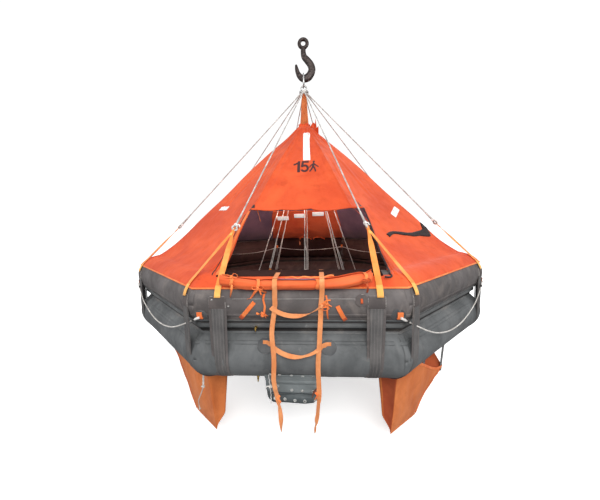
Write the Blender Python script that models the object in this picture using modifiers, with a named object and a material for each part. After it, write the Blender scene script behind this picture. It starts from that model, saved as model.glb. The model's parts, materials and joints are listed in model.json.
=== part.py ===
"""Davit-launched inflatable life raft, hanging from its hook.

Two stacked eight-sided buoyancy tubes, an inflated floor, a tent canopy of
eight panels, and the bridle that carries it all: hook, link, shackle, eight
outer ropes with webbing legs, a central strap and eight inner ropes.
Metres, +Z up, the boarding entrance faces -Y.  The origin is the centre of
the hook's eye, which is what holds the raft up.
"""
import math

import bpy
import bmesh
import numpy as np
from mathutils import Matrix, Vector

for _ob in list(bpy.data.objects):
    bpy.data.objects.remove(_ob, do_unlink=True)

# ---------------------------------------------------------------- dimensions
# Heights are above the underside of the lower tube; the empty below moves
# everything down so that the hook's eye is at the origin.
SIDES = 8
HALF = math.pi / SIDES
EYE_Z = 3.010              # centre of the hook's eye
TUBE_R = 0.1825            # radius of each buoyancy tube
TUBE_A = 1.483             # apothem of the tubes' centre line
LOWER_Z = TUBE_R
UPPER_Z = 0.548
SKIN = 0.003               # canopy cloth with its coating, drawn as one solid
GAP = 0.0004               # clearance between pieces that touch

FLOOR_A = 1.300
FLOOR_Z = (0.045, 0.120)

BOWL_Z = 2.684             # inside bottom of the hook's bowl
LINK_R, LINK_W = 0.009, 0.042
SHACKLE_Z = 2.500          # pin of the shackle
SHACKLE_R = 0.009
BRIDLE_Z = 2.520           # where the lines of the eight ropes meet
ROPE_R = 0.006
LEG_END_Z = 0.600          # where the webbing legs are sewn to the tube
LEG_W = 0.040
LEG_U = {0: 0.508, 4: 0.508}   # sideways place of the legs on the two entrance faces
LEG_U_SIDE = 0.614             # and on the six others
THIMBLE_AT = 0.785         # share of the way from the shackle to the tube

INNER_TOP = (0.034, 2.010)
INNER_FOOT = (0.700, 0.132)

# ridge line of the canopy: radius to a corner, height, inward sag between corners
TENT = [(1.518, 0.792, 0.004), (1.400, 0.884, 0.012), (1.180, 1.095, 0.020),
        (0.930, 1.325, 0.024), (0.655, 1.595, 0.026), (0.430, 1.800, 0.024),
        (0.200, 2.000, 0.016), (0.110, 2.083, 0.0)]
SEAM_DEG = 33.0            # canopy seam on the upper tube, above horizontal

# outline of an entrance in plan, entrance at -Y
DOOR = [(-0.505, -1.560), (0.575, -1.560), (0.505, -1.000), (-0.392, -1.000)]

ORANGE = (0.78, 0.16, 0.035)
GREY = (0.075, 0.078, 0.080)

# ---------------------------------------------------------------- helpers
collection = bpy.data.collections.new("davit_launched_life_raft")
bpy.context.scene.collection.children.link(collection)
cutters = bpy.data.collections.new("cutters")
bpy.context.scene.collection.children.link(cutters)

root = bpy.data.objects.new("raft_origin", None)
collection.objects.link(root)
root.location = (0.0, 0.0, -EYE_Z)


def material(name, colour, roughness, metallic=0.0):
    mat = bpy.data.materials.new(name)
    mat.use_nodes = True
    bsdf = mat.node_tree.nodes["Principled BSDF"]
    bsdf.inputs["Base Color"].default_value = (*colour, 1.0)
    bsdf.inputs["Roughness"].default_value = roughness
    bsdf.inputs["Metallic"].default_value = metallic
    mat.diffuse_color = (*colour, 1.0)
    return mat


M_TUBE = material("tube_rubber", GREY, 0.62)
M_CANOPY = material("canopy_cloth", ORANGE, 0.55)
M_WEB = material("orange_webbing", (0.85, 0.36, 0.10), 0.7)
M_ROPE = material("white_rope", (0.62, 0.60, 0.57), 0.75)
M_HOOK = material("forged_steel", (0.03, 0.028, 0.027), 0.5, 0.8)
M_LINK = material("galvanised_steel", (0.55, 0.55, 0.54), 0.38, 1.0)
M_FLOOR = material("floor_rubber", (0.06, 0.06, 0.065), 0.7)
M_POUCH = material("pouch_fabric", (0.05, 0.055, 0.058), 0.65)
M_BOTTLE = material("bottle_paint", (0.42, 0.43, 0.44), 0.4, 0.3)


def place(obj, mat, group=None):
    (group or collection).objects.link(obj)
    if mat is not None:
        obj.data.materials.append(mat)
    obj.parent = root
    return obj


def face_axes(k):
    """Outward normal and sideways direction of face k; face 0 looks along -Y."""
    a = -math.pi / 2 + k * 2 * HALF
    return (Vector((math.cos(a), math.sin(a), 0.0)),
            Vector((-math.sin(a), math.cos(a), 0.0)))


def corner_dir(k):
    a = -math.pi / 2 + (k - 0.5) * 2 * HALF
    return Vector((math.cos(a), math.sin(a), 0.0))


def on_face(k, a, u, z):
    n, t = face_axes(k)
    return n * a + t * u + Vector((0.0, 0.0, z))


def smooth_path(points, count):
    """Even points on a smooth curve (Catmull-Rom) through the given ones."""
    p = [Vector(q) for q in points]
    p = [p[0] * 2 - p[1]] + p + [p[-1] * 2 - p[-2]]
    dense = []
    for i in range(1, len(p) - 2):
        for s in range(24):
            t = s / 24
            a, b, c, d = p[i - 1], p[i], p[i + 1], p[i + 2]
            dense.append(0.5 * ((2 * b) + (c - a) * t + (2 * a - 5 * b + 4 * c - d) * t * t
                                + (3 * b - a - 3 * c + d) * t ** 3))
    dense.append(p[-2])
    run = [0.0]
    for q, r in zip(dense, dense[1:]):
        run.append(run[-1] + (r - q).length)
    out = []
    for i in range(count):
        want = run[-1] * i / (count - 1)
        j = min(max(np.searchsorted(run, want), 1), len(run) - 1)
        f = (want - run[j - 1]) / max(run[j] - run[j - 1], 1e-9)
        out.append(dense[j - 1].lerp(dense[j], f))
    return out


def tube_curve(name, points, radius, mat, resolution=2, cyclic=False, radii=None, group=None):
    data = bpy.data.curves.new(name, "CURVE")
    data.dimensions = "3D"
    data.bevel_depth = radius
    data.bevel_resolution = resolution
    data.use_fill_caps = not cyclic
    spline = data.splines.new("POLY")
    spline.points.add(len(points) - 1)
    for i, p in enumerate(points):
        spline.points[i].co = (*p, 1.0)
        spline.points[i].radius = 1.0 if radii is None else radii[i]
    spline.use_cyclic_u = cyclic
    return place(bpy.data.objects.new(name, data), mat, group)


def as_mesh(obj):
    """The evaluated object as a plain closed mesh, in place of a curve."""
    bpy.context.view_layer.update()
    dg = bpy.context.evaluated_depsgraph_get()
    mesh = bpy.data.meshes.new_from_object(obj.evaluated_get(dg))
    bm = bmesh.new()
    bm.from_mesh(mesh)
    bmesh.ops.remove_doubles(bm, verts=bm.verts, dist=0.00002)
    bmesh.ops.recalc_face_normals(bm, faces=bm.faces)
    bm.to_mesh(mesh)
    bm.free()
    name, mats, group = obj.name, [m for m in obj.data.materials], obj.users_collection[0]
    local = obj.matrix_basis.copy()
    bpy.data.objects.remove(obj, do_unlink=True)
    new = bpy.data.objects.new(name, mesh)
    mesh.name = name
    if not mesh.materials:
        for m in mats:
            mesh.materials.append(m)
    group.objects.link(new)
    new.parent = root
    new.matrix_basis = local
    return new


def boolean(obj, tool, how="UNION"):
    mod = obj.modifiers.new(how.lower(), "BOOLEAN")
    mod.operation = how
    mod.solver = "EXACT"
    mod.object = tool


def hide_tool(obj):
    for c in list(obj.users_collection):
        c.objects.unlink(obj)
    cutters.objects.link(obj)
    obj.hide_render = True
    obj.display_type = "WIRE"
    return obj


def loft_sheet(name, rows, thickness, mat, offset=1.0, group=None):
    """An open sheet lofted through rows of points, given thickness by Solidify."""
    bm = bmesh.new()
    grid = [[bm.verts.new(p) for p in row] for row in rows]
    for a, b in zip(grid, grid[1:]):
        for i in range(len(a) - 1):
            bm.faces.new((a[i], a[i + 1], b[i + 1], b[i]))
    mesh = bpy.data.meshes.new(name)
    bm.to_mesh(mesh)
    bm.free()
    obj = place(bpy.data.objects.new(name, mesh), mat, group)
    mod = obj.modifiers.new("thickness", "SOLIDIFY")
    mod.thickness = thickness
    mod.offset = offset
    mod.use_even_offset = False
    return obj


def ribbon(name, centre, across, width, thickness, mat, group=None):
    """A flat strap along the centre points; across gives its width direction."""
    rows = []
    for i, p in enumerate(centre):
        a = centre[max(i - 1, 0)]
        b = centre[min(i + 1, len(centre) - 1)]
        run = (b - a).normalized()
        w = across[i] if isinstance(across, list) else across
        w = (w - run * w.dot(run)).normalized() * width / 2
        rows.append([p - w, p + w])
    return loft_sheet(name, rows, thickness, mat, 0.0, group)


def block(name, corners, mat, group=None):
    """A cube primitive whose eight corners are moved: corners[(sx, sy, sz)]."""
    bm = bmesh.new()
    bmesh.ops.create_cube(bm, size=2.0)
    for v in bm.verts:
        v.co = Vector(corners[tuple(int(round(c)) for c in v.co)])
    mesh = bpy.data.meshes.new(name)
    bm.to_mesh(mesh)
    bm.free()
    return place(bpy.data.objects.new(name, mesh), mat, group)


# ---------------------------------------------------------------- tubes and floor
def buoyancy_tube(name, z):
    """A round tube along an octagon, mitred at the corners: the section in the
    mitre plane is an ellipse, turned in eight steps."""
    steps = 24
    bm = bmesh.new()
    ring = []
    for i in range(steps):
        a = -2 * math.pi * i / steps
        ring.append(bm.verts.new(((TUBE_A + TUBE_R * math.cos(a)) / math.cos(HALF), 0.0,
                                  TUBE_R * math.sin(a))))
    for i in range(steps):
        bm.edges.new((ring[i], ring[(i + 1) % steps]))
    mesh = bpy.data.meshes.new(name)
    bm.to_mesh(mesh)
    bm.free()
    obj = place(bpy.data.objects.new(name, mesh), M_TUBE)
    obj.location = (0.0, 0.0, z)
    obj.rotation_euler = (0.0, 0.0, HALF)
    mod = obj.modifiers.new("turn", "SCREW")
    mod.steps = SIDES
    mod.render_steps = SIDES
    mod.use_merge_vertices = True
    mod.merge_threshold = 0.0001
    return obj


buoyancy_tube("lower_tube", LOWER_Z)
buoyancy_tube("upper_tube", UPPER_Z)

bpy.ops.mesh.primitive_cylinder_add(vertices=SIDES, radius=FLOOR_A / math.cos(HALF),
                                    depth=FLOOR_Z[1] - FLOOR_Z[0], end_fill_type="NGON")
floor = bpy.context.object
floor.name = "floor"
for c in list(floor.users_collection):
    c.objects.unlink(floor)
place(floor, M_FLOOR)
floor.location = (0.0, 0.0, sum(FLOOR_Z) / 2)
floor.rotation_euler = (0.0, 0.0, HALF)


# ---------------------------------------------------------------- canopy
def tent_rows():
    rows = []
    for deg in (SEAM_DEG, 47.0, 62.0, 76.0, 90.0):
        r = TUBE_R + 0.0045
        a = TUBE_A + r * math.cos(math.radians(deg))
        rows.append((a / math.cos(HALF), UPPER_Z + r * math.sin(math.radians(deg)), 0.0))
    return rows + TENT


def panel(name, k, mat, group=None, out=0.0, thickness=SKIN):
    n, t = face_axes(k)
    rows = []
    for radius, z, sag in tent_rows():
        row = []
        half = radius * math.sin(HALF) - 0.0008
        for i in range(9):
            s = -1 + 2 * i / 8
            a = radius * math.cos(HALF) * (1 - sag * (1 - s * s)) - 0.0002
            row.append(n * (a + out) + t * (s * half) + Vector((0, 0, z + out)))
        rows.append(row)
    return loft_sheet(name, rows, thickness, mat, 1.0, group)


def door_prism(name, turn, inset=0.0):
    """The doorway as a tall prism over its plan outline."""
    cx = sum(p[0] for p in DOOR) / 4
    cy = sum(p[1] for p in DOOR) / 4
    data = bpy.data.curves.new(name, "CURVE")
    data.dimensions = "2D"
    data.fill_mode = "BOTH"
    data.extrude = 0.45
    spline = data.splines.new("POLY")
    spline.points.add(3)
    for i, (x, y) in enumerate(DOOR):
        fx = x - math.copysign(inset, x - cx)
        fy = y - math.copysign(inset, y - cy)
        spline.points[i].co = (fx, fy, 0.0, 1.0)
    spline.use_cyclic_u = True
    obj = place(bpy.data.objects.new(name, data), None)
    obj.location = (0.0, 0.0, 1.0)
    obj.rotation_euler = (0.0, 0.0, turn)
    return hide_tool(as_mesh(obj))


PANELS = ["front", "front_right", "right", "back_right",
          "back", "back_left", "left", "front_left"]
front_door = door_prism("front_doorway", 0.0)
back_door = door_prism("back_doorway", math.pi)
for k, word in enumerate(PANELS):
    gore = panel("canopy_panel_" + word, k, M_CANOPY)
    if k in (0, 1, 7):
        boolean(gore, front_door, "DIFFERENCE")
    if k in (3, 4, 5):
        boolean(gore, back_door, "DIFFERENCE")

# the rear doorway is closed by its curtain, which lies in the panel's surface
curtain = panel("rear_curtain", 4, M_CANOPY)
boolean(curtain, door_prism("back_doorway_inner", math.pi, 0.0015), "INTERSECT")

# short sleeve round the strap at the top of the tent
collar = bpy.data.meshes.new("canopy_collar")
bm = bmesh.new()
for r, z in ((0.106, 0.0), (0.092, 0.046)):
    bm.verts.new((r, 0.0, z))
bm.verts.ensure_lookup_table()
bm.edges.new((bm.verts[1], bm.verts[0]))
bm.to_mesh(collar)
bm.free()
collar = place(bpy.data.objects.new("canopy_collar", collar), M_CANOPY)
collar.location = (0.0, 0.0, 2.0905)
mod = collar.modifiers.new("turn", "SCREW")
mod.steps = 24
mod.render_steps = 24
mod.use_merge_vertices = True
mod.merge_threshold = 0.0001
mod = collar.modifiers.new("thickness", "SOLIDIFY")
mod.thickness = 0.004
mod.offset = 0.0

# the front curtain, rolled up on the sill and tied there
roll_points = []
for u, lift in ((-0.478, 0.032), (-0.42, 0.022), (-0.30, 0.005), (-0.10, 0.0), (0.10, 0.0),
                (0.26, 0.008), (0.38, 0.030), (0.458, 0.046)):
    r = TUBE_R + 0.0085 + 0.038 + GAP
    deg = math.radians(36.0)
    roll_points.append(on_face(0, TUBE_A + r * math.cos(deg) - 0.35 * lift, u,
                               UPPER_Z + r * math.sin(deg) + lift))
tube_curve("front_curtain_roll", smooth_path(roll_points, 20), 0.037, M_CANOPY, 4)

# ---------------------------------------------------------------- hook, link, shackle
# centre line of the forging, with its half thickness: from the point, round
# the bowl, up the back and into the neck
HOOK = [((-0.0831, 0.105), 0.0125), ((-0.0764, 0.065), 0.0205), ((-0.0618, 0.0168), 0.0255),
        ((-0.0348, -0.0215), 0.0330), ((0.0020, -0.0400), 0.0396), ((0.0500, -0.0262), 0.0435),
        ((0.0831, 0.0147), 0.0415), ((0.0933, 0.0567), 0.0390), ((0.0787, 0.1039), 0.0380),
        ((0.0440, 0.1490), 0.0365), ((0.0120, 0.1860), 0.0330), ((0.0, 0.230), 0.0280),
        ((0.0, 0.285), 0.0260)]
path = smooth_path([(x, 0.0, z) for (x, z), _ in HOOK], 34)
run_in = np.cumsum([0.0] + [math.dist(HOOK[i][0], HOOK[i + 1][0]) for i in range(len(HOOK) - 1)])
run_out = np.linspace(0.0, run_in[-1], 34)
thick = np.interp(run_out, run_in, [h for _, h in HOOK])
hook = tube_curve("davit_hook", [p for p in path], 1.0, M_HOOK, 5, radii=[float(v) for v in thick])
hook.location = (0.0, 0.0, BOWL_Z - 0.0006)
hook.scale = (1.0, 0.66, 1.0)
hook = as_mesh(hook)
bpy.ops.mesh.primitive_torus_add(major_radius=0.044, minor_radius=0.0195,
                                 major_segments=28, minor_segments=14)
eye = bpy.context.object
eye.name = "hook_eye_ring"
for c in list(eye.users_collection):
    c.objects.unlink(eye)
place(eye, None)
eye.rotation_euler = (math.pi / 2, 0.0, 0.0)
eye.location = (0.0, 0.0, EYE_Z)
hide_tool(eye)
boolean(hook, eye)


def stadium(half_width, top, bottom, count=10):
    """Centre line of an oblong link in the Y-Z plane."""
    pts = []
    for i in range(count + 1):
        a = math.pi * i / count
        pts.append((0.0, half_width * math.cos(a), top - half_width + half_width * math.sin(a)))
    for i in range(count + 1):
        a = math.pi + math.pi * i / count
        pts.append((0.0, half_width * math.cos(a), bottom + half_width + half_width * math.sin(a)))
    return pts


link_top = BOWL_Z + GAP + LINK_R
bow_top = SHACKLE_Z + 0.066
link_bottom = bow_top - SHACKLE_R - LINK_R - GAP
tube_curve("lifting_link", stadium(LINK_W, link_top, link_bottom), LINK_R, M_LINK, 3, cyclic=True)

bow = [(-0.030, 0.0, SHACKLE_Z)]
for i in range(11):
    a = math.pi - math.pi * i / 10
    bow.append((0.030 * math.cos(a), 0.0, SHACKLE_Z + 0.036 + 0.030 * math.sin(a)))
bow.append((0.030, 0.0, SHACKLE_Z))
shackle = as_mesh(tube_curve("lifting_shackle", bow, SHACKLE_R, M_LINK, 3))
pin = as_mesh(tube_curve("shackle_pin", [(-0.052, 0.0, SHACKLE_Z), (0.052, 0.0, SHACKLE_Z)],
                         0.011, None, 4))
boolean(shackle, hide_tool(pin))

# ---------------------------------------------------------------- bridle
# the strap that lifts the tent and the inner ropes, wider towards the tent
top_z, low_z = SHACKLE_Z - 0.0115, 2.020
block("canopy_lift_strap",
      {(sx, sy, sz): (sx * (0.026 if sz > 0 else 0.057), sy * (0.006 if sz > 0 else 0.013),
                      top_z if sz > 0 else low_z)
       for sx in (-1, 1) for sy in (-1, 1) for sz in (-1, 1)}, M_WEB)


def leg_u(k):
    return LEG_U.get(k % SIDES, LEG_U_SIDE)


def leg_path(k, p, u_end):
    """From the thimble to the tube of face k, then round it to the sewn end."""
    n, t = face_axes(k)
    r = TUBE_R + 0.0120
    a, z = p.dot(n), p.z
    da, dz = a - TUBE_A, z - UPPER_Z
    touch = math.atan2(dz, da) - math.acos(r / math.hypot(da, dz))
    end = math.asin((LEG_END_Z - UPPER_Z) / r)
    pts = [(a, z)]
    for f in (0.25, 0.5, 0.75):
        pts.append((a + f * (TUBE_A + r * math.cos(touch) - a),
                    z + f * (UPPER_Z + r * math.sin(touch) - z)))
    for i in range(6):
        g = touch + (end - touch) * i / 5
        pts.append((TUBE_A + r * math.cos(g), UPPER_Z + r * math.sin(g)))
    run = [0.0]
    for q, s in zip(pts, pts[1:]):
        run.append(run[-1] + math.dist(q, s))
    u0 = p.dot(t)
    return [n * q[0] + t * (u0 + (u_end - u0) * d / run[-1]) + Vector((0, 0, q[1]))
            for q, d in zip(pts, run)], t


CORNERS = {0: "front_left", 1: "front_right", 2: "right_front", 3: "right_back",
           4: "back_right", 5: "back_left", 6: "left_back", 7: "left_front"}
for k, word in CORNERS.items():
    right_face, left_face = k % SIDES, (k - 1) % SIDES
    end_a = TUBE_A + math.sqrt((TUBE_R + 0.012) ** 2 - (LEG_END_Z - UPPER_Z) ** 2)
    ends = [on_face(right_face, end_a, -leg_u(right_face), LEG_END_Z),
            on_face(left_face, end_a, leg_u(left_face), LEG_END_Z)]
    middle = (ends[0] + ends[1]) / 2
    meet = Vector((0.0, 0.0, BRIDLE_Z))
    line = (middle - meet)
    p = meet + line * THIMBLE_AT
    d = line.normalized()
    flat = Vector((line.x, line.y, 0.0)).length
    start = meet + line * (0.036 / flat)
    tube_curve("suspension_rope_" + word, [start, p - d * 0.0325], ROPE_R, M_ROPE, 2)
    legs = []
    for face, side in ((right_face, -1), (left_face, 1)):
        centre, t = leg_path(face, p, side * leg_u(face))
        legs.append(ribbon("leg_%d_%d" % (k, side), centre, t, LEG_W, 0.003, None))
    knot = as_mesh(tube_curve("webbing_legs_" + word, [p - d * 0.032, p + d * 0.030], 0.021,
                              M_WEB, 3))
    for leg in legs:
        boolean(knot, hide_tool(leg))

for k in range(SIDES):
    a = -math.pi / 2 + k * math.pi / 4
    d = Vector((math.cos(a), math.sin(a), 0.0))
    top = d * INNER_TOP[0] + Vector((0, 0, INNER_TOP[1]))
    foot = d * INNER_FOOT[0] + Vector((0, 0, INNER_FOOT[1]))
    tube_curve("inner_rope_" + PANELS[k], [top, foot], 0.0055, M_ROPE, 2)


# ---------------------------------------------------------------- boarding ladders
def ladder(word, face):
    """Two webbing uprights over the upper tube and two loose webbing rungs."""
    n, t = face_axes(face)
    r = TUBE_R + 0.0105
    sides = []
    for sgn, us, low in ((-1, (-0.135, -0.150, -0.163, -0.160, -0.128, -0.118), -0.296),
                         (1, (0.152, 0.146, 0.131, 0.125, 0.120, 0.096), -0.305)):
        pts = []
        for deg in (26, 17, 8, 0):
            g = math.radians(deg)
            pts.append((TUBE_A + r * math.cos(g), UPPER_Z + r * math.sin(g)))
        for z in (0.42, 0.30, 0.18, 0.06, -0.09, -0.18, low):
            pts.append((TUBE_A + r, z))
        z_ref = [0.65, 0.49, 0.36, 0.06, -0.18, low]
        centre = []
        for a, z in pts:
            u = float(np.interp(-z, [-q for q in z_ref], us))
            centre.append(n * a + t * u + Vector((0, 0, z)))
        sides.append(ribbon("%s_upright_%d" % (word, sgn), centre, t, 0.026, 0.003,
                            M_WEB if sgn < 0 else None))
    rungs = []
    for z0, z1, drop, u0, u1 in ((0.540, 0.545, 0.060, -0.150, 0.155),
                                 (0.288, 0.280, 0.050, -0.222, 0.200)):
        centre = []
        for i in range(9):
            f = i / 8
            centre.append(n * (TUBE_A + r) + t * (u0 + (u1 - u0) * f)
                          + Vector((0, 0, z0 + (z1 - z0) * f - 4 * drop * f * (1 - f))))
        rungs.append(ribbon("%s_rung_%.2f" % (word, z0), centre, Vector((0, 0, 1)), 0.024, 0.0045,
                            None))
    main = sides[0]
    main.name = word + "_ladder"
    for tool in [sides[1]] + rungs:
        boolean(main, hide_tool(tool))


ladder("front", 0)
ladder("rear", 4)


# ---------------------------------------------------------------- water pockets
def pocket(word, face, mirrored):
    """A ballast pocket hung below the corner between an entrance face and the
    face next to it: deep at the corner, its lower edge running along the face."""
    n, t = face_axes(face)
    m = -1.0 if mirrored else 1.0
    c = 1.483 * math.tan(HALF)

    def at(a, s, z):
        return n * a + t * (m * (s - c)) + Vector((0, 0, z))

    corners = {}
    for sx in (-1, 1):
        for sy in (-1, 1):
            for sz in (-1, 1):
                a = (1.530 if sy > 0 else 1.370) if sz > 0 else (1.490 if sy > 0 else 1.430)
                s = (0.030 if sx < 0 else 0.785) if sz > 0 else (0.030 if sx < 0 else 0.400)
                z = -0.0035 if sz > 0 else (-0.455 if sx < 0 else -0.490)
                x = sx if not mirrored else -sx
                corners[(x, -sy, sz)] = at(a, s, z)
    return block("water_pocket_" + word, corners, M_CANOPY)


pocket("front_right", 1, False)
pocket("front_left", 7, True)
pocket("back_left", 5, False)
pocket("back_right", 3, True)

# ---------------------------------------------------------------- gas bottle
pouch = block("gas_bottle_pouch",
              {(sx, sy, sz): (0.132 if sx > 0 else -0.222,
                              (-1.040 if sy > 0 else (-1.560 if sz > 0 else -1.540)),
                              -0.0035 if sz > 0 else -0.165)
               for sx in (-1, 1) for sy in (-1, 1) for sz in (-1, 1)}, M_POUCH)
mod = pouch.modifiers.new("soft_edges", "BEVEL")
mod.width = 0.035
mod.segments = 3
mod.limit_method = "ANGLE"

bpy.ops.mesh.primitive_cylinder_add(vertices=24, radius=0.070, depth=0.120)
bottle = bpy.context.object
bottle.name = "gas_bottle"
for c in list(bottle.users_collection):
    c.objects.unlink(bottle)
place(bottle, M_BOTTLE)
bottle.rotation_euler = (math.pi / 2, 0.0, 0.0)
bottle.location = (-0.045, -0.9795, -0.085)
mod = bottle.modifiers.new("shoulder", "BEVEL")
mod.width = 0.030
mod.segments = 3
mod.limit_method = "ANGLE"
neck = as_mesh(tube_curve("bottle_neck", [(-0.045, -0.935, -0.085), (-0.045, -0.860, -0.085)],
                          0.017, None, 3))
boolean(bottle, hide_tool(neck))


# ---------------------------------------------------------------- lifeline
def corner_point(k, radius, z, back=0.0, face=None):
    return corner_dir(k) * radius + Vector((0, 0, z))


def bight(word, start, end, face, low):
    """One hanging length of the outer lifeline, from tab to tab."""
    n, t = face_axes(face)
    pts = []
    for i in range(7):
        f = i / 6
        p = start.lerp(end, f)
        p.z -= 4 * low * f * (1 - f)
        a = p.dot(n)
        lean = 0.022 + 0.012 * math.sin(math.pi * f)
        if 0 < i < 6:
            p += n * max(0.0, 1.6655 + lean - a)
        pts.append(p)
    tube_curve("lifeline_" + word, smooth_path(pts, 30), 0.0055, M_ROPE, 2)


TAB_Z = 0.470
tab_a = TUBE_A + math.sqrt((TUBE_R + 0.018) ** 2 - (TAB_Z - UPPER_Z) ** 2)
side_r = tab_a / math.cos(HALF) + 0.004
for word, face, s_face, s_u, e_corner, low in (
        ("front_right", 1, 0, 0.632, 2, 0.235), ("front_left", 7, 0, -0.632, 7, 0.190),
        ("back_left", 5, 4, 0.632, 6, 0.215), ("back_right", 3, 4, -0.632, 3, 0.205)):
    a = on_face(s_face, tab_a, s_u, TAB_Z)
    b = corner_point(e_corner, side_r, TAB_Z)
    n, t = face_axes(face)
    bight(word, a, b + t * (0.012 if b.dot(t) < 0 else -0.012), face, low)
for word, face, c0, c1, low in (("right", 2, 2, 3, 0.21), ("left", 6, 6, 7, 0.20)):
    n, t = face_axes(face)
    a = corner_point(c0, side_r, TAB_Z) + t * 0.012
    b = corner_point(c1, side_r, TAB_Z) - t * 0.012
    bight(word, a, b, face, low)
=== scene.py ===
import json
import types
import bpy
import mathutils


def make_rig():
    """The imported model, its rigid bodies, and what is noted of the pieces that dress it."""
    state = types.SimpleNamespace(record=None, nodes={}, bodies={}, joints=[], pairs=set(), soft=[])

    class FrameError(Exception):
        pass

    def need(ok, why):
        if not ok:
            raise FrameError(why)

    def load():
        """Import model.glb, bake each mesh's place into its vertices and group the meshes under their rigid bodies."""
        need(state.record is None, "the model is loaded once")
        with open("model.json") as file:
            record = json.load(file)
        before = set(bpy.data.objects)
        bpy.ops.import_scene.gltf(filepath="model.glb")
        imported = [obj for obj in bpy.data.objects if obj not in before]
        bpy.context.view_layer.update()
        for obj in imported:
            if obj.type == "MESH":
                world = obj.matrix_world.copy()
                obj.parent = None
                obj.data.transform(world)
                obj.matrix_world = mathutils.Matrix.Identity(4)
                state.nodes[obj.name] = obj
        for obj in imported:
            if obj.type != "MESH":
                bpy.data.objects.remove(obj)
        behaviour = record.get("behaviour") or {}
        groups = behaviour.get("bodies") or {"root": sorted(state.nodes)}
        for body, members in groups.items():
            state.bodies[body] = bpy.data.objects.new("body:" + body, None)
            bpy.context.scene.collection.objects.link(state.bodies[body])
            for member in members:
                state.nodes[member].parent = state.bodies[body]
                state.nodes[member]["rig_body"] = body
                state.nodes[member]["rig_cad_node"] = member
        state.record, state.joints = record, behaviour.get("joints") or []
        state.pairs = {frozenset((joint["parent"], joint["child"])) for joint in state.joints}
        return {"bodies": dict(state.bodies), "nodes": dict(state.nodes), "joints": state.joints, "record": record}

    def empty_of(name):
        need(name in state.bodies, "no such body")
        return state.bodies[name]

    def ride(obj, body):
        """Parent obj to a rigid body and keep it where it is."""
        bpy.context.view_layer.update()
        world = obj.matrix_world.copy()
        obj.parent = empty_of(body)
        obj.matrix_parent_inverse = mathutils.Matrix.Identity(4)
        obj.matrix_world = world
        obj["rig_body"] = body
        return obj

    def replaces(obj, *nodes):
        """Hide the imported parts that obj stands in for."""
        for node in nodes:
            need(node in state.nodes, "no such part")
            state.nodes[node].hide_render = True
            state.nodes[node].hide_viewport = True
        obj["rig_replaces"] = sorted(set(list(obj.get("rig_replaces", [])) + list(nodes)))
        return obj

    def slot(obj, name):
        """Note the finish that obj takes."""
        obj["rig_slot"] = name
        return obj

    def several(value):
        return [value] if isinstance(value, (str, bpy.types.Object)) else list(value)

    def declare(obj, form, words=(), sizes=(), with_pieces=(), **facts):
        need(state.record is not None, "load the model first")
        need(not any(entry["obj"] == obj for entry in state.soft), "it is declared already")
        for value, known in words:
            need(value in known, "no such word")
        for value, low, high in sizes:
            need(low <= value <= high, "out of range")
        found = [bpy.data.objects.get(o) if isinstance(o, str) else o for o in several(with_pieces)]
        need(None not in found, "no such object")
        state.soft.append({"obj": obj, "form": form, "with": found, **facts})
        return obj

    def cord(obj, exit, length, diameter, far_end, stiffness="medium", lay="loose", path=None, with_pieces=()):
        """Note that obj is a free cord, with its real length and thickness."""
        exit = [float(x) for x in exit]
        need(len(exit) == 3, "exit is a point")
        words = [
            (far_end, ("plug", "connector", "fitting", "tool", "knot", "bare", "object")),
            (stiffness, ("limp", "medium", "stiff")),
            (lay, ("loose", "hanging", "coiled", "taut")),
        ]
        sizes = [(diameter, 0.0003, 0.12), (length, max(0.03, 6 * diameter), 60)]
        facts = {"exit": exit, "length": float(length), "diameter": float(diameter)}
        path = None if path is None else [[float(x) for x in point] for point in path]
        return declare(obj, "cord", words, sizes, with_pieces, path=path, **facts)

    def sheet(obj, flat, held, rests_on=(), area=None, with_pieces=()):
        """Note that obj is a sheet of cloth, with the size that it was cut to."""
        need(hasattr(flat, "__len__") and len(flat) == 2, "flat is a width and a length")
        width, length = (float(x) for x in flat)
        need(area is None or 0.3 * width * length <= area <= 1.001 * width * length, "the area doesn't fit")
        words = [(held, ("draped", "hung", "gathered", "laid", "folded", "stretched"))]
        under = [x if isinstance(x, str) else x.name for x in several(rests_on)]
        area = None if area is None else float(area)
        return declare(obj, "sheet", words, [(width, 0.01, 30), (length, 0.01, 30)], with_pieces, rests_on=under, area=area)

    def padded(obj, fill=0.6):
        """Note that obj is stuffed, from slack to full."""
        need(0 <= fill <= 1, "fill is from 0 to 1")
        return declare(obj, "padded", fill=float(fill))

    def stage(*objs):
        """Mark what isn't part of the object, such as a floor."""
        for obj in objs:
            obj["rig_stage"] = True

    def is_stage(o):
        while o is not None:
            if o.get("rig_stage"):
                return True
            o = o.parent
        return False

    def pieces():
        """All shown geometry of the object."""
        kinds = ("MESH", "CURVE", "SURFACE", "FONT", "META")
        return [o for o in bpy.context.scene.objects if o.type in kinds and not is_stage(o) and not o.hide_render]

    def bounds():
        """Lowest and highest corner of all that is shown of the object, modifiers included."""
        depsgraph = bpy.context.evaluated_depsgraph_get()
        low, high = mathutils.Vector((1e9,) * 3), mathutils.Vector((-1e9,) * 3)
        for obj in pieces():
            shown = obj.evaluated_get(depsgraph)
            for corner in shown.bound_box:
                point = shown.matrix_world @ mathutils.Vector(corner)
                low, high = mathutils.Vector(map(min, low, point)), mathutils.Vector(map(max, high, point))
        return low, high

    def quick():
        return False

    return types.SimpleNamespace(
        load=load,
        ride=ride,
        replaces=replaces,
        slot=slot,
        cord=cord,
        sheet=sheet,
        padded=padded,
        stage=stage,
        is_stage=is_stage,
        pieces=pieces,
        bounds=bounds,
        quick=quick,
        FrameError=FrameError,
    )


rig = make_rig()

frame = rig.load()

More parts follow.
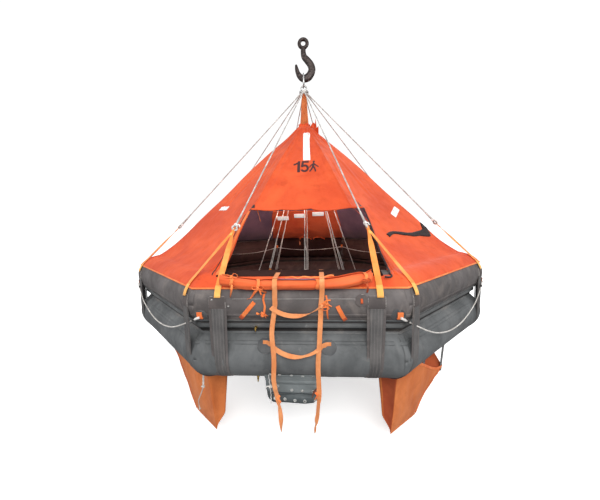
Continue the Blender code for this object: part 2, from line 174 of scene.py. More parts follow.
# The looks of a davit-launched inflatable life raft.  Heights in this file are
# above the underside of the lower tube, as in the CAD source; every builder
# moves its points down by EYE_Z, so that the hook's eye is at the origin.
import json
import math

import bmesh
import bpy
import numpy as np
from mathutils import Matrix, Vector, noise
from mathutils.bvhtree import BVHTree

cad_lo, cad_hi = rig.bounds()
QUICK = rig.quick()

SIDES = 8
HALF = math.pi / SIDES
EYE_Z = 3.010
TUBE_R = 0.1825
TUBE_A = 1.483
LOWER_Z = TUBE_R
UPPER_Z = 0.548
SEAM_DEG = 33.0
BOWL_Z = 2.684
SHACKLE_Z = 2.500
BRIDLE_Z = 2.520
LEG_END_Z = 0.600
THIMBLE_AT = 0.785
PANELS = ["front", "front_right", "right", "back_right", "back", "back_left", "left", "front_left"]
CORNERS = ["front_left", "front_right", "right_front", "right_back",
           "back_right", "back_left", "left_back", "left_front"]
TENT = [(1.518, 0.792, 0.004), (1.400, 0.884, 0.012), (1.180, 1.095, 0.020),
        (0.930, 1.325, 0.024), (0.655, 1.595, 0.026), (0.430, 1.800, 0.024),
        (0.200, 2.000, 0.016), (0.110, 2.083, 0.0)]
DROP = Vector((0.0, 0.0, -EYE_Z))
made = {}


# ================================================================ small helpers
def face_axes(k):
    a = -math.pi / 2 + k * 2 * HALF
    return (Vector((math.cos(a), math.sin(a), 0.0)),
            Vector((-math.sin(a), math.cos(a), 0.0)))


def corner_dir(k):
    a = -math.pi / 2 + (k - 0.5) * 2 * HALF
    return Vector((math.cos(a), math.sin(a), 0.0))


def on_face(k, a, u, z):
    n, t = face_axes(k)
    return n * a + t * u + Vector((0.0, 0.0, z))


def V(*p):
    return Vector(p)


def smoothstep(x, a=0.0, b=1.0):
    t = np.clip((np.asarray(x, float) - a) / (b - a), 0.0, 1.0)
    return t * t * (3 - 2 * t)


def smooth_path(points, count=None, step=None):
    """Evenly spaced points on a Catmull-Rom curve through the given ones."""
    p = [Vector(q) for q in points]
    p = [p[0] * 2 - p[1]] + p + [p[-1] * 2 - p[-2]]
    dense = []
    for i in range(1, len(p) - 2):
        a, b, c, d = p[i - 1], p[i], p[i + 1], p[i + 2]
        for s in range(16):
            t = s / 16
            dense.append(0.5 * ((2 * b) + (c - a) * t + (2 * a - 5 * b + 4 * c - d) * t * t
                                + (3 * b - a - 3 * c + d) * t ** 3))
    dense.append(p[-2])
    return even(dense, count, step)


def even(pts, count=None, step=None):
    q = np.array([tuple(v) for v in pts], float)
    run = np.concatenate([[0.0], np.cumsum(np.linalg.norm(np.diff(q, axis=0), axis=1))])
    if count is None:
        count = max(2, int(round(run[-1] / step)) + 1)
    want = np.linspace(0.0, run[-1], count)
    return [Vector((float(np.interp(w, run, q[:, 0])), float(np.interp(w, run, q[:, 1])),
                    float(np.interp(w, run, q[:, 2])))) for w in want]


def length_of(pts):
    return sum((b - a).length for a, b in zip(pts, pts[1:]))


def frames_along(pts, up=None):
    """Tangent, side and normal at each point, carried along without spinning."""
    n = len(pts)
    tan = []
    for i in range(n):
        a, b = pts[max(i - 1, 0)], pts[min(i + 1, n - 1)]
        d = b - a
        tan.append(d.normalized() if d.length > 1e-9 else V(0, 0, 1))
    ref = Vector(up) if up is not None else (V(0, 0, 1) if abs(tan[0].z) < 0.9 else V(1, 0, 0))
    side = (ref - tan[0] * ref.dot(tan[0])).normalized()
    out = []
    for i in range(n):
        side = side - tan[i] * side.dot(tan[i])
        side = side.normalized() if side.length > 1e-9 else V(1, 0, 0)
        out.append((tan[i], side, tan[i].cross(side)))
    return out


def finish_mesh(name, verts, faces, uvs, mats, face_mats=None, smooth=True, closed=False, slot=None):
    me = bpy.data.meshes.new(name)
    v = np.asarray(verts, float).reshape(-1, 3) + np.array([0.0, 0.0, -EYE_Z])
    me.from_pydata(v.tolist(), [], faces)
    if uvs is not None:
        layer = me.uv_layers.new(name="UVMap")
        layer.data.foreach_set("uv", np.asarray(uvs, np.float32).ravel())
    mats = mats if isinstance(mats, (list, tuple)) else [mats]
    for m in mats:
        me.materials.append(m)
    if face_mats is not None:
        me.polygons.foreach_set("material_index", np.asarray(face_mats, np.int32))
    me.polygons.foreach_set("use_smooth", [bool(smooth)] * len(me.polygons))
    if closed:
        bm = bmesh.new()
        bm.from_mesh(me)
        bmesh.ops.recalc_face_normals(bm, faces=bm.faces)
        bm.to_mesh(me)
        bm.free()
    me.update()
    ob = bpy.data.objects.new(name, me)
    bpy.context.scene.collection.objects.link(ob)
    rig.ride(ob, "root")
    if slot:
        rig.slot(ob, slot)
    made[name] = ob
    return ob


def grid(name, P, mats, uv=None, wrap=False, caps=False, cell_mats=None, keep=None,
         smooth=True, slot=None, closed=None, flip=False):
    """A mesh from rows x columns of points; wrap joins the last column to the first."""
    P = np.asarray(P, float)
    R, C = P.shape[:2]
    cols = C if wrap else C - 1
    if uv is None:
        lu = np.concatenate([[0], np.cumsum(np.linalg.norm(np.diff(P, axis=1), axis=2).mean(0))])
        lv = np.concatenate([[0], np.cumsum(np.linalg.norm(np.diff(P, axis=0), axis=2).mean(1))])
        if wrap:
            lu = np.concatenate([lu, [lu[-1] + np.linalg.norm(P[:, 0] - P[:, -1], axis=1).mean()]])
        uv = np.stack(np.meshgrid(lu, lv), -1)
    uv = np.asarray(uv, float)
    if cell_mats is not None:
        cell_mats = np.asarray(cell_mats)
    if keep is not None:
        keep = np.asarray(keep)
    faces, uvs, fm = [], [], []
    for i in range(R - 1):
        for j in range(cols):
            if keep is not None and not keep[i, j]:
                continue
            j2 = (j + 1) % C
            q = (i * C + j, i * C + j2, (i + 1) * C + j2, (i + 1) * C + j)
            w = (uv[i, j], uv[i, j + 1] if wrap or j + 1 < uv.shape[1] else uv[i, j],
                 uv[i + 1, j + 1] if wrap or j + 1 < uv.shape[1] else uv[i + 1, j], uv[i + 1, j])
            if flip:
                q, w = q[::-1], w[::-1]
            faces.append(q)
            uvs.extend(w)
            if cell_mats is not None:
                fm.append(int(cell_mats[i, j]))
    if caps and wrap:
        for i, order in ((0, 1), (R - 1, -1)):
            loop = tuple(i * C + j for j in range(C))[::order]
            faces.append(loop)
            uvs.extend([uv[i, j] for j in range(C)][::order])
            if cell_mats is not None:
                fm.append(int(cell_mats[min(i, R - 2), 0]))
    if closed is None:
        closed = bool(wrap and caps)
    return finish_mesh(name, P.reshape(-1, 3), faces, uvs, mats, fm or None, smooth, closed, slot)


def strap(name, pts, across, width, mat, thickness=0.0022, slot=None, twist=None, curl=0.0,
          wave=0.0, ends="flat", cols=7, register=True):
    """Flat webbing along pts.  across: its width direction; width: a number or one
    for each point; twist: extra turn in radians for each point."""
    n = len(pts)
    W = np.broadcast_to(np.asarray(width, float), (n,)) if np.ndim(width) else np.full(n, float(width))
    T = np.zeros(n) if twist is None else np.asarray(twist, float)
    run = np.concatenate([[0], np.cumsum([(b - a).length for a, b in zip(pts, pts[1:])])])
    rows, uv = [], []
    for i, p in enumerate(pts):
        d = (pts[min(i + 1, n - 1)] - pts[max(i - 1, 0)]).normalized()
        s = across[i] if isinstance(across, (list, tuple)) else across
        s = (s - d * s.dot(d)).normalized()
        nn = s.cross(d).normalized()
        c, q = math.cos(T[i]), math.sin(T[i])
        s, nn = s * c + nn * q, nn * c - s * q
        h = W[i] / 2
        e = max(h - thickness * 0.5, h * 0.5)
        xs = [-e, -e * 0.92] + list(np.linspace(-e * 0.8, e * 0.8, cols - 4)) + [e * 0.92, e]
        row, ur = [], []
        for x in xs:
            lift = curl * (x / h) ** 2 + wave * math.sin(run[i] * 90 + x * 200)
            row.append(p + s * x + nn * (thickness / 2 + lift))
            ur.append(x)
        row.append(p + s * h + nn * curl)
        ur.append(h)
        for x in reversed(xs):
            lift = curl * (x / h) ** 2 + wave * math.sin(run[i] * 90 + x * 200)
            row.append(p + s * x + nn * (-thickness / 2 + lift))
            ur.append(x)
        row.append(p - s * h + nn * curl)
        ur.append(-h)
        ur.append(-e)
        rows.append([tuple(v) for v in row])
        uv.append([(x, run[i]) for x in ur])
    return grid(name, rows, mat, uv=np.array(uv), wrap=True, caps=True, slot=slot)


def round_tube(name, pts, radius, mat, sides=12, slot=None, caps=True, squash=None):
    """A plain round tube; radius may be one number or one for each point."""
    n = len(pts)
    Rr = np.full(n, float(radius)) if np.ndim(radius) == 0 else np.asarray(radius, float)
    fr = frames_along(pts)
    run = np.concatenate([[0], np.cumsum([(b - a).length for a, b in zip(pts, pts[1:])])])
    rows, uv = [], []
    for i, p in enumerate(pts):
        d, s, q = fr[i]
        row = []
        for j in range(sides):
            g = 2 * math.pi * j / sides
            k = 1.0 if squash is None else squash[i]
            row.append(tuple(p + (s * math.cos(g) + q * (math.sin(g) * k)) * Rr[i]))
        rows.append(row)
        uv.append([(j / sides * 2 * math.pi * float(Rr.max()), run[i]) for j in range(sides + 1)])
    return grid(name, rows, mat, uv=np.array(uv), wrap=True, caps=caps, slot=slot)


def rope(name, pts, radius, mat, pitch=None, per=8, around=12, slot=None, radii=None, lobes=3):
    """Laid rope: three strands turned round each other, in one mesh."""
    per, around = max(4, round(per * 0.6)), max(9, 3 * round(around / 4))
    pitch = pitch or radius * 7.0
    pts = even(pts, step=pitch / per)
    n = len(pts)
    fr = frames_along(pts)
    run = np.concatenate([[0], np.cumsum([(b - a).length for a, b in zip(pts, pts[1:])])])
    scale = np.ones(n) if radii is None else np.interp(run / run[-1], np.linspace(0, 1, len(radii)), radii)
    rows, uv = [], []
    rho = radius / 2.1547
    c = rho * 2 / math.sqrt(3)
    step = 2 * math.pi / lobes
    prof = []
    for j in range(around):
        g = 2 * math.pi * j / around
        d = (g + step / 2) % step - step / 2
        s = rho * rho - (c * math.sin(d)) ** 2
        r = c * math.cos(d) + math.sqrt(max(s, 0.0))
        prof.append(0.80 * r + 0.20 * radius if lobes == 3 else radius)
    for i, p in enumerate(pts):
        d, s, q = fr[i]
        turn = 2 * math.pi * run[i] / pitch
        row = []
        for j in range(around):
            g = 2 * math.pi * j / around + turn
            r = prof[j] * scale[i]
            row.append(tuple(p + (s * math.cos(g) + q * math.sin(g)) * r))
        rows.append(row)
        uv.append([(j / around, run[i]) for j in range(around + 1)])
    return grid(name, rows, mat, uv=np.array(uv), wrap=True, caps=True, slot=slot)


def join(name, objs, slot=None):
    """Joins finished pieces into one, keeping their materials."""
    objs = [o for o in objs if o is not None]
    bm_all = bpy.data.meshes.new(name)
    mats, verts, faces, uvs, fm, base = [], [], [], [], [], 0
    for o in objs:
        me = o.data
        idx = []
        for m in me.materials:
            if m not in mats:
                mats.append(m)
            idx.append(mats.index(m))
        n = len(me.vertices)
        co = np.zeros(n * 3, np.float32)
        me.vertices.foreach_get("co", co)
        verts.append(co.reshape(-1, 3))
        for p in me.polygons:
            faces.append([v + base for v in p.vertices])
            fm.append(idx[p.material_index] if idx else 0)
        lay = me.uv_layers.active
        uv = np.zeros(len(me.loops) * 2, np.float32)
        if lay:
            lay.data.foreach_get("uv", uv)
        uvs.append(uv)
        base += n
    bm_all.from_pydata(np.concatenate(verts).tolist(), [], faces)
    lay = bm_all.uv_layers.new(name="UVMap")
    lay.data.foreach_set("uv", np.concatenate(uvs))
    for m in mats:
        bm_all.materials.append(m)
    bm_all.polygons.foreach_set("material_index", np.asarray(fm, np.int32))
    bm_all.polygons.foreach_set("use_smooth", [True] * len(bm_all.polygons))
    bm_all.update()
    for o in objs:
        made.pop(o.name, None)
        bpy.data.objects.remove(o, do_unlink=True)
    ob = bpy.data.objects.new(name, bm_all)
    bpy.context.scene.collection.objects.link(ob)
    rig.ride(ob, "root")
    if slot:
        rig.slot(ob, slot)
    made[name] = ob
    return ob


def solidify(ob, thickness, offset=0.0, inner=0, rim=0):
    m = ob.modifiers.new("thickness", "SOLIDIFY")
    m.thickness = thickness
    m.offset = offset
    m.use_even_offset = False
    m.material_offset = inner
    m.material_offset_rim = rim
    return ob


def knot(name, centre, along, size, radius, mat, slot=None):
    """A small trefoil knot pulled tight along the given direction."""
    d = Vector(along).normalized()
    ref = V(0, 0, 1) if abs(d.z) < 0.9 else V(1, 0, 0)
    a = (ref - d * ref.dot(d)).normalized()
    b = d.cross(a)
    pts = []
    for i in range(49):
        t = 2 * math.pi * i / 48
        x = math.sin(t) + 2 * math.sin(2 * t)
        y = math.cos(t) - 2 * math.cos(2 * t)
        z = -math.sin(3 * t)
        pts.append(centre + a * (x * size / 3) + b * (y * size / 3) * 0.8 + d * (z * size * 0.45))
    return round_tube(name, pts, radius, mat, 8, slot=slot)


def ring(name, centre, axis, major, minor, mat, sides=28, around=10, slot=None, squash=1.0, stretch=None):
    d = Vector(axis).normalized()
    ref = V(0, 0, 1) if abs(d.z) < 0.9 else V(1, 0, 0)
    a = (ref - d * ref.dot(d)).normalized()
    b = d.cross(a)
    rows, uv = [], []
    for i in range(sides + 1):
        g = 2 * math.pi * i / sides
        e = a * math.cos(g) + b * math.sin(g)
        row = []
        for j in range(around):
            h = 2 * math.pi * j / around
            row.append(tuple(centre + e * (major + minor * math.cos(h)) + d * (minor * squash * math.sin(h))))
        rows.append(row)
        uv.append([(j / around * 0.05, g * major) for j in range(around + 1)])
    return grid(name, rows, mat, uv=np.array(uv), wrap=True, slot=slot, closed=False)


# ================================================================ materials
def lin(c):
    return tuple(((v / 255) / 12.92 if v <= 10 else ((v / 255 + 0.055) / 1.055) ** 2.4) for v in c)


class Mat:
    """One procedural material: a Principled shader and short calls for its nodes."""

    def __init__(self, name, rough=0.6, metal=0.0, spec=0.5, sheen=0.0, coat=0.0):
        self.m = bpy.data.materials.new(name)
        self.m.use_nodes = True
        self.t = self.m.node_tree
        self.b = self.t.nodes["Principled BSDF"]
        self.b.inputs["Roughness"].default_value = rough
        self.b.inputs["Metallic"].default_value = metal
        self.b.inputs["Specular IOR Level"].default_value = spec
        self.b.inputs["Sheen Weight"].default_value = sheen
        self.b.inputs["Coat Weight"].default_value = coat
        self.c = self.t.nodes.new("ShaderNodeTexCoord")
        self.obj = self.c.outputs["Object"]
        self.uv = self.c.outputs["UV"]

    def put(self, a, b):
        self.t.links.new(a, b)

    def val(self, node, i, v):
        s = node.inputs[i]
        if isinstance(v, bpy.types.NodeSocket):
            self.put(v, s)
        elif v is not None:
            if hasattr(s.default_value, "__len__"):
                v = tuple(v)
                s.default_value = v if len(s.default_value) == len(v) else (*v, 1.0)
            else:
                s.default_value = v

    def math(self, op, a, b=None, c=None, clamp=False):
        n = self.t.nodes.new("ShaderNodeMath")
        n.operation = op
        n.use_clamp = clamp
        self.val(n, 0, a)
        if b is not None:
            self.val(n, 1, b)
        if c is not None:
            self.val(n, 2, c)
        return n.outputs[0]

    def scaled(self, vec, s, rot=(0, 0, 0), loc=(0, 0, 0)):
        n = self.t.nodes.new("ShaderNodeMapping")
        self.put(vec, n.inputs[0])
        n.inputs["Scale"].default_value = (s, s, s) if np.ndim(s) == 0 else s
        n.inputs["Rotation"].default_value = rot
        n.inputs["Location"].default_value = loc
        return n.outputs[0]

    def noise(self, vec, scale, detail=4.0, rough=0.55, distort=0.0):
        n = self.t.nodes.new("ShaderNodeTexNoise")
        self.put(vec, n.inputs["Vector"])
        n.inputs["Scale"].default_value = scale
        n.inputs["Detail"].default_value = detail
        n.inputs["Roughness"].default_value = rough
        n.inputs["Distortion"].default_value = distort
        return n.outputs["Fac"]

    def voronoi(self, vec, scale, feature="F1", out="Distance"):
        n = self.t.nodes.new("ShaderNodeTexVoronoi")
        n.feature = feature
        self.put(vec, n.inputs["Vector"])
        n.inputs["Scale"].default_value = scale
        return n.outputs[out]

    def xyz(self, vec):
        n = self.t.nodes.new("ShaderNodeSeparateXYZ")
        self.put(vec, n.inputs[0])
        return n.outputs

    def remap(self, v, a, b, c=0.0, d=1.0):
        n = self.t.nodes.new("ShaderNodeMapRange")
        n.interpolation_type = "SMOOTHSTEP"
        self.val(n, 0, v)
        for i, x in zip((1, 2, 3, 4), (a, b, c, d)):
            n.inputs[i].default_value = x
        return n.outputs[0]

    def mix(self, fac, a, b, how="MIX"):
        n = self.t.nodes.new("ShaderNodeMix")
        n.data_type = "RGBA"
        n.blend_type = how
        self.val(n, 0, fac)
        for i, v in ((6, a), (7, b)):
            if isinstance(v, bpy.types.NodeSocket):
                self.put(v, n.inputs[i])
            else:
                n.inputs[i].default_value = (*v, 1.0)
        return n.outputs[2]

    def colour(self, v):
        self.put(v, self.b.inputs["Base Color"])

    def rough(self, v):
        self.put(v, self.b.inputs["Roughness"])

    def bump(self, height, strength=0.3, distance=0.001, onto=None):
        n = self.t.nodes.new("ShaderNodeBump")
        n.inputs["Strength"].default_value = strength
        n.inputs["Distance"].default_value = distance
        self.put(height, n.inputs["Height"])
        if onto is not None:
            self.put(onto, n.inputs["Normal"])
        self.put(n.outputs[0], self.b.inputs["Normal"])
        return n.outputs[0]

    def wave(self, x, period):
        """A smooth 0..1 ripple along one coordinate, in metres."""
        s = self.math("SINE", self.math("MULTIPLY", x, 2 * math.pi / period))
        return self.math("MULTIPLY_ADD", s, 0.5, 0.5)

    def line(self, x, at, half, soft=0.0006):
        """1 on a line at x = at, of that half width."""
        d = self.math("ABSOLUTE", self.math("SUBTRACT", x, at))
        return self.remap(d, half, half + soft, 1.0, 0.0)

    def dashes(self, y, period=0.008, share=0.6):
        f = self.math("FRACT", self.math("DIVIDE", y, period))
        return self.remap(f, share, share + 0.1, 1.0, 0.0)


def cloth(name, light, dark, weave=0.0016, rough=0.55, sheen=0.15, streak=0.35, spec=0.35,
          crease=0.35, fine=0.12):
    """Coated or plain cloth: cloudy colour, soft creases and a fine weave."""
    m = Mat(name, rough, spec=spec, sheen=sheen)
    big = m.noise(m.obj, 2.2, 5, 0.6, 0.4)
    mid = m.noise(m.obj, 11.0, 4, 0.6)
    small = m.noise(m.obj, 70.0, 3, 0.6)
    base = m.mix(m.remap(big, 0.35, 0.68), dark, light)
    shade = tuple(v * 0.80 for v in dark)
    base = m.mix(m.math("MULTIPLY", m.remap(mid, 0.52, 0.80), streak), base, shade)
    base = m.mix(m.math("MULTIPLY", m.remap(small, 0.55, 0.75), 0.10), base,
                 tuple(min(1.0, v * 1.12 + 0.02) for v in light))
    m.colour(base)
    m.rough(m.remap(mid, 0.2, 0.8, rough - 0.08, rough + 0.10))
    folds = m.noise(m.scaled(m.obj, (5.0, 5.0, 2.2)), 1.0, 5, 0.55, 0.8)
    b1 = m.bump(folds, crease, 0.012)
    b2 = m.bump(m.noise(m.obj, 38.0, 3, 0.6, 0.3), 0.25, 0.0016, b1)
    x = m.xyz(m.uv)
    w = m.math("MULTIPLY", m.wave(x[0], weave), m.wave(x[1], weave))
    m.bump(w, fine, 0.0003, b2)
    return m.m


def webbing(name, light, dark, ribs=0.0042, dirt=0.25, rough=0.72, stitch_end=False):
    """Woven strap: ribs along it, a twill across them, and greyish dirt in patches."""
    m = Mat(name, rough, spec=0.22, sheen=0.08)
    x = m.xyz(m.uv)
    rib = m.wave(x[0], ribs)
    slant = m.wave(m.math("ADD", x[1], m.math("MULTIPLY", m.math("ABSOLUTE", x[0]), 0.8)), 0.0021)
    base = m.mix(m.remap(m.noise(m.obj, 9.0, 4, 0.6), 0.35, 0.7), dark, light)
    base = m.mix(m.math("MULTIPLY", rib, 0.16), base, tuple(v * 0.72 for v in dark))
    base = m.mix(m.math("MULTIPLY", slant, 0.14), base, tuple(min(1, v * 1.25) for v in light))
    base = m.mix(m.math("MULTIPLY", m.remap(m.noise(m.obj, 26.0, 4, 0.7), 0.56, 0.74), dirt), base,
                 tuple(0.5 * v + 0.05 for v in dark))
    m.colour(base)
    h = m.math("ADD", m.math("MULTIPLY", rib, 0.8), m.math("MULTIPLY", slant, 0.5))
    b = m.bump(m.noise(m.obj, 45.0, 2, 0.5), 0.2, 0.0012)
    m.bump(h, 0.55, 0.0006, b)
    return m.m


def rubber(name, light, dark, dust=(0.30, 0.25, 0.22), dusty=0.35, scuff=0.12, rough=0.6, along=True,
           wrinkle=0.35):
    """Rubber-coated fabric: cloudy grey, brownish dust, pale scuffs, soft wrinkles."""
    m = Mat(name, rough, spec=0.35)
    big = m.noise(m.obj, 2.6, 5, 0.6, 0.3)
    mid = m.noise(m.obj, 13.0, 5, 0.65)
    base = m.mix(m.remap(big, 0.36, 0.66), dark, light)
    base = m.mix(m.math("MULTIPLY", m.remap(mid, 0.5, 0.8), 0.5), base, tuple(v * 0.72 for v in dark))
    base = m.mix(m.math("MULTIPLY", m.remap(m.noise(m.obj, 5.0, 6, 0.7, 0.6), 0.50, 0.72), dusty),
                 base, dust)
    x = m.xyz(m.uv)
    streaks = m.noise(m.scaled(m.uv, (26.0, 5.0, 1.0)), 1.0, 4, 0.6, 0.5)
    scr = m.math("MULTIPLY", m.remap(streaks, 0.66, 0.74), m.remap(m.noise(m.obj, 7.0, 3, 0.5), 0.5, 0.62))
    base = m.mix(m.math("MULTIPLY", scr, scuff), base, (0.42, 0.41, 0.40))
    m.colour(base)
    m.rough(m.remap(mid, 0.25, 0.75, rough - 0.10, rough + 0.12))
    folds = m.noise(m.scaled(m.uv, (9.0, 1.6, 1.0)), 1.0, 4, 0.5, 0.6)
    b1 = m.bump(folds, wrinkle, 0.010)
    b2 = m.bump(m.noise(m.obj, 55.0, 3, 0.6), 0.18, 0.0012, b1)
    m.bump(m.noise(m.obj, 900.0, 2, 0.6), 0.12, 0.0003, b2)
    return m.m


def patch_rubber(name, light, dark, glue=0.8, ribs=0.0):
    """A glued patch: its UV runs 0..1 both ways; a whitish line of glue at its rim."""
    m = Mat(name, 0.62, spec=0.3)
    base = m.mix(m.remap(m.noise(m.obj, 8.0, 5, 0.6), 0.35, 0.7), dark, light)
    x = m.xyz(m.uv)
    e1 = m.math("MINIMUM", x[0], m.math("SUBTRACT", 1.0, x[0]))
    e2 = m.math("MINIMUM", x[1], m.math("SUBTRACT", 1.0, x[1]))
    edge = m.math("MINIMUM", e1, e2)
    rim = m.remap(edge, 0.015, 0.05, 1.0, 0.0)
    spotty = m.remap(m.noise(m.obj, 40.0, 4, 0.7), 0.38, 0.62)
    base = m.mix(m.math("MULTIPLY", m.math("MULTIPLY", rim, spotty), glue), base, (0.45, 0.42, 0.40))
    base = m.mix(m.math("MULTIPLY", m.remap(m.noise(m.obj, 19.0, 5, 0.7), 0.55, 0.8), 0.4), base,
                 (0.22, 0.18, 0.16))
    m.colour(base)
    b = m.bump(m.noise(m.obj, 30.0, 4, 0.6), 0.3, 0.002)
    m.bump(m.noise(m.obj, 800.0, 2, 0.6), 0.15, 0.0003, b)
    return m.m


def band_rubber(name, light, dark):
    """The reinforcing bands: woven lines along them and two rows of stitching."""
    m = Mat(name, 0.66, spec=0.28)
    x = m.xyz(m.uv)
    base = m.mix(m.remap(m.noise(m.obj, 6.0, 5, 0.6), 0.35, 0.7), dark, light)
    base = m.mix(m.math("MULTIPLY", m.wave(x[0], 0.0058), 0.07), base, tuple(v * 0.6 for v in dark))
    sew = m.math("MAXIMUM", m.line(x[0], -0.030, 0.0009), m.line(x[0], 0.030, 0.0009))
    sew = m.math("MAXIMUM", sew, m.math("MAXIMUM", m.line(x[0], 0.010, 0.0007), m.line(x[0], -0.010, 0.0007)))
    sew = m.math("MULTIPLY", sew, m.dashes(x[1], 0.007, 0.62))
    base = m.mix(m.math("MULTIPLY", sew, 0.45), base, (0.30, 0.28, 0.26))
    dusty = m.remap(m.noise(m.scaled(m.uv, (18.0, 3.0, 1.0)), 1.0, 5, 0.7), 0.50, 0.74)
    base = m.mix(m.math("MULTIPLY", dusty, 0.45), base, (0.23, 0.205, 0.19))
    m.colour(base)
    h = m.math("SUBTRACT", m.wave(x[0], 0.0058), m.math("MULTIPLY", sew, 0.8))
    b = m.bump(m.noise(m.scaled(m.uv, (12.0, 2.5, 1.0)), 1.0, 3, 0.5, 0.5), 0.35, 0.006)
    m.bump(h, 0.22, 0.0006, b)
    return m.m


def rope_mat(name, light, dark, grime=0.35):
    m = Mat(name, 0.72, spec=0.25, sheen=0.2)
    x = m.xyz(m.uv)
    yarn = m.wave(m.math("ADD", m.math("MULTIPLY", x[0], 0.036), m.math("MULTIPLY", x[1], 1.0)), 0.0022)
    base = m.mix(m.remap(m.noise(m.obj, 14.0, 4, 0.6), 0.35, 0.7), dark, light)
    base = m.mix(m.math("MULTIPLY", yarn, 0.18), base, tuple(v * 0.7 for v in dark))
    base = m.mix(m.math("MULTIPLY", m.remap(m.noise(m.obj, 6.0, 4, 0.7), 0.52, 0.74), grime), base,
                 (0.20, 0.18, 0.165))
    m.colour(base)
    m.bump(yarn, 0.5, 0.0004)
    return m.m


def metal(name, light, dark, rough, metallic, pits=0.3, scale=60.0, rust=None):
    m = Mat(name, rough, metallic, 0.5)
    n = m.noise(m.obj, scale, 5, 0.65)
    base = m.mix(m.remap(n, 0.35, 0.7), dark, light)
    if rust:
        base = m.mix(m.math("MULTIPLY", m.remap(m.noise(m.obj, scale * 0.45, 6, 0.7), 0.55, 0.70), 0.6), base, rust)
    m.colour(base)
    m.rough(m.remap(m.noise(m.obj, scale * 0.6, 4, 0.6), 0.3, 0.7, max(0.05, rough - 0.14), rough + 0.14))
    b = m.bump(m.noise(m.obj, scale * 0.35, 3, 0.5), pits, 0.003)
    m.bump(n, pits * 0.8, 0.0008, b)
    return m.m


def reflective(name, glow=0.0):
    """Retro-reflective tape: white, with a fine honeycomb and a crisp sealed cell line. A glow above zero adds
    emission, painted light that makes the tape shine though it is no lamp.
    """
    m = Mat(name, 0.32, spec=0.6, coat=0.3)
    if glow:
        m.b.inputs["Emission Color"].default_value = (1.0, 0.98, 0.96, 1.0)
        m.b.inputs["Emission Strength"].default_value = glow
    cell = m.voronoi(m.scaled(m.uv, 1.0), 320.0, "DISTANCE_TO_EDGE")
    base = m.mix(m.remap(cell, 0.02, 0.10), (0.72, 0.73, 0.74), (0.97, 0.97, 0.96))
    base = m.mix(m.math("MULTIPLY", m.remap(m.noise(m.obj, 25.0, 4, 0.6), 0.55, 0.8), 0.15), base, (0.7, 0.66, 0.6))
    m.colour(base)
    m.bump(cell, 0.2, 0.0003)
    return m.m


M = {}
M["canopy"] = cloth("canopy_cloth_out", lin((224, 92, 46)), lin((202, 72, 34)), streak=0.50, crease=0.60, sheen=0.04, spec=0.22,
                    rough=0.62)
M["lining"] = cloth("canopy_lining", lin((150, 116, 138)), lin((116, 92, 118)), crease=0.35, streak=0.2)
# painted shade: near-black brown for the sheet laid over the tube in the doorways, where the tube lies in shade
M["skirt"] = cloth("painted_shade_sheet", lin((54, 34, 31)), lin((36, 22, 21)), crease=0.3, streak=0.3, rough=0.8, sheen=0.0, spec=0.08)
M["curtain"] = cloth("curtain_cloth", lin((250, 120, 78)), lin((232, 98, 62)), crease=0.45, sheen=0.04, spec=0.22)
M["roll"] = cloth("rolled_cloth", lin((228, 106, 58)), lin((212, 88, 44)), crease=0.95, streak=0.4, sheen=0.05, spec=0.2)
M["pocket"] = cloth("pocket_cloth_out", lin((224, 132, 76)), lin((196, 104, 54)), weave=0.0022, rough=0.82,
                    sheen=0.06, streak=0.45, spec=0.15, crease=0.8, fine=0.3)
# painted shade: a darker red for the inner faces of the water pockets and for the shaded side wall of one
M["pocket_in"] = cloth("pocket_cloth_in", lin((186, 92, 56)), lin((156, 68, 42)), weave=0.0022, rough=0.85,
                       sheen=0.05, streak=0.45, spec=0.12)
M["upper"] = rubber("upper_tube_rubber", lin((105, 99, 98)), lin((80, 75, 74)), dusty=0.35)
M["lower"] = rubber("lower_tube_rubber", lin((104, 106, 107)), lin((80, 82, 83)), dust=(0.25, 0.245, 0.235), dusty=0.3)
M["apron"] = rubber("apron_rubber", lin((106, 103, 102)), lin((84, 81, 81)), dusty=0.3, scuff=0.35)
M["band"] = band_rubber("band_rubber", lin((101, 98, 97)), lin((80, 78, 78)))
M["patch"] = patch_rubber("patch_rubber", lin((94, 86, 84)), lin((74, 68, 67)))
M["patch_dark"] = patch_rubber("round_patch_rubber", lin((88, 89, 90)), lin((70, 71, 73)), glue=0.25)
M["strip"] = rubber("strip_rubber", lin((108, 109, 109)), lin((84, 86, 87)), scuff=0.3, wrinkle=0.2)
# dark rubber for the hose and the dark centres of three eyelets; on the groove strips its cells are painted shadow in
# the gaps at the strip's edges
M["dark"] = rubber("dark_rubber_and_gap_shadow", lin((48, 45, 44)), lin((30, 28, 28)), dusty=0.15, scuff=0.1)
# painted shade: the top of the floor, in the shade under the canopy, is a dark brown, while its underside stays grey
# rubber
M["floor_top"] = rubber("floor_top_painted_shade", lin((64, 42, 38)), lin((44, 29, 27)), dusty=0.3, scuff=0.2)
M["floor_under"] = rubber("floor_under_rubber", lin((92, 96, 98)), lin((70, 74, 76)), dusty=0.35, scuff=0.4)
M["web"] = webbing("ladder_webbing", lin((232, 156, 104)), lin((212, 128, 76)))
M["leg"] = webbing("leg_webbing", lin((250, 164, 88)), lin((238, 132, 58)), ribs=0.0058)
M["leg_end"] = webbing("leg_end_webbing", lin((252, 196, 110)), lin((242, 168, 84)), ribs=0.0058, dirt=0.15)
M["tape"] = webbing("tie_tape", lin((244, 142, 80)), lin((226, 108, 52)), ribs=0.003)
M["strap"] = webbing("lift_strap_webbing", lin((212, 122, 70)), lin((188, 96, 50)), ribs=0.0075, dirt=0.4)
M["black_tape"] = webbing("black_webbing", lin((48, 30, 30)), lin((28, 18, 19)), dirt=0.1)
M["piping"] = cloth("black_piping", lin((46, 26, 26)), lin((26, 16, 17)), rough=0.6, crease=0.2)
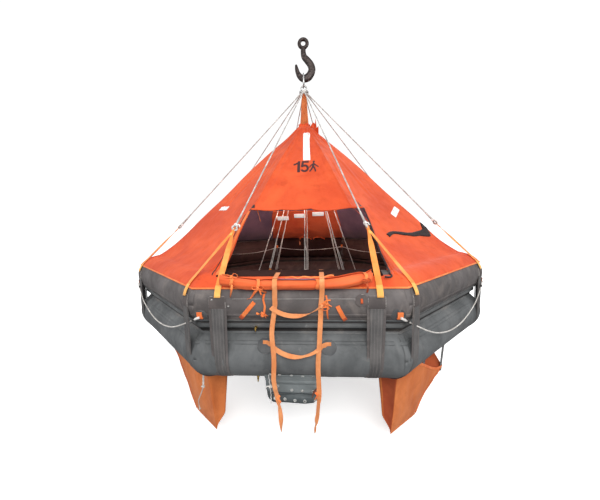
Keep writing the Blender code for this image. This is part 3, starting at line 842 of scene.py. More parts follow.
M["brown_tape"] = webbing("brown_handle_tape", lin((140, 88, 70)), lin((104, 62, 50)), dirt=0.3)
M["rope"] = rope_mat("bridle_rope", lin((222, 218, 213)), lin((172, 166, 162)))
M["rope_in"] = rope_mat("inner_rope", lin((226, 224, 220)), lin((178, 174, 172)), grime=0.25)
M["line"] = rope_mat("lifeline_rope", lin((236, 232, 226)), lin((196, 190, 184)), grime=0.2)
M["sleeve"] = rope_mat("white_sleeve", lin((246, 244, 240)), lin((214, 210, 206)), grime=0.15)
M["whip"] = rope_mat("dark_whipping", lin((50, 46, 46)), lin((28, 26, 27)), grime=0.1)
M["glue"] = rope_mat("dried_glue", lin((168, 164, 160)), lin((128, 124, 122)), grime=0.6)
M["tape_dark"] = webbing("tie_tape_dark", lin((206, 96, 50)), lin((176, 72, 38)), ribs=0.003)
M["hook"] = metal("forged_black", lin((72, 60, 57)), lin((38, 32, 31)), 0.42, 0.55, 0.55, 55.0)
M["link"] = metal("galvanised", lin((206, 206, 204)), lin((150, 150, 150)), 0.36, 0.9, 0.25, 90.0, rust=(0.20, 0.11, 0.06))
M["thimble"] = metal("thimble_steel", lin((214, 212, 208)), lin((168, 166, 164)), 0.34, 0.85, 0.2, 120.0)
M["eyelet"] = metal("eyelet_steel", lin((236, 236, 232)), lin((196, 196, 192)), 0.3, 0.7, 0.1, 150.0)
M["brass"] = metal("brass_fitting", lin((206, 176, 104)), lin((150, 118, 58)), 0.34, 0.9, 0.2, 120.0)
M["bottle"] = metal("bottle_grey", lin((150, 152, 154)), lin((118, 120, 122)), 0.42, 0.25, 0.15, 60.0)
M["pouch"] = rubber("pouch_cloth", lin((88, 94, 96)), lin((64, 70, 72)), dust=(0.2, 0.2, 0.195), dusty=0.25, scuff=0.5,
                    wrinkle=0.5)
M["pouch_flap"] = rubber("pouch_flap_cloth", lin((142, 148, 149)), lin((114, 120, 121)), dust=(0.24, 0.24, 0.235), dusty=0.3,
                         scuff=0.6, wrinkle=0.4)
M["retro"] = reflective("reflective_tape")
# painted light: the tape on the inside of the rear curtain glows
M["retro_in"] = reflective("reflective_tape_inside_painted_light", 0.42)
# painted shade: a darker brown for the inward faces of both tubes and for the groove strip and seams inside, which lie
# in the canopy's shade
M["upper_in"] = rubber("upper_tube_inner_rubber", lin((80, 58, 54)), lin((56, 40, 38)), dust=(0.12, 0.075, 0.06), dusty=0.3,
                       scuff=0.05)
M["mark"] = cloth("mark_print", lin((66, 16, 20)), lin((46, 10, 14)), rough=0.5, crease=0.1)
M["window"] = cloth("vent_patch", lin((128, 128, 104)), lin((98, 100, 82)), rough=0.5)


# ================================================================ camera and light
def set_camera():
    pos = V(0.1229, -3.3565, 1.0932) + DROP
    pitch, roll = -0.1154, -0.0188
    flat = V(-0.0598, 0.9982, 0.0).normalized()
    fwd = flat * math.cos(pitch) + V(0, 0, math.sin(pitch))
    right = fwd.cross(V(0, 0, 1)).normalized()
    up = right.cross(fwd)
    r2 = right * math.cos(roll) + up * math.sin(roll)
    u2 = up * math.cos(roll) - right * math.sin(roll)
    data = bpy.data.cameras.new("photo_camera")
    data.sensor_fit = "HORIZONTAL"
    data.sensor_width = 36.0
    data.lens = 16.83
    data.clip_start, data.clip_end = 0.05, 400.0
    cam = bpy.data.objects.new("photo_camera", data)
    bpy.context.scene.collection.objects.link(cam)
    m = Matrix.Identity(4)
    for i in range(3):
        m[i][0], m[i][1], m[i][2], m[i][3] = r2[i], u2[i], -fwd[i], pos[i]
    cam.matrix_world = m
    bpy.context.scene.camera = cam
    return cam


def area(name, place, target, size, power, colour=(1, 1, 1)):
    data = bpy.data.lights.new(name, "AREA")
    data.shape = "RECTANGLE"
    data.size, data.size_y = size
    data.energy = power
    data.color = colour
    ob = bpy.data.objects.new(name, data)
    bpy.context.scene.collection.objects.link(ob)
    ob.location = Vector(place) + DROP
    ob.rotation_euler = (Vector(target) - Vector(place)).to_track_quat("-Z", "Y").to_euler()
    return ob


camera = set_camera()
scene = bpy.context.scene
scene.view_settings.view_transform = "Standard"
scene.view_settings.look = "None"
scene.view_settings.exposure = 0.0
scene.view_settings.gamma = 1.0

world = bpy.data.worlds.new("studio")
scene.world = world
world.use_nodes = True
wt = world.node_tree
wt.nodes.clear()
w_out = wt.nodes.new("ShaderNodeOutputWorld")
w_mix = wt.nodes.new("ShaderNodeMixShader")
w_path = wt.nodes.new("ShaderNodeLightPath")
w_fill = wt.nodes.new("ShaderNodeBackground")
w_seen = wt.nodes.new("ShaderNodeBackground")
w_coord = wt.nodes.new("ShaderNodeTexCoord")
w_sep = wt.nodes.new("ShaderNodeSeparateXYZ")
w_ramp = wt.nodes.new("ShaderNodeMapRange")
w_ramp.inputs[1].default_value, w_ramp.inputs[2].default_value = -0.9, 0.9
w_ramp.inputs[3].default_value, w_ramp.inputs[4].default_value = 0.30, 0.90
w_fill.inputs[0].default_value = (0.97, 0.985, 1.0, 1.0)
w_seen.inputs[0].default_value = (1.0, 1.0, 1.0, 1.0)
w_seen.inputs[1].default_value = 1.05
wt.links.new(w_coord.outputs["Generated"], w_sep.inputs[0])
wt.links.new(w_sep.outputs[2], w_ramp.inputs[0])
wt.links.new(w_ramp.outputs[0], w_fill.inputs[1])
wt.links.new(w_path.outputs["Is Camera Ray"], w_mix.inputs[0])
wt.links.new(w_fill.outputs[0], w_mix.inputs[1])
wt.links.new(w_seen.outputs[0], w_mix.inputs[2])
wt.links.new(w_mix.outputs[0], w_out.inputs[0])

area("key_front", (0.9, -6.4, 4.4), (0.0, 0.0, 1.0), (4.0, 3.0), 225.0, (1.0, 0.985, 0.96))
area("key_right", (5.4, -3.8, 3.8), (0.0, 0.0, 0.9), (3.5, 3.0), 105.0)
area("fill_left", (-5.4, -3.0, 3.6), (0.0, 0.0, 0.9), (3.5, 3.0), 88.0)
area("back_light", (1.5, 6.2, 4.2), (0.0, 0.0, 1.1), (5.0, 3.0), 300.0)
area("inside_fill", (0.05, -0.35, 1.50), (0.0, 1.0, 0.75), (0.6, 0.4), 19.0, (1.0, 0.70, 0.60)).visible_camera = False
area("front_fill", (0.12, -3.6, 1.35), (0.0, 0.0, 1.0), (0.6, 0.6), 10.0).visible_camera = False

floor_z = -0.56
fm = bpy.data.meshes.new("studio_floor")
fm.from_pydata([(-90, -90, floor_z - EYE_Z), (90, -90, floor_z - EYE_Z), (90, 90, floor_z - EYE_Z),
                (-90, 90, floor_z - EYE_Z)], [], [(0, 1, 2, 3)])
floor_mat = Mat("studio_floor", 0.9, spec=0.1)
floor_mat.b.inputs["Base Color"].default_value = (0.80, 0.80, 0.80, 1.0)
floor_mat.b.inputs["Emission Color"].default_value = (1.0, 1.0, 1.0, 1.0)
floor_mat.b.inputs["Emission Strength"].default_value = 0.62
fm.materials.append(floor_mat.m)
studio_floor = bpy.data.objects.new("studio_floor", fm)
scene.collection.objects.link(studio_floor)
studio_floor.visible_diffuse = False
studio_floor.visible_glossy = False
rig.stage(studio_floor)


# ================================================================ free cords
def lifeline_route(start, end, face, low):
    """The same route as the CAD: seven points, then thirty even ones."""
    n, t = face_axes(face)
    pts = []
    for i in range(7):
        f = i / 6
        p = start.lerp(end, f)
        p.z -= 4 * low * f * (1 - f)
        a = p.dot(n)
        lean = 0.022 + 0.012 * math.sin(math.pi * f)
        if 0 < i < 6:
            p += n * max(0.0, 1.6655 + lean - a)
        pts.append(p)
    return smooth_path(pts, 30)


def declare_cord(ob, pts, diameter, pieces=(), lay="hanging"):
    path = [tuple(p + DROP) for p in pts]
    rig.cord(ob, exit=path[0], length=round(length_of(pts), 3), diameter=diameter, far_end="object",
            stiffness="limp", lay=lay, path=path, with_pieces=list(pieces))


def webbing_tab(name, at, out, down, width=0.034, length=0.052, mat="tape"):
    """A short folded tab of webbing standing off the tube, that carries a rope."""
    side = out.cross(down).normalized()
    pts = [at - down * length * 0.55 - out * 0.002, at - down * length * 0.2 + out * 0.006,
           at + out * 0.012 + down * 0.004, at + down * 0.011 + out * 0.006,
           at + down * 0.006 - out * 0.002, at - down * 0.01 - out * 0.005]
    return strap(name, smooth_path(pts, 16), side, width, M[mat], 0.0024)


TAB_Z = 0.470
tab_a = TUBE_A + math.sqrt((TUBE_R + 0.018) ** 2 - (TAB_Z - UPPER_Z) ** 2)
side_r = tab_a / math.cos(HALF) + 0.004
bights = []
for word, face, s_face, s_u, e_corner, low in (
        ("front_right", 1, 0, 0.632, 2, 0.235), ("front_left", 7, 0, -0.632, 7, 0.190),
        ("back_left", 5, 4, 0.632, 6, 0.215), ("back_right", 3, 4, -0.632, 3, 0.205)):
    n, t = face_axes(face)
    b = corner_dir(e_corner) * side_r + V(0, 0, TAB_Z)
    bights.append((word, face, on_face(s_face, tab_a, s_u, TAB_Z),
                   b + t * (0.012 if b.dot(t) < 0 else -0.012), low))
for word, face, c0, c1, low in (("right", 2, 2, 3, 0.21), ("left", 6, 6, 7, 0.20)):
    n, t = face_axes(face)
    bights.append((word, face, corner_dir(c0) * side_r + V(0, 0, TAB_Z) + t * 0.012,
                   corner_dir(c1) * side_r + V(0, 0, TAB_Z) - t * 0.012, low))

for word, face, start, end, low in bights:
    pts = lifeline_route(start, end, face, low)
    line = rope("lifeline_rope_" + word, pts, 0.0055, M["line"], slot="white_rope")
    extra = []
    dense = even(pts, count=160)
    total = length_of(dense)
    for tag, lo, hi, r, mat in (("sleeve_a", 0.0, 0.050, 0.0084, "sleeve"), ("whip_a", 0.054, 0.074, 0.0082, "whip"),
                                ("sleeve_b", total - 0.050, total, 0.0084, "sleeve"),
                                ("whip_b", total - 0.074, total - 0.054, 0.0082, "whip")):
        i0, i1 = int(round(lo / total * 159)), int(round(hi / total * 159))
        part = even(dense[i0:i1 + 1], count=9)
        rr = [r * (0.80 if q in (0, 8) else 1.0) for q in range(9)]
        extra.append(round_tube("%s_%s" % (tag, word), part, rr, M[mat], 12))
    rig.replaces(line, "lifeline_" + word)
    declare_cord(line, pts, 0.011, extra)

# inner lifeline: one hanging length on the inside of each face of the upper tube
for k in range(SIDES):
    z0, a0 = 0.600, TUBE_A - math.sqrt((TUBE_R + 0.012) ** 2 - (0.600 - UPPER_Z) ** 2)
    half = a0 * math.tan(HALF) - 0.012
    pts = []
    for i in range(9):
        f = i / 8
        z = z0 - 4 * (0.045 + 0.006 * math.sin(3.1 * k)) * f * (1 - f)
        a = TUBE_A - math.sqrt((TUBE_R + 0.012) ** 2 - (z - UPPER_Z) ** 2)
        pts.append(on_face(k, a, -half + 2 * half * f, z))
    pts = smooth_path(pts, 28)
    ob = rope("inner_lifeline_" + PANELS[k], pts, 0.0050, M["line"], slot="white_rope")
    declare_cord(ob, pts, 0.010)
for c in range(SIDES):
    d = corner_dir(c)
    rr = (TUBE_A - math.sqrt((TUBE_R + 0.004) ** 2 - (0.600 - UPPER_Z) ** 2)) / math.cos(HALF)
    webbing_tab("inner_tab_" + CORNERS[c], d * rr + V(0, 0, 0.602), -d, V(0, 0, -1.0), 0.030, 0.06)


# ================================================================ tubes
def tube_pt(k, u, phi, lift=0.0, zc=UPPER_Z):
    r = TUBE_R + lift
    return on_face(k, TUBE_A + r * math.cos(phi), u, zc + r * math.sin(phi))


# creases pressed into the lower tube: face, from (u, z) to (u, z), depth, half width
LOWER_CREASES = [(0, -0.466, 0.302, -0.466, 0.070, 0.0048, 0.011), (0, -0.20, 0.251, -0.215, 0.080, 0.0050, 0.012),
                 (0, 0.207, 0.243, 0.214, 0.059, 0.0052, 0.011), (0, 0.300, 0.291, 0.338, 0.215, 0.0030, 0.010),
                 (0, 0.338, 0.230, 0.356, 0.120, 0.0030, 0.010), (0, 0.590, 0.283, 0.628, 0.129, 0.0046, 0.013),
                 (0, -0.600, 0.300, -0.585, 0.110, 0.0048, 0.013), (0, 0.415, 0.300, 0.412, 0.080, 0.0040, 0.010),
                 (0, 0.655, 0.310, 0.668, 0.120, 0.0034, 0.012), (0, -0.385, 0.20, -0.405, 0.07, 0.0026, 0.014),
                 (0, -0.30, 0.12, -0.20, 0.135, 0.0022, 0.010), (0, 0.02, 0.295, 0.20, 0.289, 0.0018, 0.006)]
UPPER_CREASES = [(0, -0.445, 0.560, -0.440, 0.470, 0.0034, 0.010), (0, 0.425, 0.565, 0.418, 0.470, 0.0034, 0.010),
                 (0, 0.565, 0.610, 0.600, 0.500, 0.0040, 0.014), (0, -0.575, 0.600, -0.602, 0.500, 0.0036, 0.013),
                 (0, 0.640, 0.590, 0.655, 0.480, 0.0030, 0.010), (0, 0.38, 0.55, 0.40, 0.45, 0.0020, 0.012)]
rng = np.random.default_rng(7)
for kk in (1, 2, 3, 4, 5, 6, 7):
    for _ in range(7):
        side = rng.choice([-1, 1])
        u = side * rng.uniform(0.45, 0.66)
        z1 = rng.uniform(0.26, 0.31)
        LOWER_CREASES.append((kk, u, z1, u + rng.uniform(-0.03, 0.03), rng.uniform(0.06, 0.13),
                              rng.uniform(0.0025, 0.005), rng.uniform(0.009, 0.014)))
    for _ in range(4):
        side = rng.choice([-1, 1])
        u = side * rng.uniform(0.50, 0.66)
        UPPER_CREASES.append((kk, u, rng.uniform(0.57, 0.62), u + rng.uniform(-0.03, 0.03), rng.uniform(0.46, 0.50),
                              rng.uniform(0.002, 0.004), rng.uniform(0.009, 0.014)))


def seg_dist(U, Z, u0, z0, u1, z1):
    du, dz = u1 - u0, z1 - z0
    f = np.clip(((U - u0) * du + (Z - z0) * dz) / (du * du + dz * dz), 0, 1)
    return np.hypot(U - (u0 + f * du), Z - (z0 + f * dz)), f


def noise_field(P, scale, seed=0.0, octaves=2):
    out = np.zeros(len(P))
    for i, p in enumerate(P):
        q = Vector((p[0] * scale + seed, p[1] * scale - seed, p[2] * scale + 0.5 * seed))
        v = noise.noise(q)
        if octaves > 1:
            v += 0.5 * noise.noise(q * 2.1)
        out[i] = v
    return out


def big_tube(name, zc, mat, creases, node, seed, inner=None):
    rows_n = 60
    phi = np.linspace(0, 2 * math.pi, rows_n, endpoint=False)
    pos, uvc = [], []
    run0 = 0.0
    P_cols, K_cols, S_cols = [], [], []
    for k in range(SIDES):
        m = 104 if k in (0, 4) else 50
        x = np.linspace(-1, 1, m + 1)[:-1]
        s = np.sin(x * math.pi / 2) * 0.55 + x * 0.45
        for v in s:
            P_cols.append((k, v))
    C = len(P_cols)
    P = np.zeros((C, rows_n, 3))
    D = np.zeros((C, rows_n))
    N = np.zeros((C, rows_n, 3))
    U = np.zeros((C, rows_n))
    for j, (k, s) in enumerate(P_cols):
        n, t = face_axes(k)
        n, t = np.array(n), np.array(t)
        a = TUBE_A + TUBE_R * np.cos(phi)
        z = zc + TUBE_R * np.sin(phi)
        u = s * a * math.tan(HALF)
        P[j] = n[None] * a[:, None] + t[None] * u[:, None] + np.array([0, 0, 1.0])[None] * z[:, None]
        N[j] = n[None] * np.cos(phi)[:, None] + np.array([0, 0, 1.0])[None] * np.sin(phi)[:, None]
        U[j] = u
        e = (1 - abs(s)) * a * math.tan(HALF)
        D[j] += -0.0050 * np.exp(-(e / 0.012) ** 2) + 0.0014 * np.exp(-((e - 0.045) / 0.035) ** 2)
        fan = np.sin(phi * 11 + seed + 2.3 * k * np.sign(s)) * np.exp(-e / 0.07)
        D[j] += 0.0026 * fan * (0.45 + 0.55 * (np.cos(phi) < 0.2))
        for (ck, u0, z0, u1, z1, depth, half) in creases:
            if ck != k:
                continue
            dist, f = seg_dist(u, z, u0, z0, u1, z1)
            ok = np.cos(phi) > 0
            fade = np.sqrt(np.clip(np.sin(np.pi * (0.08 + 0.84 * f)), 0, 1))
            D[j] += 1.5 * ok * fade * (-depth * np.exp(-(dist / (1.15 * half)) ** 2)
                                + 0.5 * depth * np.exp(-((dist - 2.3 * half) / (1.3 * half)) ** 2))
    D += 0.0016 * noise_field(P.reshape(-1, 3), 3.0, seed).reshape(C, rows_n)
    P = P + N * D[..., None]
    # UV in metres: across the tube's length, then round it
    lon = np.concatenate([[0], np.cumsum(np.linalg.norm(np.diff(P[:, 0], axis=0), axis=1))])
    lon = np.append(lon, lon[-1] + np.linalg.norm(P[0, 0] - P[-1, 0]))
    # rows = columns of the loop so that the wrap runs round the section
    P2 = np.concatenate([P, P[:1]], 0)
    uv = np.zeros((C + 1, rows_n + 1, 2))
    uv[..., 0] = lon[:, None]
    uv[..., 1] = (np.linspace(0, 2 * math.pi, rows_n + 1) * TUBE_R)[None]
    verts = P.reshape(-1, 3)
    faces, uvs = [], []
    for j in range(C):
        j2 = (j + 1) % C
        for i in range(rows_n):
            i2 = (i + 1) % rows_n
            faces.append((j * rows_n + i, j2 * rows_n + i, j2 * rows_n + i2, j * rows_n + i2))
            uvs += [uv[j, i], uv[j + 1, i], uv[j + 1, i + 1], uv[j, i + 1]]
    mats = [M[mat], M[inner]] if inner else [M[mat]]
    # faces that turn inward, towards the middle of the raft, take the second material, which is painted shade
    face_mats = [1 if inner and math.cos((i % rows_n + 0.5) / rows_n * 2 * math.pi) < -0.30 else 0 for i in range(len(faces))]
    ob = finish_mesh(name, verts, faces, uvs, mats, face_mats, closed=True, slot="tube_rubber")
    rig.replaces(ob, node)
    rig.padded(ob, 1.0)
    return ob


big_tube("upper_buoyancy_tube", UPPER_Z, "upper", UPPER_CREASES, "upper_tube", 1.7, "upper_in")
big_tube("lower_buoyancy_tube", LOWER_Z, "lower", LOWER_CREASES, "lower_tube", 4.1, "upper_in")


def ring_profile(name, profile, mats, cell=None, thickness=0.003, offset=-1.0, per=24, ripple=0.0, slot=None):
    """A band all round the octagon, following a profile of (apothem, height)."""
    rows, uv = [], []
    run = np.concatenate([[0], np.cumsum([math.dist(a, b) for a, b in zip(profile, profile[1:])])])
    cols = []
    for k in range(SIDES):
        for i in range(per):
            cols.append((k, -1 + 2 * i / per))
    for (a, z), v in zip(profile, run):
        row, ur = [], []
        for j, (k, s) in enumerate(cols):
            w = ripple * math.sin(j * 1.3 + 40 * v) * math.sin(j * 0.37)
            row.append(tuple(on_face(k, a + w, s * a * math.tan(HALF), z + 0.4 * w)))
            ur.append((j * 2 * a * math.tan(HALF) / per, v))
        ur.append((len(cols) * 2 * a * math.tan(HALF) / per, v))
        rows.append(row)
        uv.append(ur)
    cm = None
    if cell:
        cm = [[c] * len(cols) for c in cell]
    ob = grid(name, rows, mats, uv=np.array(uv), wrap=True, cell_mats=cm, slot=slot)
    solidify(ob, thickness, offset)
    return ob


def arc(zc, deg0, deg1, lift, count):
    return [(TUBE_A + (TUBE_R + lift) * math.cos(math.radians(d)), zc + (TUBE_R + lift) * math.sin(math.radians(d)))
            for d in np.linspace(deg0, deg1, count)]


# the strip that closes the groove between the tubes, outside and inside; its dark cells near the top and the bottom are
# painted shadow in the gaps where it tucks under the upper tube and meets the lower one
outer = arc(UPPER_Z, -34, -39, 0.0012, 3) + [(1.6200, 0.4265), (1.6070, 0.4225), (1.6020, 0.4190)] \
    + [(1.6010, 0.4100), (1.6030, 0.3960), (1.6010, 0.3830)] + [(1.5960, 0.3790), (1.5840, 0.3760), (1.5800, 0.3700),
                                                              (1.5760, 0.3600)] \
    + arc(LOWER_Z, 61, 55, 0.0012, 3)
ring_profile("groove_strip", outer, [M["strip"], M["dark"]],
             cell=[0, 0, 1, 1, 1, 0, 0, 0, 0, 1, 1, 1, 1, 0, 0], thickness=0.0025, ripple=0.0010,
             slot="tube_rubber")
inner = [(TUBE_A - (a - TUBE_A) * 1.0, z) for a, z in outer][::-1]
ring_profile("groove_strip_inside", inner, [M["upper_in"], M["dark"]],
             cell=[0, 0, 1, 1, 1, 1, 0, 0, 0, 0, 1, 1, 1, 0, 0], thickness=0.0025, slot="tube_rubber")

# long seams where the tube's cloth overlaps
for name, zc, deg, k_mat in (("upper_seam_low", UPPER_Z, -22.0, "upper"), ("lower_seam_high", LOWER_Z, 36.0, "lower"),
                             ("lower_seam_under", LOWER_Z, -78.0, "lower"), ("upper_seam_inside", UPPER_Z, 155.0, "upper_in"),
                             ("lower_seam_inside", LOWER_Z, 200.0, "upper_in")):
    ring_profile(name, arc(zc, deg - 4.0, deg + 4.0, 0.0014, 4), M[k_mat], thickness=0.0012, ripple=0.0003,
                 slot="tube_rubber")


def corner_tape(name, c, zc, mat, wide=0.024, lift=0.0012):
    """The taped joint round a tube at a corner, pulled in a little at the mitre."""
    kl, kr = (c - 1) % SIDES, c % SIDES
    rows, uv = [], []
    for i in range(40):
        phi = 2 * math.pi * i / 40
        row, ur = [], []
        for q, e in enumerate((wide, wide * 0.5, 0.006, 0.0, 0.006, wide * 0.5, wide)):
            k = kl if q < 3 else kr
            r = TUBE_R + lift - 0.0050 * math.exp(-(e / 0.012) ** 2)
            a = TUBE_A + r * math.cos(phi)
            half = a * math.tan(HALF)
            u = (half - e) if k == kl else (-half + e)
            row.append(tuple(on_face(k, a, u, zc + r * math.sin(phi))))
            ur.append(((q - 3) * wide / 3, phi * TUBE_R))
        rows.append(row)
        uv.append(ur)
    rows.append(rows[0])
    uv.append([(a, 2 * math.pi * TUBE_R) for a, _ in uv[0]])
    ob = grid(name, rows, M[mat], uv=np.array(uv), slot="tube_rubber")
    return solidify(ob, 0.0012, 0.0)


for c in range(SIDES):
    corner_tape("upper_joint_tape_" + CORNERS[c], c, UPPER_Z, "upper")
    corner_tape("lower_joint_tape_" + CORNERS[c], c, LOWER_Z, "lower")


def tube_patch(name, k, uc, z_c, w, h, mat, zc=UPPER_Z, lift=0.0022, power=2.0, slot="tube_rubber", turn=0.0):
    """A glued patch on a tube: round (power 2) or with square corners (power 8)."""
    phic = math.asin(max(-1, min(1, (z_c - zc) / TUBE_R)))
    rows, uv = [], []
    c, s_ = math.cos(turn), math.sin(turn)
    for f, l in ((0.03, lift), (0.3, lift), (0.6, lift), (0.85, lift), (0.96, lift * 0.9), (1.0, lift * 0.35), (1.0, -0.004)):
        row, ur = [], []
        for j in range(48):
            g = 2 * math.pi * j / 48
            x, y = math.cos(g), math.sin(g)
            rr = (abs(x) ** power + abs(y) ** power) ** (-1 / power)
            du, dv = x * rr * f * w / 2, y * rr * f * h / 2
            ur.append((x * rr * f * 0.5 + 0.5, y * rr * f * 0.5 + 0.5))
            du, dv = du * c - dv * s_, du * s_ + dv * c
            row.append(tuple(tube_pt(k, uc + du, phic + dv / (TUBE_R + l), l, zc)))
        ur.append(ur[0])
        rows.append(row)
        uv.append(ur)
    return grid(name, rows, M[mat], uv=np.array(uv), wrap=True, caps=True, slot=slot)


# reinforcing bands under the ends of the webbing legs
def band_path(k, u_top, u_foot, lift=0.0022, narrow=0.0):
    prof = arc(UPPER_Z, 17.5, 0, lift, 6) + [(TUBE_A + TUBE_R + lift, z) for z in np.linspace(0.515, 0.215, 10)] \
        + arc(LOWER_Z, 0, -82, lift, 14)
    prof = [prof[0]] + [p for a, p in zip(prof, prof[1:]) if math.dist(a, p) > 1e-4]
    n = len(prof)
    pts, wid = [], []
    for i, (a, z) in enumerate(prof):
        f = i / (n - 1)
        pts.append(on_face(k, a, u_top + (u_foot - u_top) * f, z))
        wid.append(0.090 - narrow * f)
    return pts, wid


for k in range(SIDES):
    n, t = face_axes(k)
    front = k in (0, 4)
    spots = ((-0.511, -0.509), (0.488, 0.479)) if front else ((-0.614, -0.618), (0.614, 0.618))
    for tag, (u0, u1) in zip(("l", "r"), spots):
        pts, wid = band_path(k, u0, u1, narrow=0.034 if front else 0.016)
        if not front:
            wid = [w * 0.72 for w in wid]
        ob = strap("band_%s_%s" % (PANELS[k], tag), pts, t, wid, M["band"], 0.0024, slot="tube_rubber", cols=11)
        edge = 0.5 * wid[0]
        for q, sgn in (("a", -1), ("b", 1)):
            line = [p + t * (sgn * (w / 2 + 0.009)) - n * 0.0018 for p, w in zip(pts, wid)]
            strap("band_edge_%s_%s_%s" % (PANELS[k], tag, q), line, t, 0.017, M["upper"], 0.0010,
                  slot="tube_rubber", cols=5)
        tube_patch("band_cap_%s_%s" % (PANELS[k], tag), k, u0, 0.5665, wid[0] * 1.22, 0.084, "patch", lift=0.0050, power=9.0)

for k in (0, 4):
    n, t = face_axes(k)
    word = PANELS[k]
    for tag, z, u0, u1 in (("high", 0.590, -0.414, 0.457),):
        phi = math.asin((z - UPPER_Z) / TUBE_R)
        pts = [tube_pt(k, u, phi + 0.004 * math.sin(14 * u), 0.0010) for u in np.linspace(u0, u1, 60)]
        strap("pale_seam_%s_%s" % (word, tag), pts, V(0, 0, 1), 0.0042, M["glue"] if "glue" in M else M["sleeve"], 0.0016)
    tube_patch("fitting_patch_" + word, k, 0.397, 0.578, 0.088, 0.080, "patch", lift=0.0024)
    tube_patch("rung_patch_l_" + word, k, -0.214, 0.274, 0.112, 0.104, "patch_dark", LOWER_Z, 0.0026)
    tube_patch("rung_patch_r_" + word, k, 0.190, 0.266, 0.108, 0.100, "patch_dark", LOWER_Z, 0.0026)
    tube_patch("line_patch_l_" + word, k, -0.628, 0.474, 0.086, 0.092, "patch_dark", UPPER_Z, 0.0024)
    tube_patch("line_patch_r_" + word, k, 0.622, 0.478, 0.092, 0.100, "patch_dark", UPPER_Z, 0.0024)
    # small bolts beside the left band
    for q, (u, z) in enumerate(((-0.545, 0.585), (-0.438, 0.545))):
        p = tube_pt(k, u, math.asin((z - UPPER_Z) / TUBE_R), 0.004)
        d = (p - on_face(k, TUBE_A, u, UPPER_Z)).normalized()
        round_tube("bolt_%s_%d" % (word, q), [p - d * 0.006, p, p + d * 0.002, p + d * 0.004], [0.006, 0.006, 0.005, 0.002],
                   M["thimble"], 12)
    # short tape stub on its round patch
    p = tube_pt(k, 0.395, math.asin((0.580 - UPPER_Z) / TUBE_R), 0.004)
    strap("fitting_stub_" + word, [p + V(0, 0, 0.010) - n * 0.004, p + n * 0.005, p - V(0, 0, 0.010) + n * 0.008,
                                   p - V(0, 0, 0.019) + n * 0.005], t, 0.015, M["tape_dark"], 0.003)

# diagonal straps and the relief fittings
for k in (0, 4):
    n, t = face_axes(k)
    for tag, (u0, z0), (u1, z1) in (("l", (-0.272, 0.570), (-0.372, 0.458)), ("r", (0.246, 0.546), (0.300, 0.444))):
        pts = []
        for f in np.linspace(0, 1, 14):
            z = z0 + (z1 - z0) * f
            phi = math.asin((z - UPPER_Z) / TUBE_R)
            pts.append(tube_pt(k, u0 + (u1 - u0) * f, phi, 0.0030 + 0.006 * math.sin(math.pi * f)))
        d = (pts[-1] - pts[0]).normalized()
        strap("stow_strap_%s_%s" % (PANELS[k], tag), pts, n.cross(d).normalized(), 0.027, M["tape"], 0.0026, slot="orange_webbing")
        strap("stow_strap_foot_%s_%s" % (PANELS[k], tag), pts[-4:], n.cross(d).normalized(), 0.029, M["tape_dark"] if "tape_dark" in M else M["brown_tape"],
              0.0040, slot="orange_webbing")
    for tag, at, d in (("side", on_face(k, 1.606, -0.280, 0.383), n),
                       ("under", tube_pt(k, -0.289, math.radians(-66), 0.0, LOWER_Z), (n * math.cos(math.radians(-66)) + V(0, 0, math.sin(math.radians(-66)))))):
        round_tube("fitting_body_%s_%s" % (PANELS[k], tag), [at - d * 0.01, at + d * 0.006, at + d * 0.010, at + d * 0.022, at + d * 0.024],
                   [0.010, 0.010, 0.007, 0.007, 0.004], M["brass"], 16)
        ring("fitting_ring_%s_%s" % (PANELS[k], tag), at + d * 0.018 - V(0, 0, 0.010), t, 0.011, 0.0026, M["brass"], 24, 8)


# ================================================================ canopy
DOOR_Z = [0.60, 0.718, 0.741, 0.836, 0.947, 1.067, 1.165, 1.30, 2.2]
DOOR_L = [-108.0, -108.0, -109.4, -110.4, -111.4, -112.0, -112.4, -112.2, -111.0]
DOOR_R = [-69.5, -69.5, -68.0, -66.6, -64.3, -62.0, -60.0, -61.5, -65.25]
DOOR_TOP = 1.165
COLS = 480
STEP = 360.0 / COLS
C_L, C_R = -111.0, -65.25


def canopy_rows():
    rows = []
    r = TUBE_R + 0.0055
    for deg in (33.0, 35.5, 38.5, 42.0, 46.0, 50.5, 55.5, 60.5, 65.7, 71.0, 77.0, 83.5, 90.0):
        g = math.radians(deg)
        rows.append(((TUBE_A + r * math.cos(g)) / math.cos(HALF), UPPER_Z + r * math.sin(g), 0.0))
    tent = smooth_path([Vector(rows[-1])] + [Vector(p) for p in TENT], step=0.034)[1:]
    rows += [tuple(p) for p in tent]
    i = min(range(len(rows)), key=lambda q: abs(rows[q][1] - DOOR_TOP))
    a, b = (rows[i], rows[i + 1]) if rows[i][1] <= DOOR_TOP else (rows[i - 1], rows[i])
    f = (DOOR_TOP - a[1]) / (b[1] - a[1])
    rows[i] = tuple(x + (y - x) * f for x, y in zip(a, b))
    return rows


ROWS = canopy_rows()
I_SILL, I_TOP = 8, min(range(len(ROWS)), key=lambda q: abs(ROWS[q][1] - DOOR_TOP))


def door_angle(z, which):
    return float(np.interp(z, DOOR_Z, DOOR_L if which == "L" else DOOR_R))


def base_angles(z):
    th = -180.0 + STEP * np.arange(COLS)
    out = th.copy()
    for turn in (0.0, 180.0):
        for centre, which, reach in ((C_L, "L", 9.0), (C_R, "R", 14.0)):
            d = door_angle(z, which) - centre
            rel = (th - (centre + turn) + 180.0) % 360.0 - 180.0
            w = np.clip(1 - np.abs(rel) / reach, 0, 1)
            out = out + d * w
    return out


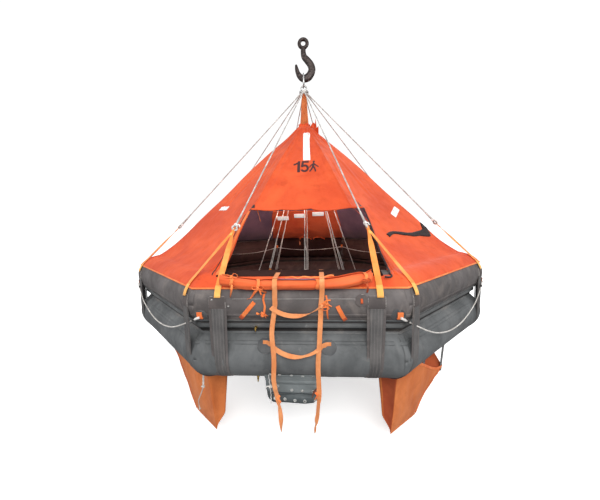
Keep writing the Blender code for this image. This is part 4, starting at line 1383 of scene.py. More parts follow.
def tent_point(theta, radius, z, sag, soft=0.004):
    """A point of the cloth at that bearing (degrees) on the ridge row given."""
    k = int(round((theta + 90.0) / 45.0)) % SIDES
    rel = (theta + 90.0 - 45.0 * round((theta + 90.0) / 45.0))
    s = math.tan(math.radians(rel)) / math.tan(HALF)
    a = radius * math.cos(HALF) * (1 - sag * (1 - s * s))
    w = (1 - abs(s)) * a * math.tan(HALF)
    a -= soft * math.exp(-(w / 0.024) ** 2)
    return k, a, a * math.tan(math.radians(rel)), s


FOLDS = [(0, -0.06, 1.90, -0.33, 1.18, 0.0046, 0.016), (0, 0.00, 1.50, -0.03, 1.19, 0.0026, 0.020),
         (0, 0.06, 1.88, 0.22, 1.20, 0.0040, 0.018), (0, 0.10, 1.98, 0.28, 1.45, 0.0044, 0.014),
         (0, -0.05, 2.00, -0.22, 1.50, 0.0044, 0.013), (0, 0.14, 1.66, 0.34, 1.25, 0.0030, 0.018),
         (0, -0.12, 1.45, -0.13, 1.22, 0.0022, 0.016), (1, -0.10, 1.75, -0.30, 1.20, 0.0040, 0.018),
         (1, 0.02, 1.80, 0.05, 1.25, 0.0028, 0.020), (7, 0.10, 1.75, 0.26, 1.10, 0.0040, 0.018),
         (7, -0.06, 1.70, -0.20, 1.10, 0.0034, 0.020), (1, 0.30, 0.98, -0.10, 0.86, 0.0030, 0.020),
         (7, 0.30, 0.95, -0.05, 0.86, 0.0030, 0.020)]
rng = np.random.default_rng(21)
for kk in (2, 3, 4, 5, 6):
    for _ in range(6):
        u0 = rng.uniform(-0.08, 0.08)
        sl = rng.uniform(-0.30, 0.30)
        FOLDS.append((kk, u0, rng.uniform(1.75, 2.0), u0 + sl, rng.uniform(1.1, 1.45),
                      rng.uniform(0.0026, 0.0046), rng.uniform(0.013, 0.020)))
    for _ in range(2):
        u0 = rng.uniform(-0.4, 0.4)
        FOLDS.append((kk, u0, rng.uniform(0.90, 1.0), u0 + rng.uniform(-0.3, 0.3), rng.uniform(0.80, 0.90),
                      rng.uniform(0.002, 0.004), rng.uniform(0.016, 0.024)))


def build_canopy():
    R = len(ROWS)
    P = np.zeros((R, COLS, 3))
    K = np.zeros((R, COLS), int)
    U = np.zeros((R, COLS))
    TH = np.zeros((R, COLS))
    for i, (radius, z, sag) in enumerate(ROWS):
        soft = 0.001 if i < 13 else 0.004
        th = base_angles(z)
        TH[i] = th
        for j in range(COLS):
            k, a, u, s = tent_point(th[j], radius, z, sag, soft)
            P[i, j] = tuple(on_face(k, a, u, z))
            K[i, j], U[i, j] = k, u
    # soft scallops of the hem above each doorway
    for turn in (0.0, 180.0):
        jl = int(round((C_L + turn + 180) / STEP)) % COLS
        jr = int(round((C_R + turn + 180) / STEP)) % COLS
        cols = [(jl + q) % COLS for q in range((jr - jl) % COLS + 1)]
        for q, j in enumerate(cols):
            f = q / (len(cols) - 1)
            dip = 0.017 * math.sin(math.pi * f) * (abs(math.sin(3.3 * math.pi * f + 0.5 + turn)) ** 0.7) \
                + 0.009 * math.sin(11 * f + turn) * math.sin(math.pi * f)
            for up in range(0, 7):
                w = (1 - up / 7) ** 1.5
                P[I_TOP + up, j, 2] -= dip * w
                rad = P[I_TOP + up, j, :2] / np.linalg.norm(P[I_TOP + up, j, :2])
                P[I_TOP + up, j, :2] += rad * (dip * 0.7 + 0.006 * math.sin(26 * f + 2) * w) * w
    dth = np.roll(P, -1, 1) - np.roll(P, 1, 1)
    dz = np.gradient(P, axis=0)
    N = np.cross(dth, dz)
    N /= np.linalg.norm(N, axis=2, keepdims=True) + 1e-12
    rad = P * np.array([1, 1, 0])
    flip = np.sign((N * rad).sum(2))
    N *= np.where(flip == 0, 1, flip)[..., None]
    Z = P[..., 2]
    D = 0.0034 * noise_field(P.reshape(-1, 3), 2.1, 3.0).reshape(R, COLS) \
        + 0.0012 * noise_field(P.reshape(-1, 3), 6.5, 9.0).reshape(R, COLS)
    pl = smoothstep(Z, 1.66, 2.05)
    D += pl * 0.0044 * np.sin(np.radians(TH) * 19 + 1.2 * np.sin(np.radians(TH) * 3))
    D += pl * 0.0022 * np.sin(np.radians(TH) * 33 + 2.0)
    hem = np.exp(-((Z - ROWS[0][1]) / 0.020) ** 2)
    D += hem * 0.0009 * np.sin(np.radians(TH) * 150 + 4 * np.sin(np.radians(TH) * 7))
    for (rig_, u0, z0, u1, z1, depth, half) in FOLDS:
        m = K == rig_
        dist, f = seg_dist(U[m], Z[m], u0, z0, u1, z1)
        fade = np.sqrt(np.clip(np.sin(np.pi * (0.04 + 0.92 * f)), 0, 1))
        D[m] += fade * depth * (np.exp(-(dist / half) ** 2) - 0.75 * np.exp(-((dist - 1.9 * half) / (0.9 * half)) ** 2))
    body = np.ones(R)
    body[:13] = 0.22
    D *= body[:, None]
    D = np.where(D < 0, np.where((np.arange(R) < 13)[:, None], np.maximum(D, -0.0006), D), D)
    P = P + N * D[..., None]
    keep = np.ones((R - 1, COLS), bool)
    for turn in (0.0, 180.0):
        jl = int(round((C_L + turn + 180) / STEP)) % COLS
        jr = int(round((C_R + turn + 180) / STEP)) % COLS
        j = jl
        while j != jr:
            keep[I_SILL:I_TOP, j] = False
            j = (j + 1) % COLS
    lv = np.concatenate([[0], np.cumsum(np.linalg.norm(np.diff(P, axis=0), axis=2).mean(1))])
    uv = np.zeros((R, COLS + 1, 2))
    for i in range(R):
        rr = ROWS[i][0]
        uv[i, :, 0] = np.radians(np.append(TH[i], TH[i, 0] + 360.0)) * rr
        uv[i, :, 1] = lv[i]
    ob = grid("canopy_sheet", P, [M["canopy"], M["lining"]], uv=uv, wrap=True, keep=keep, slot="canopy_cloth")
    used = np.zeros(len(ob.data.vertices), bool)
    for p in ob.data.polygons:
        for v in p.vertices:
            used[v] = True
    bm = bmesh.new()
    bm.from_mesh(ob.data)
    bm.verts.ensure_lookup_table()
    bmesh.ops.delete(bm, geom=[v for v in bm.verts if not v.link_faces], context="VERTS")
    bm.to_mesh(ob.data)
    bm.free()
    solidify(ob, 0.0016, -1.0, inner=1, rim=0)
    return ob, P, keep


canopy, CP, CK = build_canopy()
canopy_area = sum(p.area for p in canopy.data.polygons)
bv_verts, bv_faces = [Vector(p) for p in CP.reshape(-1, 3)], []
for i in range(CK.shape[0]):
    for j in range(COLS):
        if CK[i, j]:
            bv_faces.append((i * COLS + j, i * COLS + (j + 1) % COLS, (i + 1) * COLS + (j + 1) % COLS, (i + 1) * COLS + j))
CANOPY = BVHTree.FromPolygons(bv_verts, bv_faces)
# the same cloth without its doorways, for what lies in them
full_faces = [(i * COLS + j, i * COLS + (j + 1) % COLS, (i + 1) * COLS + (j + 1) % COLS, (i + 1) * COLS + j)
              for i in range(len(ROWS) - 1) for j in range(COLS)]
WHOLE = BVHTree.FromPolygons(bv_verts, full_faces)


def hug(p, lift=0.001, tree=None):
    """The nearest place on the cloth, lifted outward, and the outward normal there."""
    loc, nn, _, _ = (tree or CANOPY).find_nearest(p)
    if nn.dot(V(loc.x, loc.y, 0.35)) < 0:
        nn = -nn
    return loc + nn * lift, nn


def from_side(k, u, z, lift=0.001, tree=None):
    """Where a level line from outside meets the cloth of face k."""
    n, t = face_axes(k)
    o = on_face(k, 2.4, u, z)
    loc, nn, _, _ = (tree or WHOLE).ray_cast(o, -n)
    if nn is None:
        return None
    if nn.dot(n) < 0:
        nn = -nn
    return loc + nn * lift


def at_bearing(theta, z, lift=0.001, tree=None):
    d = V(math.cos(math.radians(theta)), math.sin(math.radians(theta)), 0)
    loc, nn, _, _ = (tree or WHOLE).ray_cast(d * 2.6 + V(0, 0, z), -d)
    if nn is None:
        return None
    if nn.dot(d) < 0:
        nn = -nn
    return loc + nn * lift


def canopy_strip(name, pts, width, mat, lift=0.0012, thick=0.0010, cols=5, tree=None, slot="canopy_cloth", ripple=0.0):
    """A tape lying on the cloth along these points."""
    n = len(pts)
    W = np.broadcast_to(np.asarray(width, float), (n,)) if np.ndim(width) else np.full(n, float(width))
    run = np.concatenate([[0], np.cumsum([(b - a).length for a, b in zip(pts, pts[1:])])])
    rows, uv = [], []
    for i in range(n):
        d = (pts[min(i + 1, n - 1)] - pts[max(i - 1, 0)]).normalized()
        _, nn = hug(pts[i], 0, tree)
        side = nn.cross(d).normalized()
        row, ur = [], []
        for x in np.linspace(-W[i] / 2, W[i] / 2, cols):
            edge = lift * (0.35 if abs(abs(x) - W[i] / 2) < 1e-6 else 1.0) + ripple * math.sin(run[i] * 160 + x * 60)
            q, _ = hug(pts[i] + side * x, edge, tree)
            row.append(tuple(q))
            ur.append((x, run[i]))
        rows.append(row)
        uv.append(ur)
    ob = grid(name, rows, M[mat], uv=np.array(uv), slot=slot)
    return solidify(ob, thick, 0.0)


def canopy_frame(k, u, z):
    """A place on the cloth with its own level and uphill directions."""
    c = from_side(k, u, z, 0.0)
    _, t = face_axes(k)
    _, nn = hug(c, 0, WHOLE)
    # average normal over a hand's width
    acc = Vector(nn)
    for du, dz in ((0.06, 0), (-0.06, 0), (0, 0.05), (0, -0.05)):
        q = from_side(k, u + du, z + dz, 0.0)
        if q is not None:
            acc += hug(q, 0, WHOLE)[1]
    acc.normalize()
    x = (t - acc * t.dot(acc)).normalized()
    return c, x, acc.cross(x), acc


def decal(name, k, u, z, outlines, mat, turn=0.0, lift=0.0012, thick=0.0006, fine=0.019, tree=None):
    """Flat shapes (outlines in metres: level, uphill) laid on the cloth round (u, z)."""
    c, X, Y, N = canopy_frame(k, u, z)
    ct, st = math.cos(turn), math.sin(turn)
    bm = bmesh.new()
    for pts in outlines:
        vs = [bm.verts.new((x * ct - y * st, x * st + y * ct, 0.0)) for x, y in pts]
        bm.faces.new(vs).normal_update()
    bmesh.ops.triangulate(bm, faces=bm.faces[:])
    for _ in range(6):
        long = [e for e in bm.edges if e.calc_length() > fine]
        if not long:
            break
        bmesh.ops.subdivide_edges(bm, edges=long, cuts=1)
        bmesh.ops.triangulate(bm, faces=[f for f in bm.faces if len(f.verts) > 3])
    layer = bm.loops.layers.uv.new("UVMap")
    for f in bm.faces:
        for l in f.loops:
            l[layer].uv = (l.vert.co.x, l.vert.co.y)
    for v in bm.verts:
        q = c + X * v.co.x + Y * v.co.y
        h, nn = hug(q, lift, tree or WHOLE)
        v.co = h + DROP
    bmesh.ops.recalc_face_normals(bm, faces=bm.faces)
    me = bpy.data.meshes.new(name)
    bm.to_mesh(me)
    bm.free()
    me.materials.append(M[mat])
    ob = bpy.data.objects.new(name, me)
    scene.collection.objects.link(ob)
    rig.ride(ob, "root")
    made[name] = ob
    solidify(ob, thick, 0.0)
    return ob


def rounded(w, h, r=0.012, seg=5, bottom=True):
    pts = []
    for cx, cy, a0 in ((w / 2 - r, h / 2 - r, 0), (-w / 2 + r, h / 2 - r, 90), (-w / 2 + r, -h / 2 + r, 180),
                       (w / 2 - r, -h / 2 + r, 270)):
        for i in range(seg + 1):
            g = math.radians(a0 + 90 * i / seg)
            pts.append((cx + r * math.cos(g), cy + r * math.sin(g)))
    return pts


def capsule(a, b, w, seg=6):
    ax, ay = a
    bx, by = b
    g = math.atan2(by - ay, bx - ax)
    pts = []
    for i in range(seg + 1):
        h = g + math.pi / 2 + math.pi * i / seg
        pts.append((ax + w / 2 * math.cos(h), ay + w / 2 * math.sin(h)))
    for i in range(seg + 1):
        h = g - math.pi / 2 + math.pi * i / seg
        pts.append((bx + w / 2 * math.cos(h), by + w / 2 * math.sin(h)))
    return pts


def digit_one():
    return [[(0.30, 0), (0.50, 0), (0.50, 1.0), (0.35, 1.0), (0.30, 0.90), (0.18, 0.80), (0.02, 0.745), (0.02, 0.60),
             (0.17, 0.645), (0.30, 0.72)]]


def digit_five():
    pts = [(0.10, 1.0), (0.66, 1.0), (0.66, 0.83), (0.27, 0.83), (0.245, 0.66)]
    for g in np.linspace(103, -158, 24):
        pts.append((0.34 + 0.345 * math.cos(math.radians(g)), 0.335 + 0.340 * math.sin(math.radians(g))))
    for g in np.linspace(-160, 140, 20):
        pts.append((0.335 + 0.165 * math.cos(math.radians(g)), 0.325 + 0.170 * math.sin(math.radians(g))))
    pts.append((0.045, 0.45))
    return [pts[::-1]]


def walker():
    head = [(0.43 + 0.095 * math.cos(math.radians(g)), 0.89 + 0.095 * math.sin(math.radians(g))) for g in range(0, 360, 24)]
    return [head, capsule((0.41, 0.70), (0.37, 0.48), 0.21), capsule((0.40, 0.46), (0.52, 0.28), 0.145),
            capsule((0.52, 0.28), (0.58, 0.06), 0.125), capsule((0.34, 0.46), (0.25, 0.26), 0.145),
            capsule((0.25, 0.26), (0.10, 0.06), 0.125), capsule((0.44, 0.71), (0.62, 0.54), 0.10),
            capsule((0.62, 0.54), (0.80, 0.40), 0.095), capsule((0.38, 0.71), (0.18, 0.58), 0.10),
            capsule((0.18, 0.58), (0.08, 0.40), 0.095)]


def place_shape(outlines, x, y, s, sx=1.0):
    return [[(x + px * s * sx, y + py * s) for px, py in o] for o in outlines]


on_canopy = []
H = 0.166
for k in (0, 4):
    marks = place_shape(digit_one(), -0.122, 0.0, H, 0.80) + place_shape(digit_five(), -0.0530, 0.0, H, 0.72) \
        + place_shape(walker(), 0.028, 0.0, H, 0.66)
    for q, o in enumerate(marks):
        on_canopy.append(decal("capacity_mark_%s_%02d" % (PANELS[k], q), k, 0.030, 1.515, [o], "mark",
                               lift=0.0011 + 0.00004 * q))
    w, h = 0.070, 0.520
    strip_shape = [(w / 2, -h / 2), (w / 2, h / 2 - w / 2)] + \
        [(w / 2 * math.cos(math.radians(g)), h / 2 - w / 2 + w / 2 * math.sin(math.radians(g))) for g in range(15, 180, 15)] + \
        [(-w / 2, h / 2 - w / 2), (-w / 2, -h / 2)]
    on_canopy.append(decal("reflective_strip_" + PANELS[k], k, 0.031, 1.826, [strip_shape], "retro", turn=0.02, lift=0.0016))
for k, u, z, turn, pw, ph in ((1, 0.200, 1.130, 0.50, 0.098, 0.062), (7, -0.154, 1.195, 0.03, 0.072, 0.054),
                              (2, 0.10, 1.16, -0.04, 0.110, 0.062), (3, -0.14, 1.17, 0.05, 0.110, 0.062),
                              (5, 0.16, 1.16, -0.03, 0.110, 0.062), (6, -0.10, 1.17, 0.04, 0.110, 0.062)):
    for q, dx in enumerate((-0.53 * pw, 0.53 * pw)):
        ct, st = math.cos(turn), math.sin(turn)
        on_canopy.append(decal("reflective_patch_%s_%d" % (PANELS[k], q), k, u, z,
                               [[(x + dx, y) for x, y in rounded(pw, ph, 0.006)]], "retro", turn=turn, lift=0.0016))

# hems, hip seams and the tape at the foot of the cloth
ring_profile("canopy_foot_tape", arc(UPPER_Z, 32.2, 35.6, 0.0074, 4), M["tape"], thickness=0.0014, per=36, ripple=0.0004,
             slot="canopy_cloth")
on_canopy.append(made["canopy_foot_tape"])
for c in range(SIDES):
    th = -90.0 + (c - 0.5) * 45.0
    pts = [at_bearing(th, z, 0.0) for z in np.linspace(0.700, 2.055, 70)]
    pts = [p for p in pts if p is not None]
    on_canopy.append(canopy_strip("hip_seam_" + CORNERS[c], pts, 0.024, "canopy", 0.0013, 0.0009))

# trims of the doorways
for turn, word in ((0.0, "front"), (180.0, "rear")):
    zs = np.linspace(0.722, 1.160, 40)
    left = [at_bearing(door_angle(z, "L") + turn, z, 0.0) for z in zs]
    right = [at_bearing(door_angle(z, "R") + turn, z, 0.0) for z in zs]
    top_th = np.linspace(door_angle(DOOR_TOP, "L"), door_angle(DOOR_TOP, "R"), 70)
    on_canopy.append(canopy_strip("door_edge_tape_l_" + word, [at_bearing(door_angle(z, "L") + turn - 0.85, z, 0.0) for z in zs],
                                  0.026, "tape", 0.0020, 0.0016))
    zip_pts = [at_bearing(door_angle(z, "L") + turn - 2.1, z, 0.0) for z in zs[:-3]]
    on_canopy.append(canopy_strip("door_zip_l_" + word, zip_pts, 0.007, "piping", 0.0016, 0.0012))
    on_canopy.append(canopy_strip("door_edge_tape_r_" + word, [at_bearing(door_angle(z, "R") + turn + 1.3, z, 0.0) for z in zs],
                                  0.022, "canopy", 0.0018, 0.0012))
    pip = [hug(p, 0.004)[0] for p in right]
    foot = pip[0]
    rad = V(foot.x, foot.y, 0).normalized()
    tan = V(-rad.y, rad.x, 0)
    pip = [foot + rad * 0.030 - tan * 0.055 + V(0, 0, -0.012), foot + rad * 0.030 - tan * 0.020 + V(0, 0, -0.016),
           foot + rad * 0.018 + tan * 0.004 + V(0, 0, -0.012)] + pip
    on_canopy.append(round_tube("door_piping_" + word, smooth_path(pip, step=0.010), 0.0062, M["piping"], 10,
                                slot="canopy_cloth"))
    # hem rolled over above the doorway
    if word == "front":
        j0 = int(round((C_L + 180) / STEP))
        j1 = int(round((C_R + 180) / STEP))
        edge = [Vector(CP[I_TOP, j]) for j in range(j0, j1 + 1)]
        edge = even(edge, count=110)
        rr = [0.0075 + 0.0030 * math.sin(i * 0.55) * math.sin(i * 0.13 + 1) for i in range(110)]
        hem = [p + V(0, 0, 0.004) + V(p.x, p.y, 0).normalized() * 0.002 for p in edge]
        on_canopy.append(round_tube("door_hem_front", hem, rr, M["canopy"], 12, slot="canopy_cloth",
                                    squash=[0.72] * 110))

# black corners of both doorways and a hanging tie
for word, k, turn in (("front", 0, 0.0), ("rear", 4, 180.0)):
    for side, th in (("l", -112.2), ("r", -60.4)):
        p = at_bearing(th + turn, DOOR_TOP + 0.006, 0.0)
        q, nn = hug(p, 0.003)
        kk = k if side == "l" else (k + 1) % SIDES
        n, t = face_axes(kk)
        u0, z0 = q.dot(t), q.z
        sgn = 1 if side == "l" else -1
        on_canopy.append(decal("door_corner_%s_%s" % (side, word), kk, u0, z0,
                               [[(-0.030, -0.022), (0.026, -0.024), (0.018 * sgn, 0.052), (0.000, 0.056)]], "piping", lift=0.0026))
tie = [V(-0.372, -0.985, 1.170), V(-0.368, -0.990, 1.140), V(-0.358, -0.996, 1.110), V(-0.352, -1.004, 1.085), V(-0.346, -1.000, 1.066)]
on_canopy.append(strap("door_tie_left", smooth_path(tie, 20), V(0.8, 0.5, 0.1), [0.010] * 12 + [0.011] * 8, M["tape"], 0.0016,
                       twist=np.linspace(0, 1.9, 20), cols=5))

# black strap thrown over the right front panel, and its mirror at the back
for k in (1, 5):
    mid = [(0.560, 1.000, 0.020), (0.540, 1.000, 0.040), (0.515, 0.995, 0.075), (0.488, 0.984, 0.078), (0.462, 0.966, 0.070),
           (0.448, 0.944, 0.076), (0.414, 0.925, 0.086), (0.345, 0.921, 0.064), (0.262, 0.922, 0.046), (0.172, 0.920, 0.038),
           (0.100, 0.926, 0.034), (0.030, 0.934, 0.034), (-0.050, 0.945, 0.027), (-0.120, 0.950, 0.024), (-0.180, 0.945, 0.028),
           (-0.240, 0.932, 0.030)]
    base = [from_side(k, u, z, 0.002) for u, z, _ in mid]
    pts = smooth_path(base, 70)
    run = np.concatenate([[0], np.cumsum([(q - p).length for p, q in zip(base, base[1:])])])
    width = 1.22 * np.interp(np.linspace(0, 1, 70), run / run[-1], [w for _, _, w in mid])
    on_canopy.append(canopy_strip("black_strap_" + PANELS[k], pts, width, "black_tape", 0.0045, 0.0026, cols=7, ripple=0.0008,
                                  slot="orange_webbing"))

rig.replaces(canopy, *["canopy_panel_" + w for w in PANELS])
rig.sheet(canopy, flat=(3.9, 3.9), held="stretched", rests_on=["upper_buoyancy_tube", "canopy_lift_strap"],
         area=round(canopy_area, 2), with_pieces=[o for o in on_canopy])


# sleeve round the lifting strap, gathered and ragged, with an ear on its right
def build_collar():
    rows, uv = [], []
    prof = [(0.116, 0.116, 2.060, 0.0), (0.110, 0.108, 2.078, 0.0), (0.096, 0.086, 2.094, 0.3), (0.080, 0.062, 2.108, 0.7),
            (0.067, 0.042, 2.120, 1.0), (0.0595, 0.029, 2.132, 1.2), (0.0600, 0.029, 2.142, 1.2), (0.066, 0.035, 2.150, 1.3)]
    for i, (rx, ry, z, pleat) in enumerate(prof):
        row, ur = [], []
        for j in range(96):
            g = 2 * math.pi * j / 96
            fold = 0.0036 * pleat * math.sin(13 * g + 0.7 * math.sin(2 * g)) + 0.0015 * pleat * math.sin(29 * g)
            rag = (0.007 * math.sin(5 * g + 1) + 0.005 * math.sin(17 * g)) * (1 if i >= 6 else 0)
            row.append(((rx + fold) * math.cos(g), (ry + fold) * math.sin(g), z + rag))
            ur.append((g * 0.09, z))
        ur.append((2 * math.pi * 0.09, z))
        rows.append(row)
        uv.append(ur)
    ob = grid("canopy_sleeve", rows, [M["canopy"], M["lining"]], uv=np.array(uv), wrap=True, slot="canopy_cloth")
    solidify(ob, 0.0016, 1.0, inner=0)
    rows = []
    for i in range(13):
        f = i / 12
        base = V(0.066, -0.034, 2.112).lerp(V(0.160, -0.040, 2.030), f)
        tip = V(0.104, -0.048, 2.146).lerp(V(0.150, -0.055, 2.120), f)
        hgt = 0.55 + 0.45 * math.sin(math.pi * min(1.0, f * 1.15)) + 0.16 * math.sin(f * 21) + (0.42 if 7 <= i <= 9 else 0.0)
        row = []
        for j in range(9):
            h = j / 8
            p = base.lerp(tip, h * hgt) + V(0.010 * h * math.sin(7 * f), -0.012 * math.sin(3.1 * h + 5 * f), 0.022 * h * h * hgt)
            row.append(tuple(p))
        rows.append(row)
    ear = grid("canopy_ear", rows, [M["canopy"], M["lining"]], slot="canopy_cloth")
    solidify(ear, 0.0014, 0.0)
    return ob, ear


sleeve, ear = build_collar()
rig.replaces(sleeve, "canopy_collar")
sleeve_area = 0.5 * sum(p.area for p in sleeve.data.polygons)
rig.sheet(sleeve, flat=(0.70, 0.11), held="gathered", rests_on=["canopy_lift_strap"], with_pieces=[ear])


# rear curtain: closed, laced inside the rear doorway
def build_curtain():
    rows, uv = [], []
    zs = [ROWS[i][1] for i in range(I_SILL, I_TOP + 1)]
    top, low = DOOR_TOP + 0.030, 0.712
    for i in range(34):
        z = low + (top - low) * i / 33
        row, ur = [], []
        l, r = door_angle(z, "L") - 1.6 + 180.0, door_angle(z, "R") + 1.6 + 180.0
        for j in range(60):
            f = j / 59
            th = l + (r - l) * f
            p = at_bearing(th, z, 0.0, WHOLE)
            rad = V(p.x, p.y, 0).normalized()
            sink = 0.006 + 0.0035 * math.sin(16 * f + 3 * math.sin(i * 0.25)) + 0.004 * math.sin(math.pi * f) * math.sin(math.pi * i / 33) \
                + 0.0030 * noise.noise(p * 7.0)
            row.append(tuple(p - rad * max(0.0035, sink)))
            ur.append(((f - 0.5) * 1.0, z))
        rows.append(row)
        uv.append(ur)
    ob = grid("rear_curtain_sheet", rows, [M["curtain"]], uv=np.array(uv), slot="canopy_cloth")
    solidify(ob, 0.0016, 0.0)
    return ob


curtain = build_curtain()
curtain_area = sum(p.area for p in curtain.data.polygons)
on_curtain = []
for q, (u, z) in enumerate(((0.460, 1.085), (0.133, 1.118), (-0.151, 1.141))):
    n, t = face_axes(4)
    c = from_side(4, min(u, 0.40), z, 0.0, WHOLE)
    shape = []
    for i in range(5):
        row = []
        for j in range(11):
            uu = min(u, 0.40) + (j / 10 - 0.5) * 0.175
            zz = z + (i / 4 - 0.5) * 0.060
            p = from_side(4, uu, zz, 0.0, WHOLE)
            row.append(tuple(p - n * 0.0165))
        shape.append(row)
    # the patches inside the curtain take the glowing tape, which is painted light
    ob = grid("curtain_patch_%d" % q, shape, M["retro_in"])
    solidify(ob, 0.0008, 0.0)
    on_curtain.append(ob)
# closing tapes of the curtain, seen from outside
for q, th in enumerate(np.linspace(-107.0, -65.5, 6)):
    pts = [at_bearing(th + 180.0 + 0.4 * math.sin(3 * z + q), z, 0.0) for z in np.linspace(1.150, 1.225, 8)]
    on_curtain.append(canopy_strip("curtain_tie_%d" % q, pts, 0.020, "tape", 0.0028, 0.0018))
mid = [at_bearing(89.0 + 0.6 * math.sin(5 * z), z, -0.002) for z in np.linspace(0.73, 1.16, 30)]
on_curtain.append(canopy_strip("curtain_zip_flap", mid, 0.036, "curtain", 0.0030, 0.0014, tree=WHOLE))
mid2 = [p + V(0, 0.006, 0.002) for p in mid]
on_curtain.append(canopy_strip("curtain_zip", mid2, 0.008, "piping", 0.0062, 0.0014, tree=WHOLE))
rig.replaces(curtain, "rear_curtain")
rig.sheet(curtain, flat=(1.24, 0.82), held="stretched", rests_on=["canopy_sheet"], area=round(curtain_area, 3),
         with_pieces=on_curtain)


# ================================================================ hook, link and shackle
def planar_loop(name, pts, axis, radius, mat, sides=14, slot=None, squash=1.0):
    """A closed bar along a flat loop of points; axis is the loop's own normal."""
    axis = Vector(axis).normalized()
    n = len(pts)
    rows, uv, run = [], [], 0.0
    for i in range(n + 1):
        p, a, b = pts[i % n], pts[(i - 1) % n], pts[(i + 1) % n]
        d = (b - a).normalized()
        s = d.cross(axis).normalized()
        r = radius[i % n] if isinstance(radius, (list, tuple)) else radius
        rows.append([tuple(p + s * (r * math.cos(2 * math.pi * j / sides))
                           + axis * (r * squash * math.sin(2 * math.pi * j / sides))) for j in range(sides)])
        uv.append([(j / sides * 2 * math.pi * 0.01, run) for j in range(sides + 1)])
        run += (b - p).length
    return grid(name, rows, M[mat], uv=np.array(uv), wrap=True, slot=slot)


def lathe(name, origin, axis, prof, mat, sides=32, slot=None):
    """A turned piece: prof is (radius, distance along the axis)."""
    d = Vector(axis).normalized()
    ref = V(0, 0, 1) if abs(d.z) < 0.9 else V(1, 0, 0)
    a = (ref - d * ref.dot(d)).normalized()
    b = d.cross(a)
    rows, uv, run = [], [], 0.0
    for i, (r, s) in enumerate(prof):
        if i:
            run += math.dist(prof[i], prof[i - 1])
        rows.append([tuple(origin + d * s + (a * math.cos(2 * math.pi * j / sides) + b * math.sin(2 * math.pi * j / sides))
                           * max(r, 0.0004)) for j in range(sides)])
        uv.append([(j / sides * 2 * math.pi * max(q[0] for q in prof), run) for j in range(sides + 1)])
    return grid(name, rows, M[mat], uv=np.array(uv), wrap=True, caps=True, slot=slot)


HOOK = [((-0.0831, 0.105), 0.0125), ((-0.0764, 0.065), 0.0205), ((-0.0618, 0.0168), 0.0255),
        ((-0.0348, -0.0215), 0.0330), ((0.0020, -0.0400), 0.0396), ((0.0500, -0.0262), 0.0435),
        ((0.0831, 0.0147), 0.0415), ((0.0933, 0.0567), 0.0390), ((0.0787, 0.1039), 0.0380),
        ((0.0440, 0.1490), 0.0365), ((0.0120, 0.1860), 0.0330), ((0.0, 0.230), 0.0280),
        ((0.0, 0.285), 0.0260)]


def build_hook():
    path = smooth_path([V(x, 0, z) for (x, z), _ in HOOK], 120)
    run_in = np.cumsum([0.0] + [math.dist(HOOK[i][0], HOOK[i + 1][0]) for i in range(len(HOOK) - 1)])
    thick = np.interp(np.linspace(0, run_in[-1], 120), run_in, [h for _, h in HOOK])
    base = V(0, 0, BOWL_Z - 0.0006)
    rows, uv = [], []
    Y = V(0, 1, 0)
    pts = [base + p for p in path]
    d0 = (pts[0] - pts[1]).normalized()
    tip = [(pts[0] + d0 * 0.0085, 0.30), (pts[0] + d0 * 0.0070, 0.62), (pts[0] + d0 * 0.0040, 0.87)]
    run = 0.0
    seq = [(p, thick[0] * f) for p, f in tip] + list(zip(pts, thick))
    for i, (p, h) in enumerate(seq):
        a, b = seq[max(i - 1, 0)][0], seq[min(i + 1, len(seq) - 1)][0]
        d = (b - a).normalized()
        s = d.cross(Y).normalized()
        row = []
        for j in range(36):
            g = 2 * math.pi * j / 36
            c, q = math.cos(g), math.sin(g)
            # a forged bar: flattened flanks, a faint parting line at the outer and inner edge
            x = math.copysign(abs(c) ** 0.86, c)
            y = math.copysign(abs(q) ** 0.80, q)
            ridge = 1 + 0.030 * math.exp(-((abs(q)) / 0.10) ** 2)
            flat = 1 - 0.10 * math.exp(-(c / 0.42) ** 2) * (h > 0.03)
            row.append(tuple(p + s * (h * x * ridge) + Y * (h * 0.66 * y * flat)))
        rows.append(row)
        uv.append([(j / 36 * 0.2, run) for j in range(37)])
        run += (b - p).length
    body = grid("hook_body", rows, M["hook"], uv=np.array(uv), wrap=True, caps=True)
    eye = []
    for i in range(48):
        g = 2 * math.pi * i / 48
        eye.append(V(0.044 * math.cos(g), 0, EYE_Z + 0.044 * math.sin(g)))
    eye_ob = planar_loop("hook_eye", eye, (0, 1, 0), 0.0195, "hook", 20)
    return join("lifting_hook_forging", [body, eye_ob], "forged_steel")


hook = build_hook()
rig.replaces(hook, "davit_hook")

link_top = BOWL_Z + 0.0004 + 0.009
bow_top = SHACKLE_Z + 0.066
link_bottom = bow_top - 0.009 - 0.009 - 0.0004
lw = 0.042
pts = []
for i in range(25):
    a = math.pi * i / 24
    pts.append(V(0, lw * math.cos(a), link_top - lw + lw * math.sin(a)))
for f in (0.2, 0.4, 0.6, 0.8):
    pts.append(V(0, -lw, link_top - lw + (link_bottom + lw - link_top + lw) * f))
for i in range(25):
    a = math.pi + math.pi * i / 24
    pts.append(V(0, lw * math.cos(a), link_bottom + lw + lw * math.sin(a)))
for f in (0.2, 0.4, 0.6, 0.8):
    pts.append(V(0, lw, link_bottom + lw + (link_top - lw - link_bottom - lw) * f))
radii = [0.009 * (1 + (0.16 if i == 26 else 0.07 if i in (25, 27) else 0.0)) for i in range(len(pts))]
link = planar_loop("galvanised_link", pts, (1, 0, 0), radii, "link", 18, "galvanised_steel")
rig.replaces(link, "lifting_link")

